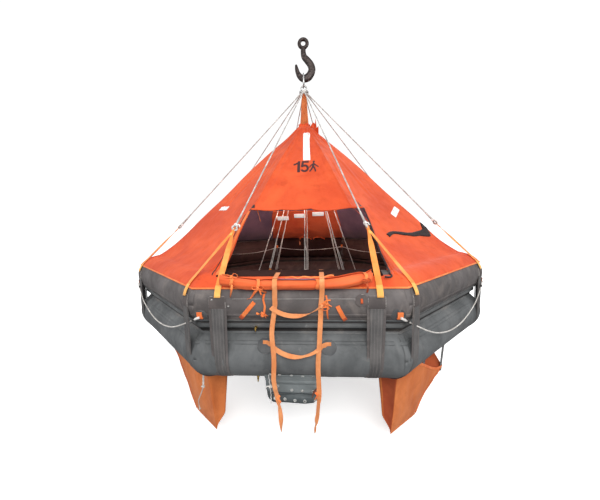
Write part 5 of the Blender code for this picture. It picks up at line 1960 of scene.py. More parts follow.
bow = [V(-0.030, 0, SHACKLE_Z), V(-0.030, 0, SHACKLE_Z + 0.018)]
for i in range(17):
    a = math.pi - math.pi * i / 16
    bow.append(V(0.030 * math.cos(a), 0, SHACKLE_Z + 0.036 + 0.030 * math.sin(a)))
bow += [V(0.030, 0, SHACKLE_Z + 0.018), V(0.030, 0, SHACKLE_Z)]
parts = [round_tube("bow", smooth_path(bow, 60), 0.009, M["link"], 18)]
for sx in (-1, 1):
    parts.append(lathe("lug%d" % sx, V(sx * 0.0215, 0, SHACKLE_Z), (sx, 0, 0),
                       [(0.012, 0.0), (0.0165, 0.0015), (0.0175, 0.006), (0.0175, 0.012), (0.0165, 0.0165), (0.012, 0.018)], "link"))
parts.append(lathe("pin", V(-0.052, 0, SHACKLE_Z), (1, 0, 0),
                   [(0.013, 0.0), (0.0155, 0.0012), (0.0155, 0.0085), (0.0142, 0.0095), (0.0105, 0.0100), (0.0105, 0.0930),
                    (0.0095, 0.0945), (0.0095, 0.1030), (0.0080, 0.1045)], "link"))
nut = lathe("nut", V(0.0405, 0, SHACKLE_Z), (1, 0, 0), [(0.0150, 0.0), (0.0165, 0.0010), (0.0165, 0.0080), (0.0150, 0.0090)],
            "link", sides=6)
for p in nut.data.polygons:
    p.use_smooth = False
parts.append(nut)
cot = [V(0.0500, 0.0, SHACKLE_Z + 0.0165), V(0.0500, 0, SHACKLE_Z - 0.0165), V(0.0515, 0.004, SHACKLE_Z - 0.0205)]
parts.append(round_tube("cotter", smooth_path(cot, 12), 0.0013, M["thimble"], 8))
parts.append(ring("cotter_eye", V(0.0500, 0, SHACKLE_Z + 0.0195), (0, 1, 0), 0.0034, 0.0013, M["thimble"], 16, 8))
shackle = join("bow_shackle", parts, "galvanised_steel")
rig.replaces(shackle, "lifting_shackle")


# ================================================================ lifting strap
def build_lift_strap():
    rows, uv = [], []
    for i in range(44):
        f = i / 43
        z = SHACKLE_Z - 0.0115 - f * (SHACKLE_Z - 0.0115 - 2.020)
        w = 0.0165 + (0.026 - 0.0165) * float(smoothstep(f, 0.0, 0.16)) + 0.031 * f ** 1.15
        w = min(w, 0.057)
        th = 0.0052 + 0.0070 * f
        row, ur = [], []
        m = 26
        for side in (-1, 1):
            for j in range(m):
                x = -1 + 2 * j / (m - 1)
                x = x if side < 0 else -x
                e = math.sqrt(max(0.0, 1 - abs(x) ** 5))
                fold = 0.30 * math.sin(7.5 * x + 1.3 * side + 2.2 * f) + 0.16 * math.sin(15 * x - 2 * f)
                y = side * th * e * (0.62 + fold * (0.4 + 0.9 * f))
                row.append((x * w * (1 + 0.015 * math.sin(9 * f + side)), y + 0.0010 * math.sin(8 * f), z))
                ur.append((x * w + 0.15 * side, f * 0.47))
        ur.append(ur[0])
        rows.append(row)
        uv.append(ur)
    body = grid("strap_body", rows, M["strap"], uv=np.array(uv), wrap=True, caps=True)
    edge = []
    for i in range(30):
        f = i / 29
        z = SHACKLE_Z - 0.030 - f * 0.42
        w = min(0.0165 + 0.0095 * float(smoothstep(f, 0, 0.16)) + 0.031 * f ** 1.15, 0.057)
        edge.append(V(w * 0.78, -0.0075 - 0.0065 * f, z))
    fold = strap("strap_fold", edge, V(1, -0.35, 0), [0.011 + 0.014 * i / 29 for i in range(30)], M["strap"], 0.0030, cols=7)
    loop = []
    for g in np.linspace(-100, 280, 26):
        a = math.radians(g)
        loop.append(V(0, 0.0138 * math.cos(a), SHACKLE_Z + 0.0138 * math.sin(a)))
    loop = [V(0, -0.0058, SHACKLE_Z - 0.060), V(0, -0.0065, SHACKLE_Z - 0.036)] + \
        [V(0, 0.0138 * math.cos(math.radians(g)), SHACKLE_Z + 0.0138 * math.sin(math.radians(g))) for g in np.linspace(205, -25, 18)] + \
        [V(0, 0.0065, SHACKLE_Z - 0.036), V(0, 0.0058, SHACKLE_Z - 0.060)]
    top = strap("strap_loop", smooth_path(loop, 50), V(1, 0, 0), 0.0325, M["strap"], 0.0030, cols=9)
    ob = join("canopy_lifting_strap", [body, fold, top], "orange_webbing")
    return ob


lift = build_lift_strap()
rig.replaces(lift, "canopy_lift_strap")


# ================================================================ outer bridle
def leg_u(k):
    return {0: 0.508, 4: 0.508}.get(k % SIDES, 0.614)


def leg_path(k, p, u_end, lift=0.0120, top=0.0):
    n, t = face_axes(k)
    r = TUBE_R + lift
    a, z = p.dot(n), p.z
    da, dz = a - TUBE_A, z - UPPER_Z
    touch = math.atan2(dz, da) - math.acos(r / math.hypot(da, dz))
    end = math.asin((LEG_END_Z - UPPER_Z) / r)
    q = [(a, z)]
    for f in np.linspace(0, 1, 14)[1:-1]:
        q.append((a + f * (TUBE_A + r * math.cos(touch) - a), z + f * (UPPER_Z + r * math.sin(touch) - z)))
    for i in range(16):
        g = touch + (end - touch) * i / 15
        q.append((TUBE_A + r * math.cos(g), UPPER_Z + r * math.sin(g)))
    run = [0.0]
    for x, y in zip(q, q[1:]):
        run.append(run[-1] + math.dist(x, y))
    u0 = p.dot(t)
    pts = [n * x[0] + t * (u0 + (u_end - u0) * d / run[-1]) + V(0, 0, x[1]) for x, d in zip(q, run)]
    return even(pts, step=0.016), t


eye_x = [-0.0150, -0.0105, -0.0062, -0.0020, 0.0022, 0.0064, 0.0107, 0.0150]
order = sorted(range(SIDES), key=lambda c: corner_dir(c).x)
for c in range(SIDES):
    word = CORNERS[c]
    rf, lf = c % SIDES, (c - 1) % SIDES
    end_a = TUBE_A + math.sqrt((TUBE_R + 0.012) ** 2 - (LEG_END_Z - UPPER_Z) ** 2)
    ends = [on_face(rf, end_a, -leg_u(rf), LEG_END_Z), on_face(lf, end_a, leg_u(lf), LEG_END_Z)]
    middle = (ends[0] + ends[1]) / 2
    meet = V(0, 0, BRIDLE_Z)
    line = middle - meet
    p = meet + line * THIMBLE_AT
    d = line.normalized()
    hor = V(d.x, d.y, 0)
    start = meet + line * (0.036 / V(line.x, line.y, 0).length)
    tang = V(-hor.y, hor.x, 0).normalized()
    nrm = d.cross(tang).normalized()
    parts = []
    # main length, with the tapered splice above the thimble and below the top eye
    main = rope("rope_main", [start + d * 0.010, p - d * 0.050], 0.0072, M["rope"], per=6, around=12)
    parts.append(main)
    parts.append(rope("splice", [p - d * 0.165, p - d * 0.040], 0.0098, M["rope"], pitch=0.030, per=10, around=16,
                      radii=[0.72, 0.86, 1.0, 1.05, 1.08, 1.02]))
    parts.append(rope("splice_top", [start + d * 0.110, start + d * 0.002], 0.0088, M["rope"], pitch=0.028, per=10, around=16,
                      radii=[0.72, 0.9, 1.05, 1.08, 0.95]))
    # rope eye round its thimble
    turn = 0.9 if c % 2 else 0.6
    ax = (tang * math.cos(turn) + nrm * math.sin(turn)).normalized()
    inp = d.cross(ax).normalized()
    ctr = p - d * 0.014
    eye = []
    for i in range(40):
        g = 2 * math.pi * i / 40
        x, y = math.cos(g), math.sin(g)
        stretch = 0.030 if x < 0 else 0.019
        eye.append(ctr + d * (stretch * x * (1.0 if x > 0 else (0.85 + 0.15 * abs(x)))) + inp * (0.0185 * y * (1 - 0.42 * max(0.0, -x))))
    parts.append(planar_loop("eye_rope", eye, ax, 0.0068, "rope", 12))
    # the stopper knot above the eye, with its short tail
    parts.append(knot("stop", p - d * 0.044, d, 0.0118, 0.0060, M["sleeve"]))
    parts.append(round_tube("tail", smooth_path([p - d * 0.044 + tang * 0.010, p - d * 0.050 + tang * 0.024 - nrm * 0.004,
                                                 p - d * 0.030 + tang * 0.034 - nrm * 0.010], 8), 0.0052, M["sleeve"], 10))
    body = join("rope_" + word, parts, "white_rope")
    inner = [ctr + (q - ctr) * 0.70 for q in eye]
    thimble = planar_loop("thimble_" + word, inner, ax, 0.0042, "thimble", 12, "galvanised_steel", squash=1.6)
    # top eye on the shackle's pin
    ex = eye_x[order.index(c)]
    top_c = V(ex, 0.0, SHACKLE_Z - 0.001)
    tilt = (V(1, 0, 0) + V(0, 0, 0.10 * (ex / 0.015)) + V(0, 0.16 * math.sin(c * 2.1), 0)).normalized()
    tube_pts = []
    a0 = (V(0, 0, 1) - tilt * tilt.z).normalized()
    b0 = tilt.cross(a0)
    for i in range(28):
        g = 2 * math.pi * i / 28
        tube_pts.append(top_c + a0 * (0.0215 * math.cos(g)) + b0 * (0.0215 * math.sin(g)))
    low = min(tube_pts, key=lambda q: (q - start).length)
    neck = round_tube("neck", smooth_path([low + (top_c - low) * 0.10, low.lerp(start, 0.45) + V(0, 0, -0.003), start + d * 0.014], 10),
                      [0.0052, 0.0058, 0.0062, 0.0066, 0.0070, 0.0072, 0.0074, 0.0074, 0.0074, 0.0072], M["rope"], 12)
    loop = planar_loop("top_loop", tube_pts, tilt, 0.0047, "rope", 10)
    body = join("suspension_rope_body_" + word, [body, neck, loop], "white_rope")
    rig.replaces(body, "suspension_rope_" + word)
    # webbing: one length folded through the thimble, its two legs going to the tube
    webs = []
    fold = [p + d * 0.052 - nrm * 0.0030, p + d * 0.020 - nrm * 0.0045, p + d * 0.000 - nrm * 0.0085, p - d * 0.0135 - nrm * 0.0030,
            p - d * 0.0135 + nrm * 0.0030, p + d * 0.000 + nrm * 0.0085, p + d * 0.020 + nrm * 0.0045, p + d * 0.052 + nrm * 0.0030]
    webs.append(strap("fold", smooth_path(fold, 34), tang, 0.021, M["leg"], 0.0026, cols=7))
    for face, side in ((rf, -1), (lf, 1)):
        pts, t = leg_path(face, p + d * 0.012, side * leg_u(face))
        n_ = len(pts)
        run = np.linspace(0, 1, n_) * length_of(pts)
        width = 0.021 + 0.019 * smoothstep(run, 0.02, 0.17)
        acr = []
        for i in range(n_):
            f = float(smoothstep(run[i], 0.0, 0.22))
            acr.append((tang * (1 - f) + t * f).normalized())
        wave = 0.10 * np.sin(run * 9 + c + side) * (1 - smoothstep(run, 0.35, 0.55)) * smoothstep(run, 0.03, 0.15)
        cut = max(2, int(round((run[-1] - 0.062) / run[-1] * (n_ - 1))))
        webs.append(strap("leg%d" % side, pts[:cut + 1], acr[:cut + 1], width[:cut + 1], M["leg"], 0.0028,
                          twist=wave[:cut + 1], cols=9))
        webs.append(strap("legend%d" % side, pts[cut - 1:], acr[cut - 1:], width[cut - 1:] * 1.02, M["leg_end"], 0.0034, cols=9))
    # bar of stitching that closes the webbing under the thimble
    webs.append(strap("bar", smooth_path([p + d * 0.034 + nrm * 0.0052, p + d * 0.048 + nrm * 0.0056, p + d * 0.062 + nrm * 0.0050], 6),
                      tang, 0.024, M["leg_end"], 0.0016, cols=7))
    legs = join("webbing_leg_pair_" + word, webs, "orange_webbing")
    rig.replaces(legs, "webbing_legs_" + word)

# ================================================================ inner ropes
for k in range(SIDES):
    a = -math.pi / 2 + k * math.pi / 4
    d = V(math.cos(a), math.sin(a), 0)
    top = d * 0.034 + V(0, 0, 2.010)
    foot = d * 0.700 + V(0, 0, 0.132)
    run = (foot - top).normalized()
    tang = V(-d.y, d.x, 0)
    parts = []
    web_from = {0: 0.765, 7: 0.760, 1: 0.785}.get(k, 0.93)
    b = top.lerp(foot, web_from)
    parts.append(rope("a", [top - run * 0.05, b], 0.0055, M["rope_in"], per=6, around=12))
    s = web_from * (0.63 if web_from > 0.9 else 0.80)
    fall = [top.lerp(foot, s), top.lerp(foot, s + 0.03) + tang * 0.006, b.lerp(top, 0.10) + tang * 0.020 - run * 0.01, b + tang * 0.024]
    parts.append(rope("b", smooth_path(fall, 24), 0.0050, M["rope_in"], per=6, around=12))
    parts.append(rope("c", [top.lerp(foot, s - 0.035), top.lerp(foot, s + 0.03)], 0.0080, M["rope_in"], pitch=0.028, per=8,
                      around=16, radii=[0.75, 1.0, 1.0, 0.8]))
    parts.append(round_tube("d", smooth_path([b + tang * 0.024, b + tang * 0.019 + run * 0.018, b + tang * 0.010 + run * 0.024,
                                              b + run * 0.016 - tang * 0.001, b - run * 0.004], 14), 0.0050, M["rope_in"], 10))
    ob = join("inner_rope_body_" + PANELS[k], parts, "white_rope")
    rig.replaces(ob, "inner_rope_" + PANELS[k])
    mid = b + tang * 0.011
    buckle = []
    for x, y in ((-0.017, -0.004), (0.017, -0.004), (0.017, 0.018), (-0.017, 0.018)):
        buckle.append(mid + tang * x + run * (y + 0.012))
    loop = []
    for i in range(4):
        p0, p1 = buckle[i], buckle[(i + 1) % 4]
        loop += [p0.lerp(p1, f) for f in (0.12, 0.37, 0.63, 0.88)]
    planar_loop("foot_buckle_" + PANELS[k], loop, tang.cross(run), 0.0028, "link", 8)
    wpts = smooth_path([mid + run * 0.026, mid.lerp(foot, 0.35), mid.lerp(foot, 0.7), foot + V(0, 0, -0.006)], step=0.02)
    strap("foot_webbing_" + PANELS[k], wpts, tang, 0.026, M["leg"], 0.0034, slot="orange_webbing")
    strap("foot_tail_" + PANELS[k], smooth_path([mid + run * 0.022 - d * 0.006, mid + run * 0.05 - d * 0.010, mid + run * 0.085 - d * 0.012], 8),
          tang, 0.025, M["leg_end"], 0.0030)
    # anchor patch on the floor
    disc = []
    for f, h in ((0.05, 0.0045), (0.5, 0.0045), (0.88, 0.004), (1.0, 0.0010), (1.0, -0.003)):
        disc.append([tuple(foot + V(0, 0, -0.012 + h) + (d * math.cos(2 * math.pi * j / 28) + tang * math.sin(2 * math.pi * j / 28)) * (0.055 * f))
                     for j in range(28)])
    grid("floor_anchor_" + PANELS[k], disc, M["patch_dark"], wrap=True, caps=True)


# ================================================================ front curtain, rolled up
ROLL_R = TUBE_R + 0.0085 + 0.038 + 0.0004
ROLL_DEG = math.radians(36.0)
ROLL_TIES = (-0.405, -0.238, 0.130, 0.415)


def roll_centre(u, lift):
    return on_face(0, TUBE_A + ROLL_R * math.cos(ROLL_DEG) - 0.35 * lift, u,
                   UPPER_Z + ROLL_R * math.sin(ROLL_DEG) + lift)


roll_line = smooth_path([roll_centre(u, l) for u, l in
                         ((-0.478, 0.032), (-0.42, 0.022), (-0.30, 0.005), (-0.10, 0.0), (0.10, 0.0),
                          (0.26, 0.008), (0.38, 0.030), (0.458, 0.046))], 96)
roll_u = np.array([p.x for p in roll_line])


def build_roll():
    """The sheet itself, wound three and a quarter turns; the ties squeeze it."""
    turns, per = 3.25, 28
    cols = int(turns * per)
    rows, uv, cells = [], [], []
    run = 0.0
    for i, c in enumerate(roll_line):
        u = c.x
        pinch = sum(math.exp(-((u - t) / 0.020) ** 2) for t in ROLL_TIES)
        puff = 1.0 + 0.13 * math.exp(-((u - 0.32) / 0.10) ** 2) + 0.05 * math.exp(-((u + 0.32) / 0.05) ** 2) \
            - 0.07 * math.exp(-(u / 0.16) ** 2)
        end = 0.06 * max(0.0, 1 - (u + 0.478) / 0.03) + 0.06 * max(0.0, 1 - (0.458 - u) / 0.03)
        row, ur = [], []
        for j in range(cols):
            f = j / (cols - 1)
            ang = math.radians(96.0) + 2 * math.pi * turns * (1 - f)
            r = 0.0085 + (0.0360 - 0.0085) * f
            wob = 0.095 * math.sin(3 * ang + 5.0 * u + 1.1) + 0.060 * math.sin(7 * ang - 11 * u) \
                + 0.10 * noise.noise(V(u * 7, math.cos(ang) * 0.9 + f, math.sin(ang) * 0.9))
            r *= (1 - 0.20 * min(pinch, 1.0)) * puff * (1 + wob * f) * (1 + end)
            q = V(0, -math.cos(ang) * r, math.sin(ang) * r) + c + V(0.010 * math.sin(6 * f) * end * 8, 0, 0)
            da, dz = -q.y - TUBE_A, q.z - UPPER_Z
            d = math.hypot(da, dz)
            low = TUBE_R + 0.0105
            if d < low:
                q.y = -(TUBE_A + da / d * low)
                q.z = UPPER_Z + dz / d * low
            row.append(tuple(q))
            ur.append((u, 0.46 * f))
        rows.append(row)
        uv.append(ur)
    cm = np.zeros((len(rows) - 1, cols - 1), int)
    for i in range(len(rows) - 1):
        for j in range(cols - 1):
            f = j / (cols - 1)
            u = roll_line[i].x
            if -0.14 < u < 0.165 and 0.976 - 0.006 * math.sin(20 * u) < f:
                cm[i, j] = 1
    ob = grid("front_curtain_rolled", rows, [M["roll"], M["lining"]], uv=np.array(uv), cell_mats=cm, slot="canopy_cloth")
    return ob


roll = build_roll()
roll_area = sum(p.area for p in roll.data.polygons)
solidify(roll, 0.0015, 0.0)
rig.replaces(roll, "front_curtain_roll")


def roll_at(u, deg, lift=0.0):
    """A point on the outside of the roll; deg is measured up from straight out."""
    i = int(np.argmin(np.abs(roll_u - u)))
    c = roll_line[i]
    pinch = sum(math.exp(-((u - t) / 0.020) ** 2) for t in ROLL_TIES)
    puff = 1.0 + 0.13 * math.exp(-((u - 0.32) / 0.10) ** 2) + 0.05 * math.exp(-((u + 0.32) / 0.05) ** 2) \
        - 0.07 * math.exp(-(u / 0.16) ** 2)
    r = 0.0385 * (1 - 0.20 * min(pinch, 1.0)) * puff + lift
    a = math.radians(deg)
    return V(u, c.y - r * math.cos(a), c.z + r * math.sin(a))


def on_tube(u, z, lift=0.002, k=0, zc=UPPER_Z):
    s = max(-0.999, min(0.999, (z - zc) / (TUBE_R + lift)))
    return on_face(k, TUBE_A + (TUBE_R + lift) * math.sqrt(1 - s * s), u, z)


def bow(name, centre, right, up, out, size, mat, width=0.010, seed=0.0):
    """Two loops and two tails of narrow tape with a knot between them."""
    parts = []
    for sgn in (-1, 1):
        lp = [centre, centre + right * (sgn * size * 0.45) + up * (size * (0.42 + 0.10 * sgn)) + out * 0.006,
              centre + right * (sgn * size * 1.0) + up * (size * (0.22 + 0.12 * math.sin(seed))) + out * 0.010,
              centre + right * (sgn * size * 0.80) - up * (size * 0.16) + out * 0.008, centre + out * 0.003]
        parts.append(strap("l%d" % sgn, smooth_path(lp, 22), up * 0.35 + out, width, M[mat], 0.0016, twist=np.linspace(0, 0.7 * sgn, 22), cols=5))
        tl = [centre, centre + right * (sgn * size * 0.35) - up * (size * 0.45) + out * 0.004,
              centre + right * (sgn * size * (0.62 + 0.15 * math.sin(2 * seed))) - up * (size * (1.05 + 0.2 * sgn)) + out * 0.001]
        parts.append(strap("t%d" % sgn, smooth_path(tl, 14), right, width, M[mat], 0.0016, twist=np.linspace(0.2, 1.1 * sgn, 14), cols=5))
    parts.append(knot("k", centre + out * 0.004, right, 0.0075, 0.0048, M[mat]))
    return join(name, parts, "orange_webbing")


X, Y, Z = V(1, 0, 0), V(0, 1, 0), V(0, 0, 1)
ties = []
for q, u in enumerate(ROLL_TIES):
    wrap = [roll_at(u + 0.004 * math.sin(0.05 * d), d, 0.0015) for d in range(-150, 175, 13)]
    ties.append(strap("roll_tie_%d" % q, smooth_path(wrap, 40), X, 0.020 if q != 2 else 0.026, M["tape"], 0.0020, slot="orange_webbing"))
ties.append(bow("roll_bow_left", roll_at(-0.405, 62, 0.008), X, Z, -Y, 0.040, "tape", 0.011, 0.4))
ties.append(bow("roll_bow_mid", roll_at(-0.238, -28, 0.006), X, Z, -Y, 0.034, "tape", 0.011, 1.7))
ties.append(bow("roll_bow_right", roll_at(0.415, -12, 0.006), X, Z, -Y, 0.024, "tape_dark", 0.009, 2.6))
# tails of the ties
tail = [roll_at(-0.400, -20, 0.004), V(-0.398, -1.712, 0.668), V(-0.412, -1.688, 0.628), on_tube(-0.425, 0.603, 0.004)]
ties.append(strap("tie_tail_a", smooth_path(tail, 20), X, 0.013, M["tape"], 0.0018, twist=np.linspace(0, 1.3, 20), slot="orange_webbing"))
tail = [roll_at(-0.236, -40, 0.004), V(-0.262, -1.693, 0.640), on_tube(-0.292, 0.600, 0.005), on_tube(-0.318, 0.588, 0.004)]
ties.append(strap("tie_tail_b", smooth_path(tail, 20), X, 0.014, M["tape"], 0.0018, twist=np.linspace(0, -1.5, 20), slot="orange_webbing"))
tail = [roll_at(-0.234, -40, 0.004), V(-0.215, -1.690, 0.648), on_tube(-0.196, 0.628, 0.005)]
ties.append(strap("tie_tail_c", smooth_path(tail, 14), X, 0.013, M["tape"], 0.0018, twist=np.linspace(0, 0.9, 14), slot="orange_webbing"))
tail = [roll_at(0.417, -25, 0.004), V(0.424, -1.705, 0.672), on_tube(0.430, 0.626, 0.004)]
ties.append(strap("tie_tail_d", smooth_path(tail, 14), X, 0.012, M["tape_dark"], 0.0018, slot="orange_webbing"))
# loose tape lying along the sill behind the roll
lay = []
for i in range(40):
    u = -0.075 + 0.30 * i / 39
    lay.append(roll_at(u, 100 + 12 * math.sin(i * 0.45), 0.004 + 0.010 * abs(math.sin(i * 0.30))))
ties.append(strap("sill_tape", smooth_path(lay, 70), V(0, 0.6, 0.8), 0.010, M["tape"], 0.0016,
                  twist=0.6 * np.sin(np.linspace(0, 7, 70)), slot="orange_webbing"))
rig.sheet(roll, flat=(0.95, 0.62), held="folded", rests_on=["upper_buoyancy_tube"], area=round(min(roll_area, 0.587), 3),
         with_pieces=[])


# ================================================================ boarding ladders
def hull_path(r_from, deg_from, over):
    """From the inside of the tube over its top; front ones also go over the roll."""
    pts = []
    top = 86.5 if over else 60.0
    for d in np.arange(deg_from, top, -6.0):
        pts.append((TUBE_A + r_from * math.cos(math.radians(d)), UPPER_Z + r_from * math.sin(math.radians(d))))
    return pts


def ladder(word, k):
    z_ref = [0.65, 0.49, 0.36, 0.06, -0.18]
    left = ([-0.135, -0.150, -0.163, -0.160, -0.128, -0.118], -0.296)
    right = ([0.152, 0.146, 0.131, 0.125, 0.120, 0.096], -0.305)
    n, t = face_axes(k)
    zax = V(0, 0, 1)
    parts = []
    r = TUBE_R + 0.0110
    for side, (us, low) in ((-1, left), (1, right)):
        zs = z_ref + [low]
        uat = lambda z: float(np.interp(-z, [-q for q in zs], us))
        az = []
        if k == 0:
            rc = (TUBE_A + ROLL_R * math.cos(ROLL_DEG), UPPER_Z + ROLL_R * math.sin(ROLL_DEG))
            for d in np.arange(152, 92, -6.0):
                az.append((TUBE_A + (TUBE_R + 0.0035) * math.cos(math.radians(d)), UPPER_Z + (TUBE_R + 0.0035) * math.sin(math.radians(d))))
            for d in np.arange(84, -10, -7.0):
                az.append((rc[0] + 0.0435 * math.cos(math.radians(d)), rc[1] + 0.0435 * math.sin(math.radians(d))))
            az += [(1.7045, 0.655), (1.6915, 0.610), (1.6835, 0.565)]
        else:
            for d in np.arange(152, 2, -6.0):
                lift = 0.0035 if d > 66 else (0.011 if d < 40 else 0.0035 + 0.0075 * (66 - d) / 26)
                az.append((TUBE_A + (TUBE_R + lift) * math.cos(math.radians(d)), UPPER_Z + (TUBE_R + lift) * math.sin(math.radians(d))))
        for z in list(np.arange(0.530, low + 0.004, -0.020)) + [low]:
            sway = 0.0 if z > -0.02 else 0.010 * math.sin((z + 0.02) * 14 + side)
            az.append((TUBE_A + r + sway * 0.6, z))
        pts = [on_face(k, a, uat(z) + (0.004 * math.sin(z * 17 + side * 2) if z < 0.6 else 0), z) for a, z in az]
        pts = even(smooth_path(pts, 160), step=0.008)
        zz = np.array([p.z for p in pts])
        hang = np.array([p.dot(n) for p in pts]) > TUBE_A + 0.15
        if side < 0:
            tw = np.interp(-zz, [0.00, 0.060, 0.117, 0.155, 0.213, 0.262, 0.296], [0, 0.0, 1.32, 0.70, 0.15, 0.95, 1.40])
            wd = np.interp(-zz, [0.0, 0.10, 0.14, 0.213, 0.275, 0.296], [0.031, 0.029, 0.030, 0.030, 0.022, 0.010])
        else:
            tw = np.interp(-zz, [0.00, 0.045, 0.090, 0.226, 0.252, 0.283, 0.306], [0, 0.0, 0.85, 0.80, 1.50, 0.90, 1.20])
            wd = np.interp(-zz, [0.0, 0.23, 0.26, 0.29, 0.306], [0.033, 0.030, 0.022, 0.020, 0.010])
        tw = np.where(hang, tw, 0.0)
        tw = tw + 0.10 * np.sin(zz * 11 + side) * (zz < 0.55)
        wd = np.where(zz > 0.0, 0.031, wd)
        parts.append(strap("up%d" % side, pts, t, wd, M["web"], 0.0026, twist=-side * tw, cols=9))
        # the small fold where the tail starts to turn
        zt = -0.060 if side < 0 else -0.035
        c = on_face(k, TUBE_A + r + 0.004, uat(zt) - side * 0.006, zt)
        fold = [c + t * (side * -0.014) + zax * 0.016, c + n * 0.006 + zax * 0.002, c + t * (side * -0.018) - zax * 0.034]
        parts.append(strap("fd%d" % side, smooth_path(fold, 10), t, 0.014, M["tape"], 0.0020, twist=np.linspace(0, 0.9, 10)))
    # upper rung: hangs between the uprights, its right half twisted into a cord
    a0 = TUBE_A + r + 0.004
    pts = []
    for i in range(46):
        f = i / 45
        u = -0.166 + 0.316 * f
        z = 0.543 + 0.012 * f - 0.066 * (4 * f * (1 - f)) ** 0.9
        s = min(0.999, abs(z - UPPER_Z) / (TUBE_R + 0.010))
        a = TUBE_A + (TUBE_R + 0.010) * math.sqrt(1 - s * s) + 0.008
        pts.append(on_face(k, a, u, z))
    f = np.linspace(0, 1, 46)
    wd = np.interp(f, [0, 0.5, 0.66, 0.80, 1.0], [0.030, 0.029, 0.020, 0.012, 0.012])
    tw = np.interp(f, [0, 0.3, 0.55, 0.7, 0.85, 1.0], [0.0, 0.25, 0.5, 1.3, 2.2, 3.4])
    parts.append(strap("rung_a", pts, zax, wd, M["web"], 0.0028, twist=tw, cols=9))
    for q, (c, sz) in enumerate(((on_tube(0.150, 0.556, 0.018, k), 0.030), (on_tube(0.158, 0.535, 0.018, k), 0.024))):
        lp = [c - t * 0.012, c + t * sz * 0.6 + zax * sz * 0.55 + n * 0.006, c + t * sz * 1.5 + zax * 0.002 + n * 0.008,
              c + t * sz * 0.7 - zax * sz * 0.45 + n * 0.006, c - t * 0.010 - zax * 0.004]
        parts.append(strap("rl%d" % q, smooth_path(lp, 22), zax * 0.7 + n * 0.4, 0.010, M["tape"], 0.0020, twist=np.linspace(0, 1.2, 22), cols=5))
    parts.append(knot("rk", on_tube(0.149, 0.550, 0.020, k), t, 0.009, 0.0055, M["web"]))
    # lower rung: glued pads, slack between them
    pts = []
    for i in range(60):
        f = i / 59
        u = -0.232 + 0.440 * f
        z = 0.290 - 0.008 * f - (0.064 * math.sin(math.pi * (f - 0.13) / 0.74) ** 0.8 if 0.13 < f < 0.87 else 0.0)
        s = abs(z - LOWER_Z) / (TUBE_R + 0.010)
        a = TUBE_A + (TUBE_R + 0.010) * math.sqrt(1 - s * s)
        lift = 0.0225 * float(smoothstep(f, 0.05, 0.16) * smoothstep(1 - f, 0.05, 0.16))
        pts.append(on_face(k, a - 0.006 + max(lift, 0.0), u, z))
    f = np.linspace(0, 1, 60)
    wd = np.interp(f, [0, 0.12, 0.45, 0.60, 0.74, 0.88, 1.0], [0.036, 0.034, 0.030, 0.019, 0.021, 0.031, 0.036])
    tw = np.interp(f, [0, 0.15, 0.42, 0.60, 0.72, 0.86, 1.0], [0.0, 0.0, 0.45, 1.15, 0.9, 0.1, 0.0])
    parts.append(strap("rung_b", pts, zax, wd, M["web"], 0.0028, twist=tw, cols=9))
    ob = join("boarding_ladder_" + word, parts, "orange_webbing")
    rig.replaces(ob, word + "_ladder")
    return ob


ladder_front = ladder("front", 0)
ladder_rear = ladder("rear", 4)

# short tapes hanging on the front of the upper tube
hang = []
for q, (pts, w, mat, tw) in enumerate((
        ([(-0.208, 0.622), (-0.214, 0.590), (-0.206, 0.545), (-0.211, 0.500), (-0.206, 0.462)], 0.014, "tape", 0.8),
        ([(-0.222, 0.506), (-0.245, 0.492), (-0.262, 0.500)], 0.014, "tape", 1.0),
        ([(-0.218, 0.498), (-0.205, 0.484), (-0.188, 0.478)], 0.012, "tape", 0.6),
        ([(0.177, 0.612), (0.186, 0.560), (0.183, 0.505), (0.189, 0.454)], 0.012, "tape", 0.7))):
    line = smooth_path([on_tube(u, z, 0.0055) for u, z in pts], 26)
    hang.append(strap("hanging_tape_%d" % q, line, X, w, M[mat], 0.0018, twist=tw * np.sin(np.linspace(0, 5, 26)),
                      slot="orange_webbing"))
hang.append(knot("hanging_knot", on_tube(-0.221, 0.492, 0.012), X, 0.012, 0.0062, M["tape"], slot="orange_webbing"))
for q, (x0, z0, x1, z1) in enumerate(((0.150, 0.562, 0.205, 0.585), (0.160, 0.555, 0.212, 0.545))):
    line = smooth_path([on_tube(x0, z0, 0.012), on_tube((x0 + x1) / 2, (z0 + z1) / 2 + 0.010, 0.018), on_tube(x1, z1, 0.008)], 12)
    hang.append(strap("hanging_loop_%d" % q, line, Z, 0.010, M["tape"], 0.0018, twist=np.linspace(0, 1.0, 12), slot="orange_webbing"))


# ================================================================ water pockets
def under(a, zc=LOWER_Z, lift=0.0015):
    d = a - TUBE_A
    rr = TUBE_R + lift
    return zc - math.sqrt(max(rr * rr - d * d, 0.0))


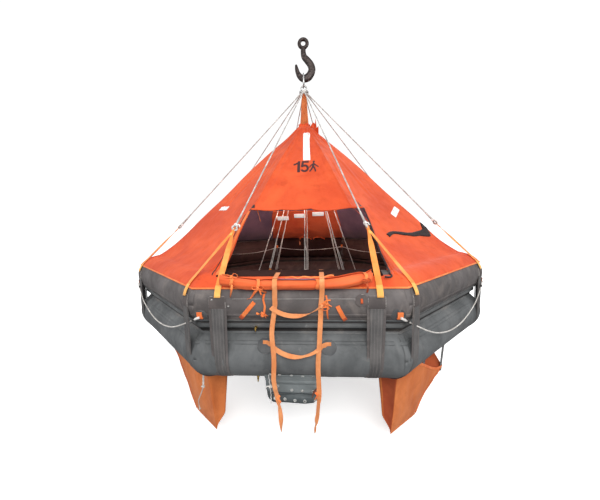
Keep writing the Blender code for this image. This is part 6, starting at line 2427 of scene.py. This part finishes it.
def pocket(word, k, m, drop, seed, shade):
    n, t = face_axes(k)
    c = 1.483 * math.tan(HALF)
    at = lambda a, s, z: n * a + t * (m * (s - c)) + V(0, 0, z)
    nv, no, ns = 34, 34, 8
    loop = [("o", j / (no - 1)) for j in range(no)] + [("e", j / (ns + 1)) for j in range(1, ns + 1)] \
        + [("i", 1 - j / (no - 1)) for j in range(no)] + [("w", j / (ns + 1)) for j in range(1, ns + 1)]
    rows, uv, kinds = [], [], []
    for i in range(nv):
        v = i / (nv - 1)
        s0 = 0.030 + 0.010 * math.sin(math.pi * v) * (1 if seed > 2 else -0.4)
        s1 = 0.785 + (0.400 - 0.785) * v - 0.020 * math.sin(math.pi * v)
        ao = 1.530 + (1.488 - 1.530) * v
        deep = (0.155 * (1 - v) + 0.060 * v) * (1 - float(smoothstep(v, 0.80, 1.0))) + 0.004
        ai = ao - deep
        row, ur = [], []
        per = 0.0
        for kind, f in loop:
            if kind == "o":
                s, a, w = s0 + (s1 - s0) * f, ao, 1.0
            elif kind == "i":
                s, a, w = s0 + (s1 - s0) * f, ai, -1.0
            elif kind == "e":
                s, a, w = s1, ao + (ai - ao) * f, 1 - 2 * f
            else:
                s, a, w = s0, ai + (ao - ai) * f, -1 + 2 * f
            fs = (s - 0.030) / 0.755
            z_out = under(1.530) - drop * float(smoothstep(fs, 0.24, 0.98))
            z_in = under(1.375)
            front = 0.5 + 0.5 * w
            z_top = z_in + (z_out - z_in) * front
            z_bot = -0.458 - 0.034 * (s - 0.030) / 0.37
            z = z_top + (z_bot - z_top) * v
            # folds: long ones running down from the rim, finer ones near the hem
            g = noise.noise(V(fs * 6.0 + seed, v * 1.1 + (3.0 if w < 0 else 0.0), seed)) * 0.55 \
                + noise.noise(V(fs * 14.0 - seed, v * 2.0, 4.0 + seed)) * 0.26 \
                + 0.30 * math.sin(fs * 19 + 3.5 * v + seed) * (0.5 + 0.5 * noise.noise(V(fs * 3, v * 2, seed)))
            amp = 0.0205 * math.sin(math.pi * min(1.0, 0.10 + 0.86 * v)) ** 0.7 * (1 - 0.55 * v)
            belly = 0.016 * math.sin(math.pi * v) * math.sin(math.pi * min(max(fs / (0.98 - 0.5 * v), 0), 1))
            if kind == "o":
                a += amp * g + belly
            elif kind == "i":
                a += amp * g * 0.8 - belly * 0.6
                a = min(a, ao + amp * g - 0.006 if v < 0.98 else a)
            elif kind == "e":
                s += 0.45 * amp * g - 0.010 * math.sin(math.pi * f) * (1 - v)
            else:
                s += -0.45 * amp * g + 0.014 * math.sin(math.pi * f) * math.sin(math.pi * v)
            if v < 0.12:
                z = min(z, under(a) if a > 1.31 else 0.04)
            row.append(tuple(at(a, s, z)))
            if i == 0:
                kinds.append(kind)
            ur.append((len(ur) * 0.0165, v * 0.5))
        ur.append((len(ur) * 0.0165, v * 0.5))
        rows.append(row)
        uv.append(ur)
    cols = len(loop)
    cm = np.zeros((nv - 1, cols), int)
    # painted shade: with shade set, the side wall at s0 takes the darker pocket colour, as do all inner faces through
    # the solidify below
    if shade:
        for j, kd in enumerate(kinds):
            if kd == "w":
                cm[:, j] = 1
    body = grid("water_pocket_bag_" + word, rows, [M["pocket"], M["pocket_in"], M["pocket_in"]], uv=np.array(uv), wrap=True,
                cell_mats=cm, slot="pocket_cloth", flip=m > 0)
    area_ = sum(p.area for p in body.data.polygons)
    solidify(body, 0.0016, 0.0, inner=1)
    P = np.array(rows)
    extra = []
    # hem along the lower edge and up the outer end
    low = [Vector(P[-1, j]) + V(0, 0, -0.004) for j in range(0, no)]
    low = smooth_path(low, 40)
    extra.append(strap("pocket_hem_" + word, low, V(0, 0, 1), 0.020, M["pocket"], 0.0044, slot="pocket_cloth", cols=7))
    rim = [Vector(P[0, j]) + n * 0.0016 + V(0, 0, -0.010) for j in range(int(no * 0.24), no)]
    extra.append(strap("pocket_rim_" + word, smooth_path(rim, 40), V(0, 0, 1), 0.020, M["tape"], 0.0030, slot="orange_webbing", cols=7))
    edge = [Vector(P[i, no - 1]) + t * (m * 0.002) + n * 0.001 for i in range(0, nv)]
    extra.append(strap("pocket_edge_" + word, smooth_path(edge, 46), n, 0.014, M["pocket"], 0.0030, slot="pocket_cloth", cols=7))
    # dark rubber lugs that hold the bag to the tube
    for q, (s, a_top, zt, long_) in enumerate(((0.770, 1.545, under(1.545), 0.050 + drop), (0.44, 1.540, under(1.540), 0.022 + drop * 0.42),
                                               (0.050, 1.538, under(1.538), 0.030))):
        p0 = at(a_top + 0.040, s, under(a_top + 0.040) - 0.0015)
        p1 = at(a_top + 0.006, s, zt - 0.002)
        p2 = at(a_top - 0.010, s - 0.004 * q, zt - long_ * 0.6)
        p3 = at(a_top - 0.013, s - 0.006, zt - long_)
        extra.append(strap("pocket_lug_%s_%d" % (word, q), smooth_path([p0, p1, p2, p3], 14), t, [0.050 - 0.014 * x / 13 for x in range(14)],
                           M["patch_dark"], 0.0034, slot="tube_rubber", cols=7))
    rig.replaces(body, "water_pocket_" + word)
    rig.sheet(body, flat=(1.80, 0.52), held="hung", rests_on=["lower_buoyancy_tube"], area=round(min(max(area_, 0.29), 0.93), 3),
             with_pieces=extra)
    return at


at_fl = pocket("front_left", 7, -1.0, 0.030, 1.3, False)
at_fr = pocket("front_right", 1, 1.0, 0.215, 2.9, True)
at_bl = pocket("back_left", 5, 1.0, 0.090, 5.2, False)
at_br = pocket("back_right", 3, -1.0, 0.150, 7.7, False)

# white cord with a thick knotted part that hangs in front of two of the pockets
for word, at_ in (("front_left", at_fl), ("back_right", at_br)):
    pts = [at_(1.556, 0.045, under(1.556) - 0.006), at_(1.560, 0.048, -0.050), at_(1.561, 0.060, -0.115),
           at_(1.556, 0.125, -0.205), at_(1.550, 0.190, -0.285), at_(1.545, 0.205, -0.330), at_(1.543, 0.200, -0.365)]
    pts = smooth_path(pts, 44)
    cord = rope("pocket_cord_" + word, pts, 0.0042, M["line"], slot="white_rope")
    dense = even(pts, count=100)
    tot = length_of(dense)
    sl = even(dense[1:int(0.115 / tot * 99)], count=22)
    sleeve = rope("pocket_cord_twist_" + word, sl, 0.0082, M["sleeve"], pitch=0.030, per=8, around=14, radii=[0.7, 1, 0.9, 1.05, 0.85, 1.1, 0.7])
    kn = knot("pocket_cord_knot_" + word, dense[int(0.118 / tot * 99)], sl[-1] - sl[-2], 0.010, 0.0046, M["line"])
    end = dense[-1]
    kn2 = knot("pocket_cord_end_" + word, end - V(0, 0, 0.002), V(0, 0, 1), 0.0062, 0.0036, M["line"])
    path = [tuple(p + DROP) for p in pts]
    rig.cord(cord, exit=path[0], length=round(length_of(pts), 3), diameter=0.0084, far_end="knot", stiffness="limp",
            lay="hanging", path=path, with_pieces=[sleeve, kn, kn2])


# painted shade: a dark sheet over the top of the tube inside both doorways, standing for the shade that lies there, its
# inner edge hanging free
for k in (0, 4):
    n, t = face_axes(k)
    rows, uv = [], []
    for i in range(20):
        f = i / 19
        deg = 62.0 + (214.0 - 62.0) * f
        row, ur = [], []
        for j in range(48):
            s = -1 + 2 * j / 47
            a = TUBE_A + (TUBE_R + 0.0060) * math.cos(math.radians(deg))
            half = min(0.545, a * math.tan(HALF) - 0.020)
            lift = 0.0060 + 0.0022 * math.sin(17 * s + 3 * f + k) * math.sin(math.pi * min(1, f * 1.1)) \
                + 0.0100 * float(smoothstep(f, 0.70, 1.0)) * (1 + 0.6 * math.sin(23 * s + k))
            g = math.radians(deg)
            row.append(tuple(on_face(k, TUBE_A + (TUBE_R + lift) * math.cos(g), s * half, UPPER_Z + (TUBE_R + lift) * math.sin(g))))
            ur.append((s * half, f * 0.40))
        rows.append(row)
        uv.append(ur)
    ob = grid("doorway_painted_shade_" + PANELS[k], rows, M["skirt"], uv=np.array(uv), slot="canopy_cloth")
    sk_area = sum(p.area for p in ob.data.polygons)
    solidify(ob, 0.0014, 0.0)
    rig.sheet(ob, flat=(1.10, 0.50), held="laid", rests_on=["upper_buoyancy_tube"], area=round(min(sk_area, 0.545), 3))


# ================================================================ gas bottle and its pouch
SEC = [(1.6195, 0.066), (1.6050, 0.030), (1.5950, 0.004), (1.5900, -0.012), (1.5800, -0.040), (1.5720, -0.070), (1.5640, -0.100),
       (1.5500, -0.118), (1.5570, -0.134), (1.5600, -0.150), (1.5560, -0.172), (1.5400, -0.186), (1.5000, -0.190), (1.4000, -0.181),
       (1.2800, -0.174), (1.1600, -0.166), (1.0850, -0.150), (1.0500, -0.110), (1.0420, -0.050), (1.0400, 0.0425)]


def pouch_edges(z):
    l = float(np.interp(-z, [-0.066, 0.108, 0.175, 0.19], [-0.234, -0.239, -0.216, -0.190]))
    r = float(np.interp(-z, [-0.066, 0.006, 0.185, 0.20], [0.136, 0.135, 0.112, 0.060]))
    return l, r


def sec_top(a):
    return under(a, LOWER_Z, 0.001) if a > 1.362 else 0.0435


def build_pouch():
    sec = smooth_path([V(a, 0, z) for a, z in SEC], 96)
    rows, uv = [], []
    run = 0.0
    cols = 48
    for i, p in enumerate(sec):
        if i:
            run += (p - sec[i - 1]).length
        a, z = p.x, p.z
        d = (sec[min(i + 1, 95)] - sec[max(i - 1, 0)]).normalized()
        nx, nz = -d.z, d.x
        l, r = pouch_edges(z)
        row, ur = [], []
        for j in range(cols):
            s = j / (cols - 1)
            s = 0.5 - 0.5 * math.cos(math.pi * s) * (1 - 0.35) - 0.35 * (0.5 - s)
            u = l + (r - l) * s
            e = min(s, 1 - s) * (r - l)
            tuck = 0.016 * math.exp(-(e / 0.016) ** 2) * (0.0 if z > 0.02 and a > 1.5 else 1.0)
            w = 0.0035 * noise.noise(V(u * 8, z * 12 + a * 3, 1.0)) + 0.0022 * noise.noise(V(u * 20, z * 30, a * 5))
            if -0.135 < z < -0.09 and a > 1.5:
                w += -0.014 * math.exp(-((z + 0.118 + 0.012 * math.sin(u * 9)) / 0.009) ** 2) * (0.6 + 0.4 * math.sin(u * 16 + 1))
            if a > 1.5 and -0.045 < z < 0.02:
                w += 0.0095 * math.exp(-((z + 0.006 + 0.03 * (u + 0.05)) / 0.006) ** 2) - 0.007 * math.exp(-((z + 0.026 + 0.03 * u) / 0.007) ** 2)
            droop = -0.006 * math.exp(-((u - 0.02) / 0.09) ** 2) if z < -0.165 else 0.0
            q = on_face(0, a + nx * (w - tuck), u, z + nz * (w - tuck) + droop)
            if z > 0.02 and a > 1.5:
                mn = TUBE_R + 0.0030
                da, dz = -q.y - TUBE_A, q.z - LOWER_Z
                dd = math.hypot(da, dz)
                if dd < mn:
                    q.y = -(TUBE_A + da / dd * mn)
                    q.z = LOWER_Z + dz / dd * mn
            row.append(tuple(q))
            ur.append((u, run))
        rows.append(row)
        uv.append(ur)
    cm = np.zeros((95, cols - 1), int)
    for i in range(95):
        if sec[i].x > 1.5 and sec[i].z > -0.112:
            cm[i, :] = 1
    shell = grid("pouch_shell", rows, [M["pouch"], M["pouch_flap"]], uv=np.array(uv), cell_mats=cm, smooth=True)
    P = np.array(rows)
    solid = [shell]
    # side walls
    for tag, j, sgn in (("l", 0, -1), ("r", cols - 1, 1)):
        idx = [i for i in range(96) if P[i, j, 2] < 0.043 or True]
        rws = []
        for i in range(8, 96):
            b = Vector(P[i, j])
            a = -b.y
            top = V(b.x, b.y, max(sec_top(min(a, 1.60)), b.z) if i < 90 else b.z)
            rws.append([tuple(b.lerp(top, f) + V(-sgn * 0.012 * math.sin(math.pi * f) * noise.noise(V(a * 9, f * 2, sgn)) - sgn * 0.003 * math.sin(math.pi * f), 0, 0))
                        for f in np.linspace(0, 1, 10)])
        solid.append(grid("pouch_side_" + tag, rws, M["pouch"]))
    ob = join("gas_bottle_pouch_cloth", solid, "pouch_fabric")
    solidify(ob, 0.0022, 0.0)
    return ob, P


pouch, PP = build_pouch()
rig.replaces(pouch, "gas_bottle_pouch")
pouch_tree = BVHTree.FromPolygons([tuple(v.co - DROP) for v in pouch.data.vertices], [tuple(p.vertices) for p in pouch.data.polygons])


def pouch_at(u, z, lift=0.003):
    hit = pouch_tree.ray_cast(V(u, -2.2, z), V(0, 1, 0))
    if hit[0] is None:
        return V(u, -1.57, z), V(0, -1, 0)
    nn = hit[1] if hit[1].y < 0 else -hit[1]
    return hit[0] + nn * lift, nn


eyelets = []
spots = [(-0.190, 0.052), (-0.130, 0.047), (-0.052, 0.042), (0.021, 0.033), (0.092, 0.026), (-0.154, -0.044), (-0.058, -0.076), (0.014, -0.082),
         (0.088, -0.086), (-0.177, -0.145), (-0.108, -0.150), (-0.039, -0.158), (0.029, -0.163), (0.099, -0.160)]
for q, (u, z) in enumerate(spots):
    p, nn = pouch_at(u, z, 0.0022)
    if q < 5:
        p = on_tube(u, z + 0.024, 0.0085, 0, LOWER_Z)
        nn = (p - V(u, -TUBE_A, LOWER_Z)).normalized()
    eyelets.append(ring("e%d" % q, p, nn, 0.0082 if q != 4 else 0.0088, 0.0036 if q != 4 else 0.0024, M["eyelet"], 20, 8, squash=0.6))
    disc = []
    a_ = (V(1, 0, 0) - nn * nn.x).normalized()
    b_ = nn.cross(a_)
    for f in (0.15, 1.0):
        disc.append([tuple(p + nn * (0.0024 - 0.0016 * f) + (a_ * math.cos(g) + b_ * math.sin(g)) * (0.0066 * f)) for g in np.linspace(0, 2 * math.pi, 13)[:-1]])
    eyelets.append(grid("h%d" % q, disc, M["dark"] if q in (4, 8, 12) else M["eyelet"], wrap=True, caps=True))
join("pouch_eyelets", eyelets, "galvanised_steel")
lace = []
line = []
for i in range(24):
    z = 0.062 - 0.236 * i / 23
    y = min(pouch_at(u, z, 0.0)[0].y for u in (-0.212, -0.200, -0.188)) - 0.0085
    line.append(V(-0.203 + 0.0015 * math.sin(i * 1.9), y, z))
line = [V(p.x, 0.5 * p.y + 0.5 * min(q.y for q in line[max(i - 2, 0):i + 3]), p.z) for i, p in enumerate(line)]
lace.append(rope("lace_a", smooth_path(line, 60), 0.0036, M["sleeve"], per=6, around=10))
p = line[10] + V(0, -0.004, 0)
lace.append(knot("lk", p, V(0, 0, 1), 0.011, 0.0044, M["line"]))
lace.append(strap("lt", smooth_path([p, p + V(-0.020, -0.006, 0.006), p + V(-0.030, -0.004, -0.012)], 10), V(0, 0, 1), 0.006, M["sleeve"], 0.0014, cols=5))
join("pouch_lacing", lace, "white_rope")
c, nn = pouch_at(0.088, -0.086, 0.008)
strap("pouch_tie", smooth_path([c + V(0.022, -0.004, 0.030), c + V(0.004, -0.010, 0.004), c + V(-0.004, -0.008, -0.022), c + V(-0.006, -0.004, -0.036)], 20),
      X, [0.008, 0.009, 0.010, 0.011, 0.012, 0.013, 0.014, 0.015, 0.015, 0.015, 0.014, 0.013, 0.013, 0.012, 0.012, 0.011, 0.011, 0.010, 0.010, 0.009],
      M["brown_tape"], 0.0024, slot="orange_webbing", twist=np.linspace(0, 0.8, 20))
strap("pouch_flap_edge", smooth_path([pouch_at(u, -0.106 - 0.010 * math.sin(u * 9), 0.0035)[0] for u in np.linspace(-0.228, 0.118, 22)], 40),
      Z, 0.009, M["pouch"], 0.0030, slot="pouch_fabric", cols=5)
# two straps hold the pouch up under the floor
for q, u in enumerate((-0.150, 0.062)):
    line = []
    for a, z in ((1.595, 0.030), (1.600, 0.020), (1.592, -0.010)):
        pass
    pts = [V(u, y, z) for y, z in ((-1.030, 0.040), (-1.034, -0.050), (-1.044, -0.112), (-1.082, -0.156), (-1.160, -0.1715), (-1.280, -0.1795),
                                   (-1.400, -0.1865), (-1.485, -0.1945))]
    strap("pouch_strap_%d" % q, smooth_path(pts, 60), X, 0.030, M["patch_dark"], 0.0024, slot="tube_rubber")

bot = V(-0.045, -1.0395, -0.085)
bottle = lathe("gas_bottle_body", bot, (0, 1, 0), [(0.0, 0.0), (0.045, 0.001), (0.062, 0.008), (0.0695, 0.022), (0.070, 0.034), (0.070, 0.086),
               (0.0690, 0.096), (0.0620, 0.110), (0.047, 0.119), (0.030, 0.123), (0.020, 0.126), (0.018, 0.130), (0.018, 0.142), (0.0165, 0.144)],
               "bottle", 40, "bottle_paint")
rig.replaces(bottle, "gas_bottle")
valve = [lathe("v0", bot + V(0, 0.143, 0), (0, 1, 0), [(0.012, 0.0), (0.0165, 0.001), (0.0165, 0.012), (0.012, 0.014), (0.011, 0.030), (0.013, 0.031),
                                                     (0.013, 0.036), (0.009, 0.038)], "brass", 24),
         lathe("v1", bot + V(0, 0.160, 0), (1, 0, 0.35), [(0.008, 0.0), (0.008, 0.026), (0.0105, 0.027), (0.0105, 0.040), (0.007, 0.041)], "brass", 20),
         lathe("v2", bot + V(0, 0.160, 0), (-1, 0, 0.2), [(0.007, 0.0), (0.007, 0.020), (0.009, 0.021), (0.009, 0.028), (0.006, 0.029)], "brass", 20)]
join("bottle_valve", valve, "galvanised_steel")
v_out = bot + V(0, 0.160, 0) + V(1, 0, 0.35).normalized() * 0.041
hose = smooth_path([v_out, v_out + V(0.045, 0.000, 0.016), V(0.165, -0.930, -0.030), V(0.215, -1.050, -0.014), V(0.228, -1.200, -0.004),
                    V(0.226, -1.310, 0.010), V(0.222, -1.385, 0.0225), V(0.220, -1.412, 0.0165)], 60)
ob = round_tube("inflation_hose", hose, 0.0065, M["dark"], 12, slot="tube_rubber")
fit = lathe("hose_fitting", V(0.220, -1.412, 0.0155), (0, -0.25, 1), [(0.010, -0.016), (0.015, -0.014), (0.015, -0.004), (0.024, -0.003), (0.026, 0.002), (0.024, 0.004)],
            "brass", 24)
path = [tuple(p + DROP) for p in hose]
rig.cord(ob, exit=path[0], length=round(length_of(hose), 3), diameter=0.013, far_end="object", stiffness="medium", lay="loose",
        path=path, with_pieces=[fit])


# ================================================================ inflated floor
def build_floor():
    A = 1.300
    rings = 44
    cols = []
    for k in range(SIDES):
        for i in range(26):
            cols.append((k, -1 + 2 * i / 26))
    def oct_pt(f, k, s, z):
        return on_face(k, A * f, s * A * f * math.tan(HALF), z)
    def quilt(p):
        x, y = p.x / 0.217, p.y / 0.217
        dx, dy = x - round(x), y - round(y)
        return math.exp(-(dx * dx + dy * dy) / 0.020)
    rows, cm = [], []
    fs = list(np.linspace(0.004, 0.985, rings))
    edge = [(1.0 + 0.0000, 0.30), (1.004, 0.5), (1.0, 0.70)]
    for f in fs:                                        # underside, from the middle out
        row = []
        for k, s in cols:
            p = oct_pt(f, k, s, 0)
            rim = float(smoothstep(f, 0.90, 0.985))
            row.append(tuple(oct_pt(f, k, s, 0.047 + 0.010 * quilt(p) * (1 - rim) + 0.012 * rim + 0.0012 * noise.noise(p * 6))))
        rows.append(row)
    for f, h in edge:
        rows.append([tuple(oct_pt(f - 0.002, k, s, 0.059 + (0.106 - 0.059) * h)) for k, s in cols])
    n_under = len(rows) - 2
    for f in reversed(fs):
        row = []
        for k, s in cols:
            p = oct_pt(f, k, s, 0)
            rim = float(smoothstep(f, 0.90, 0.985))
            row.append(tuple(oct_pt(f, k, s, 0.118 - 0.014 * quilt(p) * (1 - rim) - 0.012 * rim + 0.0015 * noise.noise(p * 6 + V(3, 0, 0)))))
        rows.append(row)
    # the top takes the dark brown painted shade, the underside the grey rubber
    cm = [[1] * len(cols) if i < n_under else [0] * len(cols) for i in range(len(rows) - 1)]
    uv = []
    for row in rows:
        uv.append([(p[0], p[1]) for p in row] + [(row[0][0], row[0][1])])
    ob = grid("inflated_floor", rows, [M["floor_top"], M["floor_under"]], uv=np.array(uv), wrap=True, caps=True, cell_mats=cm, slot="floor_rubber")
    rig.replaces(ob, "floor")
    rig.padded(ob, 1.0)
    return ob


build_floor()
tub = lambda a, lift: under(a, LOWER_Z, lift)
low_flap = [(1.262, 0.0445), (1.290, 0.0435), (1.320, 0.0425), (1.345, 0.0418), (1.362, 0.0405)] \
    + [(a, tub(a, 0.0012)) for a in (1.375, 1.390, 1.405, 1.418)]
ring_profile("floor_flange_under", low_flap, M["floor_under"], thickness=0.0016, ripple=0.0012, slot="floor_rubber")
top_of = lambda a: LOWER_Z - math.sqrt((TUBE_R + 0.0012) ** 2 - (a - TUBE_A) ** 2)
up_flap = [(1.258, 0.1195), (1.280, 0.1200), (1.296, 0.1250), (1.3035, 0.1350), (1.3005, 0.1600), (1.2992, 0.1850)]
# the upper flange has the same painted shade as the floor's top
ring_profile("floor_flange_top", up_flap, M["floor_top"], thickness=0.0016, ripple=0.0008, slot="floor_rubber")

# a strap across the underside, for turning the raft over, with its patches
for q, (axis, cross) in enumerate(((V(0, 1, 0), V(1, 0, 0)),)):
    pts = []
    for i in range(70):
        f = -1 + 2 * i / 69
        yy = f * 1.36
        if abs(yy) < 1.30:
            z = 0.0400 - 0.016 * (1 - (yy / 1.30) ** 2)
        else:
            z = 0.0400 - (abs(yy) - 1.30) * 0.02
        pts.append(V(0.62 + 0.004 * math.sin(9 * f), yy * 0.90, z))
    strap("righting_strap", pts, cross, 0.045, M["leg"], 0.0026, slot="orange_webbing")
    for sy in (-1, 1):
        for f_ in (0.30, 0.62):
            c = V(0.62, sy * 1.224 * f_, 0.0455)
    for sy in (-1, 1):
        disc = []
        c = V(0.62, sy * 1.19, 0.0440)
        for f, h in ((0.05, -0.0040), (0.5, -0.0040), (0.9, -0.0034), (1.0, -0.0008), (1.0, 0.002)):
            disc.append([tuple(c + V(math.cos(g) * 0.085 * f, math.sin(g) * 0.085 * f, h)) for g in np.linspace(0, 2 * math.pi, 33)[:-1]])
        grid("righting_patch_%d" % sy, disc, M["patch_dark"], wrap=True, caps=True)
# loop handles on the righting strap
for q, yy in enumerate((-0.66, -0.22, 0.22, 0.66)):
    c = V(0.62, yy, 0.030)
    lp = [c + V(0, -0.075, 0.006), c + V(0, -0.060, -0.006), c + V(0, -0.020, -0.026), c + V(0, 0.020, -0.026), c + V(0, 0.060, -0.006), c + V(0, 0.075, 0.006)]
    strap("righting_loop_%d" % q, smooth_path(lp, 26), X, 0.030, M["tape"], 0.0024, slot="orange_webbing")


# ================================================================ inside the raft, rear tube
for q, (x0, x1, h) in enumerate(((-0.165, 0.040, 0.046), (0.062, 0.262, 0.038))):
    pts = []
    for i in range(13):
        f = i / 12
        pts.append(V(x0 + (x1 - x0) * f, 1.400 - 0.012 * math.sin(math.pi * f), 0.7165 + 0.006 + h * (4 * f * (1 - f)) ** 0.7 + 0.006 * math.sin(5 * f + q)))
    strap("inside_handle_%d" % q, smooth_path(pts, 44), V(0, 0, 1), 0.022, M["tape_dark"], 0.0028, slot="orange_webbing",
          twist=0.35 * np.sin(np.linspace(0, 6, 44) + q))
    for xx in (x0, x1):
        disc = []
        c = V(xx, 1.400, 0.0)
        for f in (0.05, 0.5, 0.9, 1.0):
            row = []
            for g in np.linspace(0, 2 * math.pi, 25)[:-1]:
                x_, y_ = xx + 0.034 * f * math.cos(g), 1.400 + 0.034 * f * math.sin(g)
                d_ = y_ - TUBE_A
                row.append((x_, y_, UPPER_Z + math.sqrt((TUBE_R + (0.0035 if f < 0.95 else 0.0008)) ** 2 - d_ * d_)))
            disc.append(row)
        grid("inside_handle_patch_%d_%d" % (q, int(xx * 100)), disc, M["patch_dark"], wrap=True, caps=False)

# ================================================================ orange tabs that carry the outer lifeline
ph = math.asin((TAB_Z - UPPER_Z) / TUBE_R)
for k, us in ((0, (-0.632, 0.632)), (4, (-0.632, 0.632))):
    n, t = face_axes(k)
    out = n * math.cos(ph) + V(0, 0, math.sin(ph))
    down = (V(0, 0, -1) * math.cos(ph) + n * math.sin(ph)).normalized()
    for q, u in enumerate(us):
        at = on_face(k, TUBE_A + (TUBE_R + 0.003) * math.cos(ph), u, UPPER_Z + (TUBE_R + 0.003) * math.sin(ph))
        webbing_tab("lifeline_tab_%d_%d" % (k, q), at, out, down, 0.036, 0.070, "tape")
for c in (2, 3, 6, 7):
    d = corner_dir(c)
    rr = (TUBE_A + (TUBE_R + 0.003) * math.cos(ph)) / math.cos(HALF)
    out = (d * math.cos(ph) + V(0, 0, math.sin(ph))).normalized()
    down = (V(0, 0, -1) * math.cos(ph) + d * math.sin(ph)).normalized()
    webbing_tab("lifeline_tab_c%d" % c, d * rr + V(0, 0, UPPER_Z + (TUBE_R + 0.003) * math.sin(ph)), out, down, 0.036, 0.070, "tape")


# ================================================================ sizes
new_lo, new_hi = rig.bounds()
with open("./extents.json", "w") as fh:
    json.dump({"cad": [[float(v) for v in cad_lo], [float(v) for v in cad_hi]],
               "visual": [[float(v) for v in new_lo], [float(v) for v in new_hi]]}, fh)
